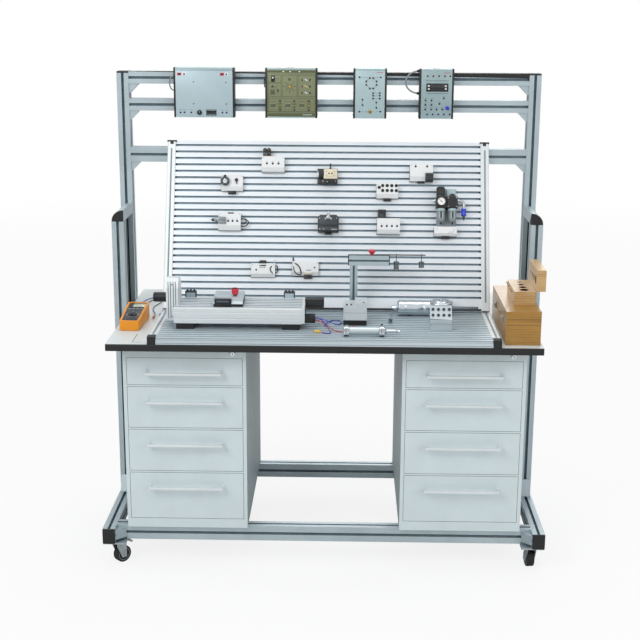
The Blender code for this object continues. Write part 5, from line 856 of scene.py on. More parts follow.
def buildBridgeUnit(look):
    face, base = hanging["face"], hanging["bottom"]
    parts = hungShell(look["middle"], look["width"], "panelPale", "panelPale", "panelPale")
    for finish, key in (("blackAbs", "black"), ("redAbs", "red"), ("blueAbs", "blue")):
        parts += frontSockets([(x, z, finish) for x, z in look[key]])
    ring = [(154, 148.4), (141.4, 136.1), (141.6, 123.2), (154.5, 110.4), (167.3, 110.5), (179.8, 123.4),
            (179.6, 136.3), (166.7, 148.4), (154, 148.4)]
    parts.append(printed(ring, 0.6, "slateInk"))
    for points in ([(116, 151.3), (154, 148.4)], [(194.6, 151.7), (166.7, 148.4)], [(167, 93.5), (191.8, 93.6)],
                   [(167, 84), (191.8, 84)], [(167, 73.4), (192, 73.4)], [(179.7, 59.2), (179.9, 39.2)],
                   [(128, 68.9), (128.1, 49.3)], [(116.7, 25.2), (149, 25)], [(162, 25), (195, 25.6)]):
        parts.append(printed(points, 0.6, "slateInk"))
    parts.append(printed([(180, 169), (203, 169)], 1.6, "redAbs"))
    x, z, radius = look["knob"]
    centre = (x, face - 0.9, base + z)
    parts.append((turnedProfile(softened([(0, 2), (radius, 2), (radius, 0), (0, 0)], 0.6), centre, (0, -1, 0), 26),
                  "yellowAbs"))
    parts.append((fluted(radius - 1.8, 0.5, 12, 1.5, 5.5, centre, (0, -1, 0)), "blackAbs"))
    parts.append((turnedProfile([(0, 6), (1.8, 5.9), (2, 5), (0, 5)], centre, (0, -1, 0), 14), "paleInk"))
    return makePiece("bridgeUnit", "bench", parts, ["bridge_unit"])


displayUnit = {
    "middle": 402, "width": 128,
    "red": [(367.7, 156.9), (388.7, 156.9), (409.6, 156.9), (431.2, 156.9), (451.8, 156.9)],
    "black": [(361.7, 68), (384, 68), (429.8, 76.2), (362, 51.5), (384, 51.6), (414, 55.6), (362, 34.7),
              (383.7, 35), (403.8, 34.7), (424.3, 34.8)],
    "blue": [(368.8, 16.7), (389.6, 16.9), (410.7, 17), (431.5, 17.2), (452.6, 17.3)],
    "display": (365, 101.8, 443.7, 128.7), "buttons": [(372.5, 121), (372.8, 110), (435.5, 120.6), (435.8, 110.3)],
    "knob": (443.6, 40, 7), "cable": (338, 92, 174, 50, 3),
}


def buildDisplayUnit(look):
    face, base = hanging["face"], hanging["bottom"]
    parts = hungShell(look["middle"], look["width"], "panelSteel", "panelPale", "panelPale")
    for finish, key in (("redAbs", "red"), ("blackAbs", "black"), ("blueAbs", "blue")):
        parts += frontSockets([(x, z, finish) for x, z in look[key]])
    left, low, right, high = look["display"]
    parts.append(patch(left - 1.5, low - 1.5, right + 1.5, high + 1.5, "blackAbs", 1.6))
    parts.append(patch(left + 13, low + 4, right - 13, high - 4, "darkGlass", 1.9))
    # four digits of seven segments, unlit
    for digit in range(4):
        x = left + 20 + digit * 11
        for points in ([(x, low + 7), (x, low + 20)], [(x + 6, low + 7), (x + 6, low + 20)],
                       [(x, low + 7), (x + 6, low + 7)], [(x, low + 13.5), (x + 6, low + 13.5)],
                       [(x, low + 20), (x + 6, low + 20)]):
            points = [(px, base + pz) for px, pz in points]
            parts.append((stroke(points, 1.1, face - 3.2, face - 2.6), "darkGreyAbs"))
    for x, z in look["buttons"]:
        parts.append(patch(x - 3.2, z - 3, x + 3.2, z + 3, "paleInk", 2.6))
    parts.append(printed([(364, 93), (443, 93)], 1.4, "slateInk"))
    parts.append(printed([(362, 140), (445, 140)], 1.4, "slateInk"))
    parts.append(printed([(430, 169), (454, 169)], 1.4, "redAbs"))
    for x, z in look["black"]:
        parts.append(printed([(x - 5, z + 7), (x + 5, z + 7)], 0.7, "slateInk"))
    x, z, radius = look["knob"]
    centre = (x, face - 0.9, base + z)
    parts.append((fluted(radius, 0.5, 14, 0, 9, centre, (0, -1, 0)), "blueAbs"))
    parts.append((roundedBlock((387, 190, base + 180), (415, 206, base + 183.2), 1), "darkGreyAbs"))
    x, low, high, bow, radius = look["cable"]
    a = np.linspace(0, math.pi, 21)
    line = np.column_stack([x - bow * np.sin(a), np.full(21, 197.5), base + (low + high) / 2
                            - (high - low) / 2 * np.cos(a)])
    line = np.vstack([line[0] + (6, 0, 0), line, line[-1] + (6, 0, 0)])
    parts.append((tubeAlong(line, radius, 14), "greyAbs"))
    for z in (low, high):
        parts.append((turnedProfile(softened([(0, 0), (5.4, 0), (5.4, 5), (3.6, 9), (0, 9)], 0.8),
                                    (x, 197.5, base + z), (-1, 0, 0), 16), "blackAbs"))
    return makePiece("displayUnit", "bench", parts, ["display_unit"])


buildPowerUnit(powerUnit)
buildProcessUnit(processUnit)
buildBridgeUnit(bridgeUnit)
buildDisplayUnit(displayUnit)
print("instruments built")


# Devices clipped to the leaning board, written in the board's own frame: X across, -Y out of it, Z up it

boardMatrix = Matrix.Translation((0, -26.684, 885.219)) @ Matrix.Rotation(math.radians(-22), 4, "X")
clipOn = {"lift": 0.4, "band": 0.24, "slope": 8, "rim": 1.1, "rimDepth": 3}

clipModules = {
    "optical_module": {"x": -204.5, "s": 548, "w": 85, "h": 58, "d": 30,
                       "sockets": [(19.5, 29, "redAbs"), (41.5, 29, "blackAbs"), (63, 29, "blueAbs")]},
    "limit_module": {"x": -357.5, "s": 476, "w": 81, "h": 60, "d": 22, "sockets": [(57, 39, "blackAbs")]},
    "probe_module": {"x": -363.5, "s": 328, "w": 83, "h": 66, "d": 26,
                     "sockets": [(37, 33, "redAbs"), (53, 33, "blackAbs"), (70, 33, "blueAbs")]},
    "relay_module": {"x": 352, "s": 520, "w": 86, "h": 64, "d": 26,
                     "sockets": [(21, 54, "blackAbs"), (64, 54, "blackAbs")]},
    "port_module": {"x": 224.5, "s": 450, "w": 81, "h": 57, "d": 26, "sockets": []},
    "colour_module": {"x": 229.5, "s": 314, "w": 85, "h": 57, "d": 30,
                      "sockets": [(17, 27, "redAbs"), (36, 27, "blackAbs"), (55, 27, "greyAbs"),
                                  (74, 27, "blueAbs")]},
    "reed_module": {"x": -235.5, "s": 145, "w": 89, "h": 52, "d": 14, "sockets": []},
    "strip_module": {"x": -78, "s": 153, "w": 98, "h": 53, "d": 14, "sockets": []},
}


def moulding(look):
    # side view: upright face, lower quarter sloping back; a dark rim stands out at its left and bottom edges
    left, low = look["x"] - look["w"] / 2, look["s"] - look["h"] / 2
    right, high, d = left + look["w"], low + look["h"], look["d"]
    crease = low + look["h"] * clipOn["band"]
    lift = clipOn["lift"]
    body = [(-lift, crease), (-d, crease), (-d, high - 2), (-d + 2, high), (-lift, high)]
    band = [(-lift, low), (-d + clipOn["slope"], low), (-d, crease), (-lift, crease)]
    rim = clipOn["rim"]
    parts = [(extruded(body, 0, left, right), "whiteAbs"), (extruded(band, 0, left, right), look.get("band", "whiteAbs")),
             (roundedBlock((left - rim, -lift - clipOn["rimDepth"], low - rim),
                           (right + rim * 0.3, -lift, high), 0.8), "blackAbs")]
    for x in (left + 5, right - 5):
        parts += screwHead((x, -d, high - 6), (0, -1, 0), 1.8)
    for x, z, finish in look["sockets"]:
        parts += collar((left + x, -d, low + z), (0, -1, 0), 4, 2, finish=finish)
        parts.append((roundedBlock((left + x - 3, -d - 0.25, low + z + 7), (left + x + 3, -d + 0.1, low + z + 8),
                                   0.1), "slateInk"))
    return parts, left, low


def clip(left, low, x, z, wide, high, depth):
    return (roundedBlock((left + x, -depth, low + z), (left + x + wide, -1, low + z + high), 1.5), "blackAbs")


def finishModule(name, parts):
    parts = [(placed(shape, boardMatrix), finish) for shape, finish in parts]
    title = name.split("_")[0] + "".join(word.capitalize() for word in name.split("_")[1:])
    return makePiece(title, "bench", parts, [name])


def opticalModule(look):
    parts, left, low = moulding(look)
    parts.append((roundedBlock((left + 4, -26, low + 52), (left + 33, -6, low + 84), 2.5), "blackAbs"))
    for x in (11, 26):
        ear = [(0, 0), (7.6, 0), (7.6, 18), (6.4, 20.5), (0, 20.5)]
        parts.append((turnedProfile(softened(ear, 1), (left + x, -7, low + 83), (0, -1, 0), 24), "blackAbs"))
        parts.append((turnedProfile([(0, 1.4), (3, 1), (4.4, 0), (4.4, -1), (0, -1)],
                                    (left + x, -27.6, low + 83), (0, -1, 0), 20), "darkGlass"))
    for x, z in ((9, 58), (28, 58), (9, 70), (28, 70)):
        parts += screwHead((left + x, -26, low + z), (0, -1, 0), 1.6)
    parts.append((roundedBlock((left + 15, -27.2, low + 60), (left + 22, -25.6, low + 74), 0.6), "darkGlass"))
    for z in (56, 62):
        parts.append((roundedBlock((left + 34, -18, low + z), (left + 37, -12, low + z + 3), 0.4), "brass"))
    return finishModule("optical_module", parts)


def limitModule(look):
    parts, left, low = moulding(look)
    centre = (left + 15, -4, low + 33)
    drum = [(0, 0), (17, 0), (17, 13), (15.4, 15), (15.4, 24), (17, 26), (17, 30), (15, 32), (9, 32), (9, 29.5),
            (0, 29.5)]
    parts.append((turnedProfile(softened(drum, 0.8), centre, (0, -1, 0), 32), "darkGreyAbs"))
    parts.append((turnedProfile([(0, 1), (8.4, 1), (8.8, 0), (0, 0)], (centre[0], -33.5, centre[2]),
                                (0, -1, 0), 24), "zincPlate"))
    parts.append((roundedBlock((left - 2, -20, low + 14), (left + 31, -4, low + 30), 2), "blackAbs"))
    parts.append((roundedBlock((left + 11.5, -35.6, low + 33), (left + 18.5, -33.6, low + 52), 0.9), "zincPlate"))
    parts.append((turnedProfile(softened([(0, 0), (5.2, 0), (5.2, 5), (0, 5)], 1), (left + 15, -32.4, low + 51),
                                (0, -1, 0), 20), "blackAbs"))
    parts.append((turnedProfile([(0, 0), (3, 0), (3, 8), (2, 9), (2, 14), (0, 15)], (left + 15, -14, low + 49),
                                (0, 0, 1), 16), "whiteAbs"))
    for a in range(6):
        angle = math.radians(a * 60)
        parts += screwHead((centre[0] + 13 * math.cos(angle), -36, centre[2] + 13 * math.sin(angle)),
                           (0, -1, 0), 1.3)
    x, z = left + 57, low + 39
    parts.append((turnedProfile(softened([(0, 4), (6.4, 4), (6.4, 0), (0, 0)], 0.8), (x, -22, z), (0, -1, 0), 24),
                  "blackAbs"))
    parts.append((tubeAlong(smoothCurve([(x, -24, z - 3), (x + 1, -27, z - 8), (x + 2, -25, z - 13),
                                         (x + 1, -22.4, z - 15)], 4), 1.6, 10), "blackJacket"))
    parts.append(clip(left, low, 25, -11, 30, 14, 14))
    return finishModule("limit_module", parts)


def probeModule(look):
    parts, left, low = moulding(look)
    parts.append((roundedBlock((left + 30, -25.5, low + 58), (left + 62, -7, low + 68.5), 1.2), "whiteAbs"))
    parts.append((roundedBlock((left + 34, -26.1, low + 60), (left + 58, -10, low + 65.6), 0.8), "blackAbs"))
    parts.append((roundedBlock((left + 2, -36, low + 22), (left + 28, -5, low + 47), 1.6), "greyAbs"))
    parts.append((roundedBlock((left + 5, -36.8, low + 34), (left + 25, -35.6, low + 35.2), 0.3), "blackAbs"))
    for x in (7, 23):
        parts += screwHead((left + x, -36, low + 27), (0, -1, 0), 2)
    centre = (left + 5, -20, low + 38)
    parts.append((threaded(7.2, 0.9, 2, 22, centre, (-1, 0, 0)), "zincPlate"))
    parts.append((hexNut(8.5, 6, 10, centre, (-1, 0, 0)), "zincPlate"))
    parts.append((hexNut(8.5, 14, 18, centre, (-1, 0, 0)), "zincPlate"))
    tip = [(0, 22), (5.8, 22), (5.8, 27), (4, 30), (1.6, 31), (1.6, 34), (0, 34.4)]
    parts.append((turnedProfile(softened(tip, 0.6), centre, (-1, 0, 0), 24), "darkGreyAbs"))
    for bow, drop, out in ((29, 26, 0), (20, 18, 5)):
        x, z = left + 83, low + 42
        line = [(x - 2, -14 - out, z), (x + bow * 0.55, -14 - out, z + 1), (x + bow, -14 - out, z - drop * 0.45),
                (x + bow * 0.6, -14 - out, z - drop), (x - 2, -14 - out, z - drop)]
        parts.append((tubeAlong(smoothCurve(line, 6), 1.9, 12), "darkGreyAbs"))
    return finishModule("probe_module", parts)


def relayModule(look):
    parts, left, low = moulding(look)
    parts.append((roundedBlock((left + 57, -34, low - 1), (left + 87, -5, low + 28), 1.6), "blackAbs"))
    for row in range(3):
        parts.append((roundedBlock((left + 60, -34.8, low + 4 + row * 8), (left + 84, -33.6, low + 8 + row * 8),
                                   0.5), "darkGreyAbs"))
    for x in (62, 72, 82):
        parts += screwHead((left + x, -34, low + 25), (0, -1, 0), 1.6)
    for x in (62, 68, 74, 80):
        parts.append((turnedProfile([(0, 0), (1.2, 0), (1.2, 5), (0, 5.4)], (left + x, -20, low + 27),
                                    (0, 0, 1), 10), "brass"))
    parts.append(clip(left, low, 28, -6, 28, 10, 14))
    return finishModule("relay_module", parts)


def portModule(look):
    parts, left, low = moulding(look)
    for x, z in [(10, 39)] + [(x, z) for z in (46, 27) for x in (23, 40, 57, 74)]:
        parts += collar((left + x, -26, low + z), (0, -1, 0), 6.2, 2.6, 0.5)
        parts.append((turnedProfile([(0, 1.2), (2.1, 1.2), (2.1, 0.4), (0, 0.4)], (left + x, -26, low + z),
                                    (0, -1, 0), 12), "blackAbs"))
    parts.append(clip(left, low, 26, -9, 29, 12, 14))
    return finishModule("port_module", parts)


def colourModule(look):
    parts, left, low = moulding(look)
    parts.append((roundedBlock((left + 2, -26, low + 50), (left + 33, -6, low + 91), 2.2), "blackAbs"))
    for x, z in ((10, 84), (25, 82)):
        eye = [(0, 0), (6, 0), (6, 2.4), (4.6, 2.6), (4.6, 1.4), (0, 1.4)]
        parts.append((turnedProfile(softened(eye, 0.3), (left + x, -25.6, low + z), (0, -1, 0), 22), "darkGreyAbs"))
        parts.append((turnedProfile([(0, 1.6), (3, 1.2), (4, 0), (0, 0)], (left + x, -26.8, low + z), (0, -1, 0), 20),
                      "darkGlass"))
    parts.append((roundedBlock((left + 11, -26.8, low + 60), (left + 24, -25.6, low + 74), 0.6), "darkGreyAbs"))
    for x, z in ((6, 55), (29, 55)):
        parts += screwHead((left + x, -26, low + z), (0, -1, 0), 1.7)
    return finishModule("colour_module", parts)


def reedModule(look):
    parts, left, low = moulding(look)
    top = [(left + 27, low + 46), (left + 59, low + 46), (left + 55, low + 63), (left + 31, low + 63)]
    parts.append((extruded(top, 1, -13.5, -2), "blackAbs"))
    parts.append((roundedBlock((left + 30, -14.8, low + 41), (left + 56, -13.6, low + 46), 0.5), "darkGlass"))
    for x in range(4):
        parts.append((roundedBlock((left + 31 + x * 6, -14.6, low + 34), (left + 34 + x * 6, -13.8, low + 38), 0.2),
                      "slateInk"))
    parts += collar((left + 19, -14, low + 27), (0, -1, 0), 3.4, 1.4)
    x, z = left + 84, low + 44
    line = [(x, -7, z), (x - 10, -15.5, z - 6), (x - 13, -16, z - 16), (x - 6, -15.5, z - 27), (x + 1, -8, z - 33)]
    parts.append((tubeAlong(smoothCurve(line, 6), 1.8, 12), "blackJacket"))
    line = [(left + 87, -7, low + 44), (left + 97, -7, low + 41), (left + 98, -7, low + 24), (left + 87, -7, low + 14)]
    parts.append((tubeAlong(smoothCurve(line, 6), 1.8, 12), "blackJacket"))
    parts.append((turnedProfile([(0, 0), (1.5, 0), (1.5, 17), (0, 18)], (left + 85, -7, low + 49), (0, 0, 1), 10),
                  "zincPlate"))
    parts.append((turnedProfile([(0, 0), (2.6, 0), (2.6, 5), (0, 5)], (left + 85, -7, low + 47), (0, 0, 1), 12),
                  "blackAbs"))
    return finishModule("reed_module", parts)


def stripModule(look):
    parts, left, low = moulding(look)
    probe = [(left + 3.4, -5, low + 44), (left + 2, -5, low + 56), (left + 1, -5, low + 68)]
    parts.append((roundedBlock((left + 0.5, -5.6, low + 48), (left + 5.5, -2, low + 69), 0.8), "darkGreyAbs"))
    line = [probe[0], (left + 14, -15.6, low + 43), (left + 27, -16, low + 30), (left + 33, -15.6, low + 12),
            (left + 33, -14, low + 4)]
    parts.append((tubeAlong(smoothCurve(line, 7), 2, 12), "blackJacket"))
    line = [(left + 3, -5.4, low + 47), (left + 5, -14, low + 30), (left + 9, -15.8, low + 14),
            (left + 20, -14, low + 4), (left + 33, -13.4, low + 2)]
    parts.append((tubeAlong(smoothCurve(line, 7), 1.6, 12), "blackJacket"))
    parts += collar((left + 83, -14, low + 30), (0, -1, 0), 3, 1.4)
    for x, wide in ((52, 4), (58, 8), (68, 3)):
        parts.append((roundedBlock((left + x, -14.6, low + 18), (left + x + wide, -13.8, low + 21), 0.2), "slateInk"))
    parts.append((roundedBlock((left + 47, -14.7, low + 6), (left + 76, -13.8, low + 12), 0.4), "creamAbs"))
    parts.append(clip(left, low, 43, -11, 30, 14, 11))
    return finishModule("strip_module", parts)


opticalModule(clipModules["optical_module"])
limitModule(clipModules["limit_module"])
probeModule(clipModules["probe_module"])
relayModule(clipModules["relay_module"])
portModule(clipModules["port_module"])
colourModule(clipModules["colour_module"])
reedModule(clipModules["reed_module"])
stripModule(clipModules["strip_module"])
print("clip-on modules built")

# Two solenoid valves and the air preparation unit

paleValve = {"x": 0, "s": 505, "w": 76, "h": 62, "d": 34, "coil": 19}
blackValve = {"x": 5, "s": 323, "w": 78, "h": 66, "d": 34}


def buildPaleValve(look):
    left, low = look["x"] - look["w"] / 2, look["s"] - look["h"] / 2
    parts = [(roundedBlock((left, -4, low + 3), (left + look["w"], -0.4, low + look["h"]), 1), "blackAbs"),
             (roundedBlock((left + 24, -32, low + 17), (left + look["w"] - 1, -4, low + 54), 2), "creamAbs"),
             (roundedBlock((left + 30, -34, low + 24), (left + look["w"] - 7, -30, low + 49), 1.4), "creamAbs"),
             (roundedBlock((left + 16, -30, low), (left + look["w"], -3, low + 16), 1.6), "blackAbs")]
    # coil along X, with its plastic cap and the pale plug
    centre = (left + 6, -19, low + 34)
    coil = [(0, 0), (15, 0), (16, 2), (16, 17), (15, 19), (0, 19)]
    parts.append((turnedProfile(softened(coil, 1), centre, (1, 0, 0), 28), "blackAbs"))
    for ring in range(4):
        parts.append((turnedProfile([(0, 0), (16.5, 0), (16.5, 1.4), (0, 1.4)],
                                    (centre[0] + 3 + ring * 4, centre[1], centre[2]), (1, 0, 0), 28), "darkGreyAbs"))
    parts.append((turnedProfile(softened([(0, 0), (9, 0), (9, 7), (6, 9), (0, 9)], 1), centre, (-1, 0, 0), 24),
                  "whiteAbs"))
    parts.append((roundedBlock((left - 3, -24, low + 41), (left + 6, -12, low + 50), 1.4), "greyAbs"))
    for x, z in ((36, 30), (62, 30), (36, 44), (62, 44)):
        parts += screwHead((left + x, -34, low + z), (0, -1, 0), 2.2)
    for x in (44, 55):
        parts += collar((left + x, -34, low + 37), (0, -1, 0), 3.2, 1, finish="brass")
    pin = [(0, 0), (4, 0), (4, 9), (2.6, 10), (2.6, 20), (3.6, 21), (3.6, 25), (0, 26)]
    parts.append((turnedProfile(softened(pin, 0.6), (left + 49, -18, low + 52), (0, 0, 1), 20), "blackAbs"))
    knob = [(0, 0), (9, 0), (9, 3), (7, 8), (0, 8)]
    parts.append((turnedProfile(softened(knob, 1), (left + 38, -28, low + 4), (0, -1, 0), 28), "blackAbs"))
    parts += screwHead((left + 38, -36, low + 4), (0, -1, 0), 2.6)
    for x in (22, 69):
        parts += screwHead((left + x, -30, low + 8), (0, -1, 0), 2.2)
    parts = [(placed(shape, boardMatrix), finish) for shape, finish in parts]
    return makePiece("paleValve", "bench", parts, ["pale_valve"])


def buildBlackValve(look):
    left, low = look["x"] - look["w"] / 2, look["s"] - look["h"] / 2
    right, high = left + look["w"], low + look["h"]
    parts = [(roundedBlock((left, -33, low), (right, -0.4, high - 8), 2.4, 3), "blackAbs"),
             (roundedBlock((left + 6, -34, low + 24), (right - 6, -6, high - 3), 2), "darkGreyAbs"),
             (roundedBlock((left + 3, -33.8, low + 3), (right - 3, -32, low + 17), 0.8), "darkGreyAbs"),
             (roundedBlock((left + 50, -34.4, low + 5), (right - 5, -32.6, low + 10), 0.6), "greyAbs")]
    # three push-in fittings on a star-shaped adapter
    hub = (left + 39, -24, high - 12)
    parts.append((turnedProfile(softened([(0, 0), (8, 0), (8, 12), (5, 14), (0, 14)], 1), hub, (0, -1, 0), 24),
                  "zincPlate"))
    for away, length in (((0, 0, 1), 22), ((-0.86, 0, -0.5), 20), ((0.86, 0, -0.5), 20)):
        arm = [(0, 0), (4.4, 0), (4.4, length * 0.5), (5.8, length * 0.56), (5.8, length * 0.72),
               (3.4, length * 0.8), (3.4, length), (0, length)]
        parts.append((turnedProfile(softened(arm, 0.7), (hub[0], hub[1] - 6, hub[2]), away, 18), "zincPlate"))
        end = Vector((hub[0], hub[1] - 6, hub[2])) + Vector(away) * length * 0.64
        parts.append((turnedProfile([(0, 4.4), (2.4, 4.4), (2.4, 0), (0, 0)], tuple(end), (0, -1, 0), 12), "blackAbs"))
    for x, z in ((7, 8), (71, 8), (7, 50), (71, 50), (22, 8)):
        parts += screwHead((left + x, -33, low + z), (0, -1, 0), 2.6)
    parts.append(clip(left, low, 26, -7, 26, 10, 14))
    parts = [(placed(shape, boardMatrix), finish) for shape, finish in parts]
    return makePiece("blackValve", "bench", parts, ["black_valve"])


airUnit = {"left": 424, "right": 467, "low": 380, "high": 425, "depth": -23.3, "front": -44.3, "back": -2.3,
           "bowl": 16.6, "bowlLength": 50, "valve": 509}


def buildAirUnit(look):
    y, low, high = look["depth"], look["low"], look["high"]
    parts = []
    # foot box and back plate
    foot = [(-0.4, 279), (-22, 279), (-30, 287), (-30, 311), (-28, 313), (-0.4, 313)]
    parts.append((extruded(foot, 0, 400, 483), "whiteAbs"))
    parts.append((roundedBlock((398.8, -3.4, 277.8), (484, -0.4, 313), 0.8), "blackAbs"))
    parts.append((clip(441.5, 279, -15, -9, 30, 12, 16)))
    for x in (410, 474):
        parts += screwHead((x, -30, 303), (0, -1, 0), 1.9)
    parts.append((stroke([(452, 285), (458, 293), (466, 290), (474, 300)], 0.9, -30.3, -29.8), "slateInk"))
    parts.append((roundedBlock((408.6, -4.6, 312), (482.4, -0.8, 461), 1), "greyAbs"))
    parts.append((roundedBlock((447, -9, 426), (481, -4.4, 459), 1.2), "panelPale"))
    # filter and lubricator heads
    parts.append((roundedBlock((405.2, look["front"] + 0.6, low), (444, look["back"], high), 2.6, 3), "blackAbs"))
    parts.append((roundedBlock((446, look["front"] + 0.6, low), (485.8, look["back"], high), 2.6, 3), "blackAbs"))
    parts.append((roundedBlock((442, look["front"] + 6, low + 6), (448, look["back"] - 6, high - 6), 1), "darkGreyAbs"))
    for x in (450, 481):
        for z in (386, 419):
            parts += screwHead((x, look["front"] + 0.6, z), (0, -1, 0), 2.2)
    for x in (look["left"], look["right"]):
        radius, drop = look["bowl"], look["bowlLength"]
        collarRing = [(0, 0.6), (radius + 0.4, 0.6), (radius + 0.4, -7), (radius - 0.6, -9), (0, -9)]
        parts.append((turnedProfile(softened(collarRing, 0.8), (x, y, low), (0, 0, 1), 32), "panelPale"))
        bowl = [(0, -8), (radius - 1.4, -8), (radius - 1.4, -drop * 0.66), (radius * 0.82, -drop * 0.85),
                (radius * 0.45, -drop), (0, -drop)]
        parts.append((turnedProfile(softened(bowl, 3, 4), (x, y, low), (0, 0, 1), 36), "greyBowl"))
        parts.append((roundedBlock((x - 3, y - radius + 0.9, low - 36), (x + 3, y - radius + 2.6, low - 12), 1.2),
                      "darkGlass"))
        for side in (-1, 1):
            parts.append((roundedBlock((x + side * 5.4 - 1, y - radius + 0.9, low - 38),
                                       (x + side * 5.4 + 1, y - radius + 2.8, low - 11), 0.6), "panelPale"))
        parts.append((turnedProfile(softened([(0, 0), (3, 0), (3, -6), (4, -7), (4, -9), (0, -9)], 0.5),
                                    (x, y, low - drop + 1), (0, 0, 1), 18), "blackAbs"))
    # gauge with its dial and pointer
    gauge = [(0, -6), (16.6, -6), (16.6, 5.4), (15.4, 6.2), (14.4, 6.2), (14.4, 5), (0, 5)]
    centre = (look["left"], look["front"] - 5.8, 402.5)
    parts.append((turnedProfile(softened(gauge, 0.5), centre, (0, -1, 0), 40), "blackAbs"))
    parts.append((turnedProfile([(0, 5.3), (14.2, 5.3), (14.2, 4.9), (0, 4.9)], centre, (0, -1, 0), 36), "dialPaper"))
    face = centre[1] - 5.3
    for mark in range(11):
        a = math.radians(225 - mark * 27)
        points = [(centre[0] + r * math.cos(a), centre[2] + r * math.sin(a)) for r in (10.6, 13)]
        parts.append((stroke(points, 0.7, face - 0.25, face + 0.1), "slateInk"))
    parts.append((stroke([(centre[0] + 4, centre[2] - 3), (centre[0] - 7.5, centre[2] + 7)], 1.3, face - 0.8,
                         face - 0.3), "blueAbs"))
    parts.append((turnedProfile([(0, 1), (1.8, 1), (1.8, 0), (0, 0)], (centre[0], face, centre[2]), (0, -1, 0), 14),
                  "blackAbs"))
    # lubricator cap and sight dome
    cap = [(0, 0), (11.6, 0), (11.6, 7), (9, 10), (5, 13.4), (0, 14)]
    parts.append((turnedProfile(softened(cap, 1.2), (look["right"], y, high), (0, 0, 1), 28), "blackAbs"))
    parts.append((turnedProfile(softened([(0, 0), (4, 0), (4, 5), (0, 6)], 0.8), (look["right"] - 8, y - 12, high - 1),
                                (0, 0, 1), 18), "darkGlass"))
    parts += screwHead((look["right"] + 8, y - 12, high), (0, 0, 1), 3)
    # inlet fitting at the left, elbow and slide valve at the right
    parts.append((hexNut(7.2, -1, 6, (405.5, y, 410), (-1, 0, 0)), "zincPlate"))
    parts.append((turnedProfile(softened([(0, 5), (4.6, 5), (4.6, 11), (0, 11)], 0.6), (405.5, y, 410), (-1, 0, 0), 18),
                  "chromePlate"))
    valve = look["valve"]
    elbow = smoothCurve([(485, y, 410), (496, y, 410), (504, y, 408), (valve, y, 401), (valve, y, 390)], 5)
    parts.append((tubeAlong(elbow, 5.6, 18), "zincPlate"))
    parts.append((hexNut(8, 0, 7, (485, y, 410), (1, 0, 0)), "zincPlate"))
    slide = [(0, 2), (4.8, 2), (4.8, -12), (0, -12)]
    parts.append((turnedProfile(softened(slide, 0.5), (valve, y, 392), (0, 0, 1), 20), "zincPlate"))
    sleeve = [(0, -11), (8.6, -11), (9.8, -13), (9.8, -18), (8.6, -20), (8.6, -29), (9.8, -31), (9.8, -35),
              (8.6, -37), (0, -37)]
    parts.append((turnedProfile(softened(sleeve, 0.8), (valve, y, 392), (0, 0, 1), 30), "blueAbs"))
    tail = [(0, -36), (5.2, -36), (5.2, -44), (3.6, -46), (3.6, -53), (0, -53.6)]
    parts.append((turnedProfile(softened(tail, 0.6), (valve, y, 392), (0, 0, 1), 20), "darkGreyAbs"))
    parts = [(placed(shape, boardMatrix), finish) for shape, finish in parts]
    return makePiece("airUnit", "bench", parts, ["air_unit"])


regulatorKnob = {"low": 425.6, "high": 462.6, "radius": 15.9}


def buildRegulatorKnob(look):
    centre = (airUnit["left"], airUnit["depth"], 0)
    parts = [(fluted(look["radius"], 1.1, 18, look["low"] + 4, look["high"], centre), "blackAbs"),
             (turnedProfile(softened([(0, look["low"]), (15.2, look["low"]), (15.2, look["low"] + 5),
                                      (0, look["low"] + 5)], 0.6), centre, (0, 0, 1), 32), "darkGreyAbs")]
    parts = [(placed(shape, boardMatrix), finish) for shape, finish in parts]
    return makePiece("regulatorKnob", "regulator_knob", parts, ["regulator_knob"])


buildPaleValve(paleValve)
buildBlackValve(blackValve)
buildAirUnit(airUnit)
buildRegulatorKnob(regulatorKnob)
print("valves and air unit built")

# Painted shade in the slot ends, and the corner clamps of the board

slotEnd = {"inset": 7, "first": 50, "pitch": 25, "count": 24, "corner": (572, 608, 628, 643)}


def buildBoardTrim(look):
    parts = []
    for number in range(look["count"]):
        s = look["first"] + number * look["pitch"]
        for side in (-1, 1):
            low, high = sorted((side * 576.2, side * (576.2 - look["inset"])))
            # dark boxes sunk in each slot's end: painted shade for the notch
            parts.append((roundedBlock((low, 0.5, s - 3.4), (high, 3, s + 3.4), 0.6), "blackNylon"))
    left, right, low, high = look["corner"]
    for side in (-1, 1):
        a, b = sorted((side * left, side * right))
        parts.append((roundedBlock((a, -5.6, high - 6), (b, 13, high), 1.2), "blackNylon"))
        a, b = sorted((side * (left + 12), side * (right - 12)))
        parts.append((roundedBlock((a, -5.6, low), (b, -3.4, high - 4), 0.8), "blackNylon"))
    parts = [(placed(shape, boardMatrix), finish) for shape, finish in parts]
    return makePiece("boardTrim", "bench", parts)


buildBoardTrim(slotEnd)


# Wheels and drawer pulls: round shapes over the CAD's faceted ones

wheel = {"round": 3.2, "hub": 24, "hubInset": 2.2, "cap": 9, "capOut": 0.4}


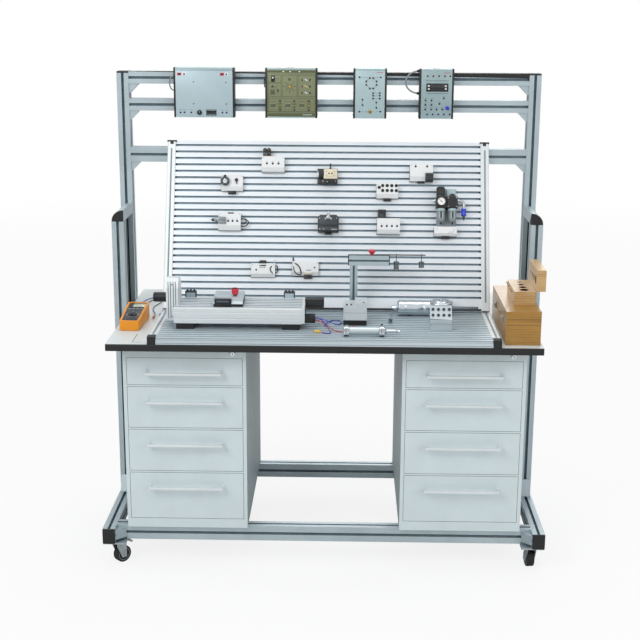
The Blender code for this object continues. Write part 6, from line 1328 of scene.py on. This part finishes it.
def buildWheel(corner, look):
    name = "wheel_" + corner
    joint = next(j for j in frame["record"]["behaviour"]["joints"] if j["name"] == corner + "_wheel_spin")
    axis, middle = np.array(joint["axis"], float), np.array(joint["pos_m"], float) / mm
    corners = np.array([v.co for v in nodes[name].data.vertices]) / mm - middle
    along = corners @ axis
    half = np.abs(along).max()
    radius = np.linalg.norm(corners - np.outer(along, axis), axis=1).max()
    tread = softened([(0, -half), (radius, -half), (radius, half), (0, half)], look["round"], 4)
    parts = [(turnedProfile(tread, middle, axis, 40), "tyreRubber")]
    for way in (-1, 1):
        face = [(0, half - look["hubInset"]), (look["hub"], half - look["hubInset"]), (look["hub"], half + 0.25),
                (look["hub"] - 2.5, half + 0.25), (look["hub"] - 5, half - 1), (look["cap"], half - 1),
                (look["cap"] - 1, half + look["capOut"]), (0, half + look["capOut"])]
        parts.append((turnedProfile(face, middle, [way * v for v in axis], 32), "wheelHub"))
    return makePiece("wheel" + corner.title().replace("_", ""), name, parts, [name])


for corner in casters:
    buildWheel(corner, wheel)

pull = {"half": 131, "out": 30.5, "radius": 5.2, "drop": 50, "bend": 9}


def buildPull(hand, number, look):
    name = f"drawer_{hand}_{number}"
    low, high = (np.array(v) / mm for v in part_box(name))
    x = -489.5 if hand == "left" else 489.5
    z, y = high[2] - look["drop"], cabinet["front"]
    half, out, bend = look["half"], look["out"], look["bend"]
    line = [(x - half, y - 1, z), (x - half, y - out + bend, z), (x - half + bend * 0.3, y - out + bend * 0.3, z),
            (x - half + bend, y - out, z), (x, y - out, z), (x + half - bend, y - out, z),
            (x + half - bend * 0.3, y - out + bend * 0.3, z), (x + half, y - out + bend, z), (x + half, y - 1, z)]
    parts = [(tubeAlong(smoothCurve(line, 4), look["radius"], 16), "pullNylon")]
    for side in (-half, half):
        parts.append((turnedProfile(softened([(0, -0.5), (8.5, -0.5), (8.5, 3), (0, 3)], 1.2),
                                    (x + side, y, z), (0, -1, 0), 24), "pullNylon"))
    return makePiece(f"pull{hand.title()}{number}", name, parts)


for hand in ("left", "right"):
    for number in range(1, 5):
        buildPull(hand, number, pull)

lock = {"xs": (-320, 659), "z": 802.2, "radius": 8.5}


def buildLocks(look):
    parts = []
    for x in look["xs"]:
        centre = (x, cabinet["front"], look["z"])
        for radius, reach, finish in ((look["radius"], 3.4, "blackAbs"), (look["radius"] - 2.6, 4.2, "polishedSteel")):
            barrel = softened([(0, -0.5), (radius, -0.5), (radius, reach), (0, reach)], 0.8)
            parts.append((turnedProfile(barrel, centre, (0, -1, 0), 28), finish))
        parts.append((roundedBlock((x - 0.8, cabinet["front"] - 4.7, look["z"] - 3.4),
                                   (x + 0.8, cabinet["front"] - 4, look["z"] + 3.4), 0.3), "blackAbs"))
    return makePiece("locks", "bench", parts)


buildLocks(lock)
print("wheels, pulls and locks built")

# Linear axis: painted shade for the end plate's slots, sensor pins, motor screws, sheath with its three leads

axisTrim = {
    "slotShade": (907, 1040, (-551, -543, -533, -525)), "sensors": (-488, -131), "pins": (-12, 0, 12),
    "sheath": ((-53.8, -301, 903.8), (-33.4, -261.6, 929.2)),
}


def buildAxisTrim(look):
    low, high, xs = look["slotShade"]
    parts = []
    # dark strips on the end plate's face: painted shade standing in for its slots
    for x in xs:
        parts.append((roundedBlock((x - 1.2, -266.35, low), (x + 1.2, -265.8, high), 0.2), "slateInk"))
    for z in (915, 1030):
        parts += screwHead((-538, -266.1, z), (0, -1, 0), 3.4)
    for x in look["sensors"]:
        for step in look["pins"]:
            pin = softened([(0, -0.5), (3, -0.5), (3, 4.5), (2.2, 6.5), (0, 6.5)], 0.6)
            parts.append((turnedProfile(pin, (x + step, -127, 976.4), (0, 0, 1), 14), "blackAbs"))
        parts.append((roundedBlock((x - 16, -135.4, 946), (x + 16, -134.8, 971), 0.2), "greyBlueAbs"))
        parts += screwHead((x - 11, -135.5, 950.5), (0, -1, 0), 1.8)
        parts += screwHead((x + 11, -135.5, 950.5), (0, -1, 0), 1.8)
    parts.append((roundedBlock(*look["sheath"], 2), "blackAbs"))
    for y in (-233, -203):
        for z in (949, 970):
            parts += screwHead((-4.1, y, z), (1, 0, 0), 1.9)
    for z in (957, 962, 967):
        parts.append((roundedBlock((-60, -238.4, z), (-10, -237.8, z + 1.6), 0.2), "darkGreyAbs"))
    fins = [(0, 560)]
    for step in range(8):
        start = 562 + step * 6
        fins += [(17.6, start), (17.6, start + 2.6), (15.6, start + 3.2), (15.6, start + 5.4)]
    fins += [(12, 610.6), (0, 610.6)]
    parts.append((turnedProfile(fins, (0, -218, 973.6), (-1, 0, 0), 36), "blackAbs"))
    return makePiece("axisTrim", "bench", parts)


carriageTrim = {"knob": (-318, -239.7), "low": 986.9, "high": 1012.9, "radius": 13}


def buildCarriageTrim(look):
    x, y = look["knob"]
    parts = [(fluted(look["radius"] - 1, 1.2, 8, look["low"] + 5, look["low"] + 13, (x, y, 0)), "redAbs"),
             (fluted(look["radius"], 1.6, 8, look["low"] + 14.5, look["high"], (x, y, 0)), "redAbs"),
             (turnedProfile([(0, look["low"] + 4), (9, look["low"] + 4), (9, look["high"] - 2),
                             (0, look["high"] - 2)], (x, y, 0), (0, 0, 1), 24), "redAbs"),
             (turnedProfile(softened([(0, look["low"]), (7.5, look["low"]), (7.5, look["low"] + 7),
                                      (0, look["low"] + 7)], 0.6), (x, y, 0), (0, 0, 1), 20), "blackAbs")]
    for sx in (-383, -297):
        for sy in (-268, -174):
            parts += screwHead((sx, sy, 986.9), (0, 0, 1), 2.8)
    parts.append((roundedBlock((-388, -278.2, 952), (-328, -262, 982), 1), "blackAbs"))
    parts.append((roundedBlock((-380, -278.6, 970), (-338, -277.9, 976), 0.2), "slateInk"))
    return makePiece("carriageTrim", "axis_carriage", parts)


buildAxisTrim(axisTrim)
buildCarriageTrim(carriageTrim)

# Deflection stand: knob, and the waisted weights on their wire hooks

weightLook = {"radius": 10.1, "waist": 9.2, "wire": 1.5, "high": {"long": 34, "short": 21}}


def buildWeight(kind, x, look):
    name = "weight_" + kind
    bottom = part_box(name)[0][2] / mm
    high, r, w = look["high"][kind], look["radius"], look["waist"]
    side = [(0, 0), (r, 0), (r, high * 0.16), (w, high * 0.22), (w, high * 0.46), (w + 0.7, high * 0.5),
            (w, high * 0.54), (w, high * 0.78), (r, high * 0.84), (r, high), (3.2, high), (2.6, high + 3),
            (0, high + 3)]
    parts = [(turnedProfile(softened(side, 0.8, 2), (x, -81, bottom), (0, 0, 1), 32), "dullSteel")]
    top = bottom + high + 2
    line = [(x, -81, top), (x, -81, 1093), (x, -76.5, 1095.9), (x, -72.9, 1099.5), (x, -72.6, 1104),
            (x, -75.5, 1107.8), (x, -81, 1109), (x, -86.5, 1107.8), (x, -89.4, 1104), (x, -89.2, 1099.8)]
    if top > 1091:
        line = [(x, -81, top)] + line[2:]
    parts.append((tubeAlong(smoothCurve(line, 5), look["wire"], 10), "dullSteel"))
    return makePiece("weight" + kind.title(), name, parts, [name])


buildWeight("long", 255, weightLook)
buildWeight("short", 346, weightLook)

stand = {"knob": (166, -81, 1107.6, 13, 17), "hookWeight": (234, -190, 879.4, 8, 15)}


def buildStandTrim(look):
    x, y, z, r, high = look["knob"]
    profile = softened([(0, 0), (r * 0.5, 0), (r * 0.5, high * 0.35), (r + 0.2, high * 0.5), (r + 0.2, high * 0.8),
                        (r * 0.7, high + 0.2), (0, high + 0.2)], 2, 4)
    parts = [(turnedProfile(profile, (x, y, z), (0, 0, 1), 32), "redAbs")]
    for side in (-1, 1):
        parts += screwHead((103, y, 1104.4), (0, 0, 1), 2.6)
    return makePiece("standTrim", "bench", parts)


def buildHookWeight(look):
    # a small spare weight that stands on the plate, with its question-mark hook
    x, y, z, r, high = look["hookWeight"]
    side = softened([(0, 0), (r, 0), (r, 3), (r * 0.8, 4), (r * 0.8, 11), (r, 12), (r, high), (0, high)], 0.6, 2)
    line = [(x, y, z + high - 1), (x, y, z + high + 5), (x + 4, y, z + high + 8), (x + 4.6, y, z + high + 12),
            (x, y, z + high + 15), (x - 4.4, y, z + high + 12)]
    parts = [(turnedProfile(side, (x, y, z), (0, 0, 1), 28), "dullSteel"),
             (tubeAlong(smoothCurve(line, 4), 0.9, 8), "dullSteel")]
    return makePiece("hookWeight", "bench", parts)


buildStandTrim(stand)
buildHookWeight(stand)
print("axis and stand finished")

# Cylinder, tube sensor, manifold and amplifier

cylinder = {"y": -373, "z": 897.6, "heads": ((65, 87), (187, 209)), "barrel": 12.6}


def buildCylinder(look):
    y, z = look["y"], look["z"]
    parts = [(turnedProfile([(0, 86), (look["barrel"], 86), (look["barrel"], 188), (0, 188)], (0, y, z), (1, 0, 0),
                            36), "brushedAluminium")]
    for left, right in look["heads"]:
        parts.append((roundedBlock((left, y - 16, 883.6), (right, y + 16, 913.6), 6, 4, 0), "polishedSteel"))
        parts.append((turnedProfile([(0, left + 8), (16.2, left + 8), (16.2, left + 11), (0, left + 11)], (0, y, z),
                                    (1, 0, 0), 32), "blackAbs"))
        parts.append((roundedBlock((left + 3, y - 14, 879.7), (right - 3, y + 14, 884), 0.6), "blackAbs"))
        middle = (left + right) / 2
        parts.append((hexNut(5.4, 0, 4, (middle, y, 913.4), (0, 0, 1)), "polishedSteel"))
        parts += collar((middle, y, 917), (0, 0, 1), 4.4, 5.4, 0.6, "blueAbs")
        for sy in (-11.5, 11.5):
            for sz in (888.5, 908.5):
                end, way = (left - 0.1, -1) if left < 100 else (right + 0.1, 1)
                parts += screwHead((end, y + sy, sz), (way, 0, 0), 1.9)
    parts.append((hexNut(10.5, 0, 6, (209.2, y, z), (1, 0, 0)), "zincPlate"))
    return makePiece("cylinderBody", "bench", parts, ["cylinder_barrel"])


def buildRod(look):
    y, z = look["y"], look["z"]
    profile = softened([(0, 150), (5, 150), (5, 243), (4.4, 243.5), (4.4, 260), (3.6, 261), (0, 261)], 0.4, 2)
    parts = [(turnedProfile(profile, (0, y, z), (1, 0, 0), 28), "chromePlate"),
             (threaded(4.6, 0.5, 1.25, 14, (246, y, z), (1, 0, 0)), "polishedSteel"),
             (hexNut(9, 246, 251.5, (0, y, z), (1, 0, 0)), "zincPlate")]
    return makePiece("cylinderRod", "cylinder_rod", parts, ["cylinder_rod"])


tubeSensor = {"y": -73, "z": 907.6, "puck": (421, -73)}


def buildTubeSensor(look):
    y, z = look["y"], look["z"]
    tube = softened([(0, 240), (5, 240), (10, 254.7), (10, 260), (21.9, 262), (27.9, 267), (27.9, 290),
                     (27.1, 290.6), (27.1, 292.4), (27.9, 293), (27.9, 356), (27.1, 356.6), (27.1, 358.4),
                     (27.9, 359), (27.9, 388), (0, 388)], 0.5, 2)
    px, py = look["puck"]
    puck = softened([(0, 892.6), (35, 892.6), (36.4, 905), (44.4, 906.4), (44.4, 930), (42.6, 932.6), (31, 933),
                     (29.8, 937.6), (0, 937.6)], 1.2, 3)
    parts = [(turnedProfile(tube, (0, y, z), (1, 0, 0), 56), "tubeSteel"),
             (turnedProfile(puck, (px, py, 0), (0, 0, 1), 64), "tubeSteel"),
             (turnedProfile([(0, 460), (8, 460), (8, 556.5), (7, 558), (0, 558)], (0, y, 905.6), (1, 0, 0), 28),
              "dullSteel"),
             (roundedBlock((300, y - 12, 879.6), (316, y + 12, 884), 0.6), "blackAbs")]
    for step in range(6):
        a = step * math.pi / 3
        parts += screwHead((px + 37 * math.cos(a), py + 37 * math.sin(a), 932.4), (0, 0, 1), 2.2)
    parts.append((turnedProfile(softened([(0, 937), (9, 937), (9, 940), (7, 942), (0, 942)], 0.8), (px, py, 0),
                                (0, 0, 1), 6), "zincPlate"))
    return makePiece("tubeSensor", "bench", parts, ["tube_sensor"])


manifold = {"xs": (378.5, 397.5, 416.5, 435.5), "rows": ((-284.84, 932.8), (-274.72, 951.2)),
            "out": (0, -0.8762, 0.4819)}


def buildManifoldPorts(look):
    parts = []
    for y, z in look["rows"]:
        for x in look["xs"]:
            out = look["out"]
            centre = (x, y + out[1] * 3.2, z + out[2] * 3.2)
            parts += collar(centre, out, 5.2, 1.2, 0.6, "blackAbs")
    for x in (374, 440):
        parts += screwHead((x, -293.1, 900), (0, -1, 0), 2.4)
    parts.append((roundedBlock((369.4, -293.25, 903), (444.6, -292.8, 904), 0.1), "slateInk"))
    return makePiece("manifoldPorts", "bench", parts)


amplifier = {"front": -234, "holes": (77, 92), "level": 956, "screws": (70, 143)}


def buildAmplifierTrim(look):
    y = look["front"]
    parts = [(roundedBlock((66, y - 0.25, 925), (147, y + 0.2, 925.8), 0.1), "slateInk")]
    for x in look["holes"]:
        parts += collar((x, y, look["level"]), (0, -1, 0), 3, 1)
    for x in look["screws"]:
        parts += screwHead((x, y, 904), (0, -1, 0), 1.8)
    return makePiece("amplifierTrim", "bench", parts)


buildCylinder(cylinder)
buildRod(cylinder)
buildTubeSensor(tubeSensor)
buildManifoldPorts(manifold)
buildAmplifierTrim(amplifier)
print("devices on the plate built")

# Wooden cases: hook clasps, lid band, turned weights' wells

cases = {"clasps": (-281.5, -88.8), "left": 622, "line": 924.3,
         "wells": ((15, 0), (12, 1), (9, 2), (6.5, 3)), "wellX": 698, "wellY": -279, "top": 1018.3}


def buildCaseTrim(look):
    parts = []
    x = look["left"]
    for y in look["clasps"]:
        parts.append((roundedBlock((x - 4.4, y - 8.2, look["line"] - 13), (x - 3.4, y + 8.2, look["line"] - 3), 0.4),
                      "zincPlate"))
        parts.append((roundedBlock((x - 4.4, y - 6, look["line"] + 3), (x - 3.4, y + 6, look["line"] + 11), 0.4),
                      "zincPlate"))
        line = [(x - 5, y - 4, look["line"] - 8), (x - 6, y - 4, look["line"]), (x - 5.4, y - 3, look["line"] + 8),
                (x - 5.2, y, look["line"] + 9.5), (x - 5.4, y + 3, look["line"] + 8), (x - 6, y + 4, look["line"]),
                (x - 5, y + 4, look["line"] - 8)]
        parts.append((tubeAlong(smoothCurve(line, 4), 0.9, 8), "zincPlate"))
    for level in (look["line"] - 0.6, 943):
        parts.append((roundedBlock((x - 0.2, -384.2, level), (x + 0.3, 26.2, level + 1.2), 0.05), "darkWood"))
        parts.append((roundedBlock((x, -384.25, level), (742, -383.8, level + 1.2), 0.05), "darkWood"))
    for radius, index in look["wells"]:
        y = look["wellY"] + 42 * (index + 0.75)
        rim = [(radius * 0.97, -0.1), (radius + 1.2, -0.1), (radius + 1.2, 0.12), (radius * 0.97, 0.12)]
        parts.append((turnedProfile(rim + rim[:1], (look["wellX"], y, look["top"]), (0, 0, 1), 36), "darkWood"))
    return makePiece("caseTrim", "bench", parts)


buildCaseTrim(cases)

marks = {"left": (-662, -630), "near": -395, "far": -285, "wide": 2.2, "level": 854.05}


def buildMarks(look):
    # two L-shaped marks printed on the worktop that show where a case stands
    left, right = look["left"]
    z, w = look["level"], look["wide"]
    parts = [(roundedBlock((left, look["near"], z), (left + w, look["far"], z + 0.25), 0.1), "slateInk"),
             (roundedBlock((left, look["near"], z), (right, look["near"] + w, z + 0.25), 0.1), "slateInk")]
    return makePiece("worktopMarks", "bench", parts)


buildMarks(marks)
print("cases and marks built")

# Meter in its orange holster: lofted body, raised rim, dark sunk face, display, keys and dial

meter = {
    "x": -697, "y": -243, "z": 854.3, "turn": -2, "tilt": 8, "near": 35, "far": 39, "length": 186, "high": 36,
    "round": 7, "rim": 7, "sunk": 3, "display": (-12, 138, 27, 170), "keys": (122, (-21, -7, 7, 21)),
    "sockets": (17, (-21, -7, 7, 21)), "dial": 67, "jacks": (14, 28),
}
meterMatrix = (Matrix.Translation((meter["x"], meter["y"], meter["z"]))
               @ Matrix.Rotation(math.radians(meter["turn"]), 4, "Z"))
meterRise = math.tan(math.radians(meter["tilt"]))


def meterSpread(flat, look):
    # the outline widens evenly from the near end to the far end
    flat = np.array(flat, float)
    flat[:, 0] *= (look["near"] + (look["far"] - look["near"]) * flat[:, 1] / look["length"]) / look["near"]
    return flat


def meterSlab(left, near, right, far, low, high, radius, look):
    # rounded slab whose top and bottom follow the slope of the face
    rings = []
    for level, inset in ((low, 0), (high - 0.4, 0), (high, 0.4)):
        flat = meterSpread(roundedRing((left + inset, near + inset), (right - inset, far - inset), radius, 4), look)
        rings.append(np.column_stack([flat, look["high"] + flat[:, 1] * meterRise + level]))
    return skinned(rings)


def meterRim(look):
    # closed band round the face: outer foot, outer edge, inner edge, inner foot
    near, length, rim = look["near"], look["length"], look["rim"]
    outer = meterSpread(roundedRing((-near, 0.6), (near, length - 0.6), look["round"], 5), look)
    inner = meterSpread(roundedRing((rim - near, rim), (near - rim, length - rim), 4, 5), look)
    count = len(outer)
    rows = []
    for flat, level in ((outer, -3.4), (outer * 0.999, -0.8), (outer * 0.2 + inner * 0.8, 0), (inner, -0.6),
                        (inner, -3.4)):
        rows.append(np.column_stack([flat, look["high"] + flat[:, 1] * meterRise + level]))
    points = np.concatenate(rows)
    row, column = np.meshgrid(np.arange(len(rows)), np.arange(count), indexing="ij")
    nextRow, after = (row + 1) % len(rows), (column + 1) % count
    faces = np.stack([row * count + column, row * count + after, nextRow * count + after,
                      nextRow * count + column], -1).reshape(-1, 4).tolist()
    return points, faces


def buildMeter(look):
    rings = []
    length = look["length"]
    for y, inset in ((0, 2.4), (0.7, 0.9), (2.6, 0), (60, 0), (120, 0), (length - 2.6, 0), (length - 0.7, 0.9),
                     (length, 2.4)):
        half = look["near"] + (look["far"] - look["near"]) * y / length - inset
        top = look["high"] + y * meterRise - look["sunk"]
        flat = roundedRing((-half, inset), (half, top), look["round"] - inset, 4)
        rings.append(np.column_stack([flat[:, 0], np.full(len(flat), y), flat[:, 1]]))
    near, rim = look["near"], look["rim"]
    parts = [(skinned(rings), "orangeAbs"), (meterRim(look), "orangeAbs"),
             (meterSlab(rim - near + 0.2, rim + 0.2, near - rim - 0.2, length - rim - 0.2, -3.2, -2.2, 4, look),
              "darkGreyAbs"),
             (meterSlab(rim - near + 4, 132, near - rim - 4, length - rim - 3, -2.6, -1.2, 3, look), "blackAbs"),
             (meterSlab(*look["display"], -1.4, -0.7, 1.2, look), "paleDisplay")]
    level, xs = look["keys"]
    for x in xs:
        parts.append((meterSlab(x - 5, level - 3.4, x + 5, level + 3.4, -2.4, -1.0, 2, look), "greyAbs"))
    slope = Matrix.Rotation(math.radians(look["tilt"]), 4, "X")
    up = slope @ Vector((0, 0, 1))
    level, xs = look["sockets"]
    for x, finish in zip(xs, ("redAbs", "blackAbs", "blackAbs", "redAbs")):
        parts += collar((x, level, look["high"] + level * meterRise - 2.2), tuple(up), 4.4, 1.4, 0.55, finish)
    seat = Vector((0, look["dial"], look["high"] + look["dial"] * meterRise - 2.2))
    for step in range(20):
        a = step * math.pi / 10
        reach = 22.5 if step % 5 else 24
        bar = roundedBlock((18.6, -0.45, 0), (reach, 0.45, 0.25), 0.1)
        turned = Matrix.Translation(seat) @ slope @ Matrix.Rotation(a, 4, "Z")
        parts.append((placed(bar, turned), "paleInk"))
    for x in look["jacks"]:
        jack = softened([(0, -2), (5, -2), (5, 2.6), (0, 2.6)], 0.5)
        parts.append((turnedProfile(jack, (x, length, 18), (0, 1, 0), 20), "blackAbs"))
    parts = [(placed(shape, meterMatrix), finish) for shape, finish in parts]
    return makePiece("meter", "bench", parts, ["meter_body"])


def buildMeterDial(look):
    slope = Matrix.Rotation(math.radians(look["tilt"]), 4, "X")
    face = look["high"] + look["dial"] * meterRise - look["sunk"] + 0.9
    seat = meterMatrix @ Matrix.Translation((0, look["dial"], face)) @ slope
    disc = softened([(0, 0), (16, 0), (16, 2.2), (15, 4.4), (0, 4.4)], 0.8, 3)
    grip = roundedBlock((-2.6, -13, 3.8), (2.6, 13, 8.2), 1.6, 3)
    mark = roundedBlock((-0.5, 4, 8), (0.5, 12, 8.35), 0.15)
    parts = [(turnedProfile(disc, sides=44), "blackAbs"), (grip, "blackAbs"), (mark, "paleInk")]
    parts = [(placed(shape, seat), finish) for shape, finish in parts]
    return makePiece("meterDial", "meter_dial", parts, ["meter_dial"])


buildMeter(meter)
buildMeterDial(meter)

# Leads: limp jackets on smooth lines, each with a plug on its end

leads = {
    "meterLead": {
        "node": "meter_lead", "plugNode": "meter_plug", "jacket": "blackJacket", "plug": "redAbs", "radius": 1.6,
        "tip": (-638, -79, 859.1), "grip": 4.3,
        "route": [(-662.4, -54.8, 872.3), (-661.8, -38, 871.5), (-672, 0, 862), (-691, 60, 856.1),
                  (-700, 130, 856.1), (-690, 200, 856.1), (-668, 248, 856.1), (-648, 238, 856.1),
                  (-645, 190, 856.1), (-660, 120, 856.1), (-657, 60, 856.1), (-643, 10, 857), (-637, -28, 859),
                  (-636, -45, 859.1)]},
    "axisLead": {
        "node": "axis_lead", "plugNode": "axis_plug", "jacket": "blueJacket", "plug": "blueAbs", "radius": 1.6,
        "tip": (-2, -254, 884.4), "grip": 4.3,
        "route": [(-33.4, -280, 916.6), (-20, -280, 916), (5, -277, 908), (30, -262, 893), (48, -235, 882.6),
                  (58, -205, 881.4), (52, -176, 881.4), (35, -166, 881.4), (19, -178, 881.6), (9, -203, 883.6),
                  (5, -221, 884.4)]},
    "violetLead": {
        "jacket": "violetJacket", "plug": "blueAbs", "radius": 1.6, "tip": (-619, -38, 858.8), "grip": 4.3,
        "route": [(-676.2, -54.0, 872.2), (-679, -36, 870), (-694, -6, 861), (-709, 34, 856), (-718, 90, 855.9),
                  (-718, 150, 855.9), (-713, 206, 855.9), (-698, 250, 855.9), (-672, 274, 855.9),
                  (-644, 268, 855.9), (-627, 238, 855.9), (-622, 190, 855.9), (-624, 130, 855.9),
                  (-621, 70, 855.9), (-617, 26, 857.5), (-617, -4, 858.8)]},
    "redLead": {
        "jacket": "redJacket", "plug": "redAbs", "radius": 1.6, "tip": (99, -262, 884.2), "grip": 4.3,
        "route": [(-33.2, -288, 911), (-20, -288.4, 910), (2, -292, 899), (20, -301, 886.6), (38, -316, 881.2),
                  (60, -328, 881.1), (84, -331, 881.1), (104, -322, 881.2), (110, -308, 882.6),
                  (106, -295, 884.2)]},
    "yellowLead": {
        "jacket": "violetJacket", "plug": "yellowAbs", "radius": 1.6, "tip": (-38, -331, 884.2), "grip": 4.3,
        "route": [(-33.2, -294, 922), (-20, -296, 921), (2, -306, 904), (15, -320, 886.5), (22, -338, 881.1),
                  (15, -352, 881.1), (-1, -352, 882.4), (-11, -342, 884.2)]},
}


def buildPlug(name, start, tip, look):
    # banana plug: bend relief, ribbed grip and a gold pin, turned about its own line
    axis = Vector(tip) - Vector(start)
    length = axis.length
    grip = look["grip"]
    side = [(0, 0.3), (2.1, 0.3), (2.5, 1.2), (3.3, 6), (grip, 7.4), (grip, 11), (grip - 0.5, 11.6),
            (grip - 0.5, 12.8), (grip, 13.4), (grip, 14.4), (grip - 0.5, 15), (grip - 0.5, 16.2), (grip, 16.8),
            (grip, 20.6), (3, 21.6), (0, 21.6)]
    pin = [(0, 21.2), (1.8, 21.2), (1.8, 22.4), (2.15, 24.5), (2.15, 27.5), (1.8, 30), (1.5, length - 1), (0, length)]
    parts = [(turnedProfile(side, start, axis, 22), look["plug"]), (turnedProfile(pin, start, axis, 14), "brass")]
    replaced = [look["plugNode"]] if "plugNode" in look else []
    return makePiece(name + "Plug", "bench", parts, replaced)


def buildLead(name, look):
    line = smoothCurve(look["route"], 8)
    plug = buildPlug(name, look["route"][-1], look["tip"], look)
    replaced = [look["node"]] if "node" in look else []
    piece = makePiece(name, "bench", [(tubeAlong(line, look["radius"], 14), look["jacket"])], replaced)
    length = float(np.linalg.norm(np.diff(line * mm, axis=0), axis=1).sum())
    return length


for name, look in leads.items():
    print(name, round(buildLead(name, look), 4), "m")

# End strips of the plate and the board


def buildPlateTrim():
    # grey line along the middle of each end strip of the plate and of the board
    parts = []
    for side in (-1, 1):
        parts.append((roundedBlock((side * 591 - 3, -395, 881.1), (side * 591 + 3, 4, 881.6), 0.15), "greyAbs"))
        for y in (-380, -200, -30):
            parts += screwHead((side * 591, y, 881.4), (0, 0, 1), 3.2)
        board = roundedBlock((side * 591 - 3, -4.5, 32), (side * 591 + 3, -3.8, 612), 0.15)
        parts.append((placed(board, boardMatrix), "greyAbs"))
    # dark strip along the board's foot where it meets the plate, and three fine dark lines along the plate's front edge
    parts.append((placed(roundedBlock((-575, -1.2, 0.5), (575, 0.2, 8), 0.3), boardMatrix), "blackNylon"))
    for z, high in ((858.5, 1.2), (871, 0.8), (876, 1.4)):
        parts.append((roundedBlock((-575, -423.3, z), (575, -422.8, z + high), 0.1), "slateInk"))
    return makePiece("plateTrim", "bench", parts)


buildPlateTrim()
print("leads and plate trim built")


# Studio: pale floor that keeps the shadow, white backdrop, soft lamps

studio = {
    "floorSize": 60, "floorColour": "#F4F5F5", "floorGlow": (0.84, 1.0), "glowReach": (1.2, 9), "worldLight": 0.42,
    "lamps": (
        {"name": "keyLamp", "place": (-2.6, -3.4, 3.6), "size": 2.4, "power": 95},
        {"name": "fillLamp", "place": (3.2, -2.6, 2.2), "size": 2.6, "power": 42},
        {"name": "topLamp", "place": (0.2, 0.4, 4.2), "size": 2.8, "power": 45},
        {"name": "backLamp", "place": (0.5, 3.6, 2.8), "size": 2.4, "power": 35},
    ),
    "aim": (0, 0, 0.9),
}


def makeStudio(look):
    world = bpy.data.worlds.new("studio")
    world.use_nodes = True
    bpy.context.scene.world = world
    tree = world.node_tree
    tree.nodes.clear()
    path = addNode(tree, "ShaderNodeLightPath")
    seen = addNode(tree, "ShaderNodeMath", {0: path.outputs["Is Camera Ray"], 1: path.outputs["Is Glossy Ray"]},
                   operation="MAXIMUM").outputs[0]
    seen = addNode(tree, "ShaderNodeMath", {0: seen, 1: path.outputs["Is Transmission Ray"]},
                   operation="MAXIMUM").outputs[0]
    light = addNode(tree, "ShaderNodeBackground", {"Color": (1, 1, 1, 1), "Strength": look["worldLight"]})
    white = addNode(tree, "ShaderNodeBackground", {"Color": (1, 1, 1, 1), "Strength": 1.0})
    both = addNode(tree, "ShaderNodeMixShader", {0: seen, 1: light.outputs[0], 2: white.outputs[0]})
    addNode(tree, "ShaderNodeOutputWorld", {0: both.outputs[0]})

    material = bpy.data.materials.new("paperFloor")
    material.use_nodes = True
    tree = material.node_tree
    tree.nodes.clear()
    path = addNode(tree, "ShaderNodeLightPath")
    paper = addNode(tree, "ShaderNodeBsdfDiffuse", {"Color": linear(look["floorColour"]) + [1]})
    glow = addNode(tree, "ShaderNodeEmission", {"Color": (1, 1, 1, 1), "Strength": 1.0})
    # away from the object the paper glows more, so that it meets the white backdrop without a line
    place = addNode(tree, "ShaderNodeTexCoord").outputs["Object"]
    away = addNode(tree, "ShaderNodeVectorMath", {0: place}, operation="LENGTH").outputs["Value"]
    (low, high), (start, stop) = look["floorGlow"], look["glowReach"]
    glowing = addNode(tree, "ShaderNodeMapRange", {"Value": away, "From Min": start, "From Max": stop,
                                                   "To Min": low, "To Max": high}).outputs[0]
    share = addNode(tree, "ShaderNodeMath", {0: path.outputs["Is Camera Ray"], 1: glowing},
                    operation="MULTIPLY").outputs[0]
    both = addNode(tree, "ShaderNodeMixShader", {0: share, 1: paper.outputs[0], 2: glow.outputs[0]})
    addNode(tree, "ShaderNodeOutputMaterial", {0: both.outputs[0]})
    half = look["floorSize"] / 2
    mesh = bpy.data.meshes.new("floor")
    mesh.from_pydata([(-half, -half, -0.0005), (half, -half, -0.0005), (half, half, -0.0005),
                      (-half, half, -0.0005)], [], [(0, 1, 2, 3)])
    mesh.materials.append(material)
    floor = bpy.data.objects.new("floor", mesh)
    bpy.context.scene.collection.objects.link(floor)

    for lamp in look["lamps"]:
        data = bpy.data.lights.new(lamp["name"], "AREA")
        data.shape = "SQUARE"
        data.size = lamp["size"]
        data.energy = lamp["power"]
        source = bpy.data.objects.new(lamp["name"], data)
        source.location = lamp["place"]
        toward = Vector(look["aim"]) - Vector(lamp["place"])
        source.rotation_euler = toward.to_track_quat("-Z", "Y").to_euler()
        bpy.context.scene.collection.objects.link(source)


makeStudio(studio)
bpy.context.scene.view_settings.view_transform = "Standard"
print("studio lit")
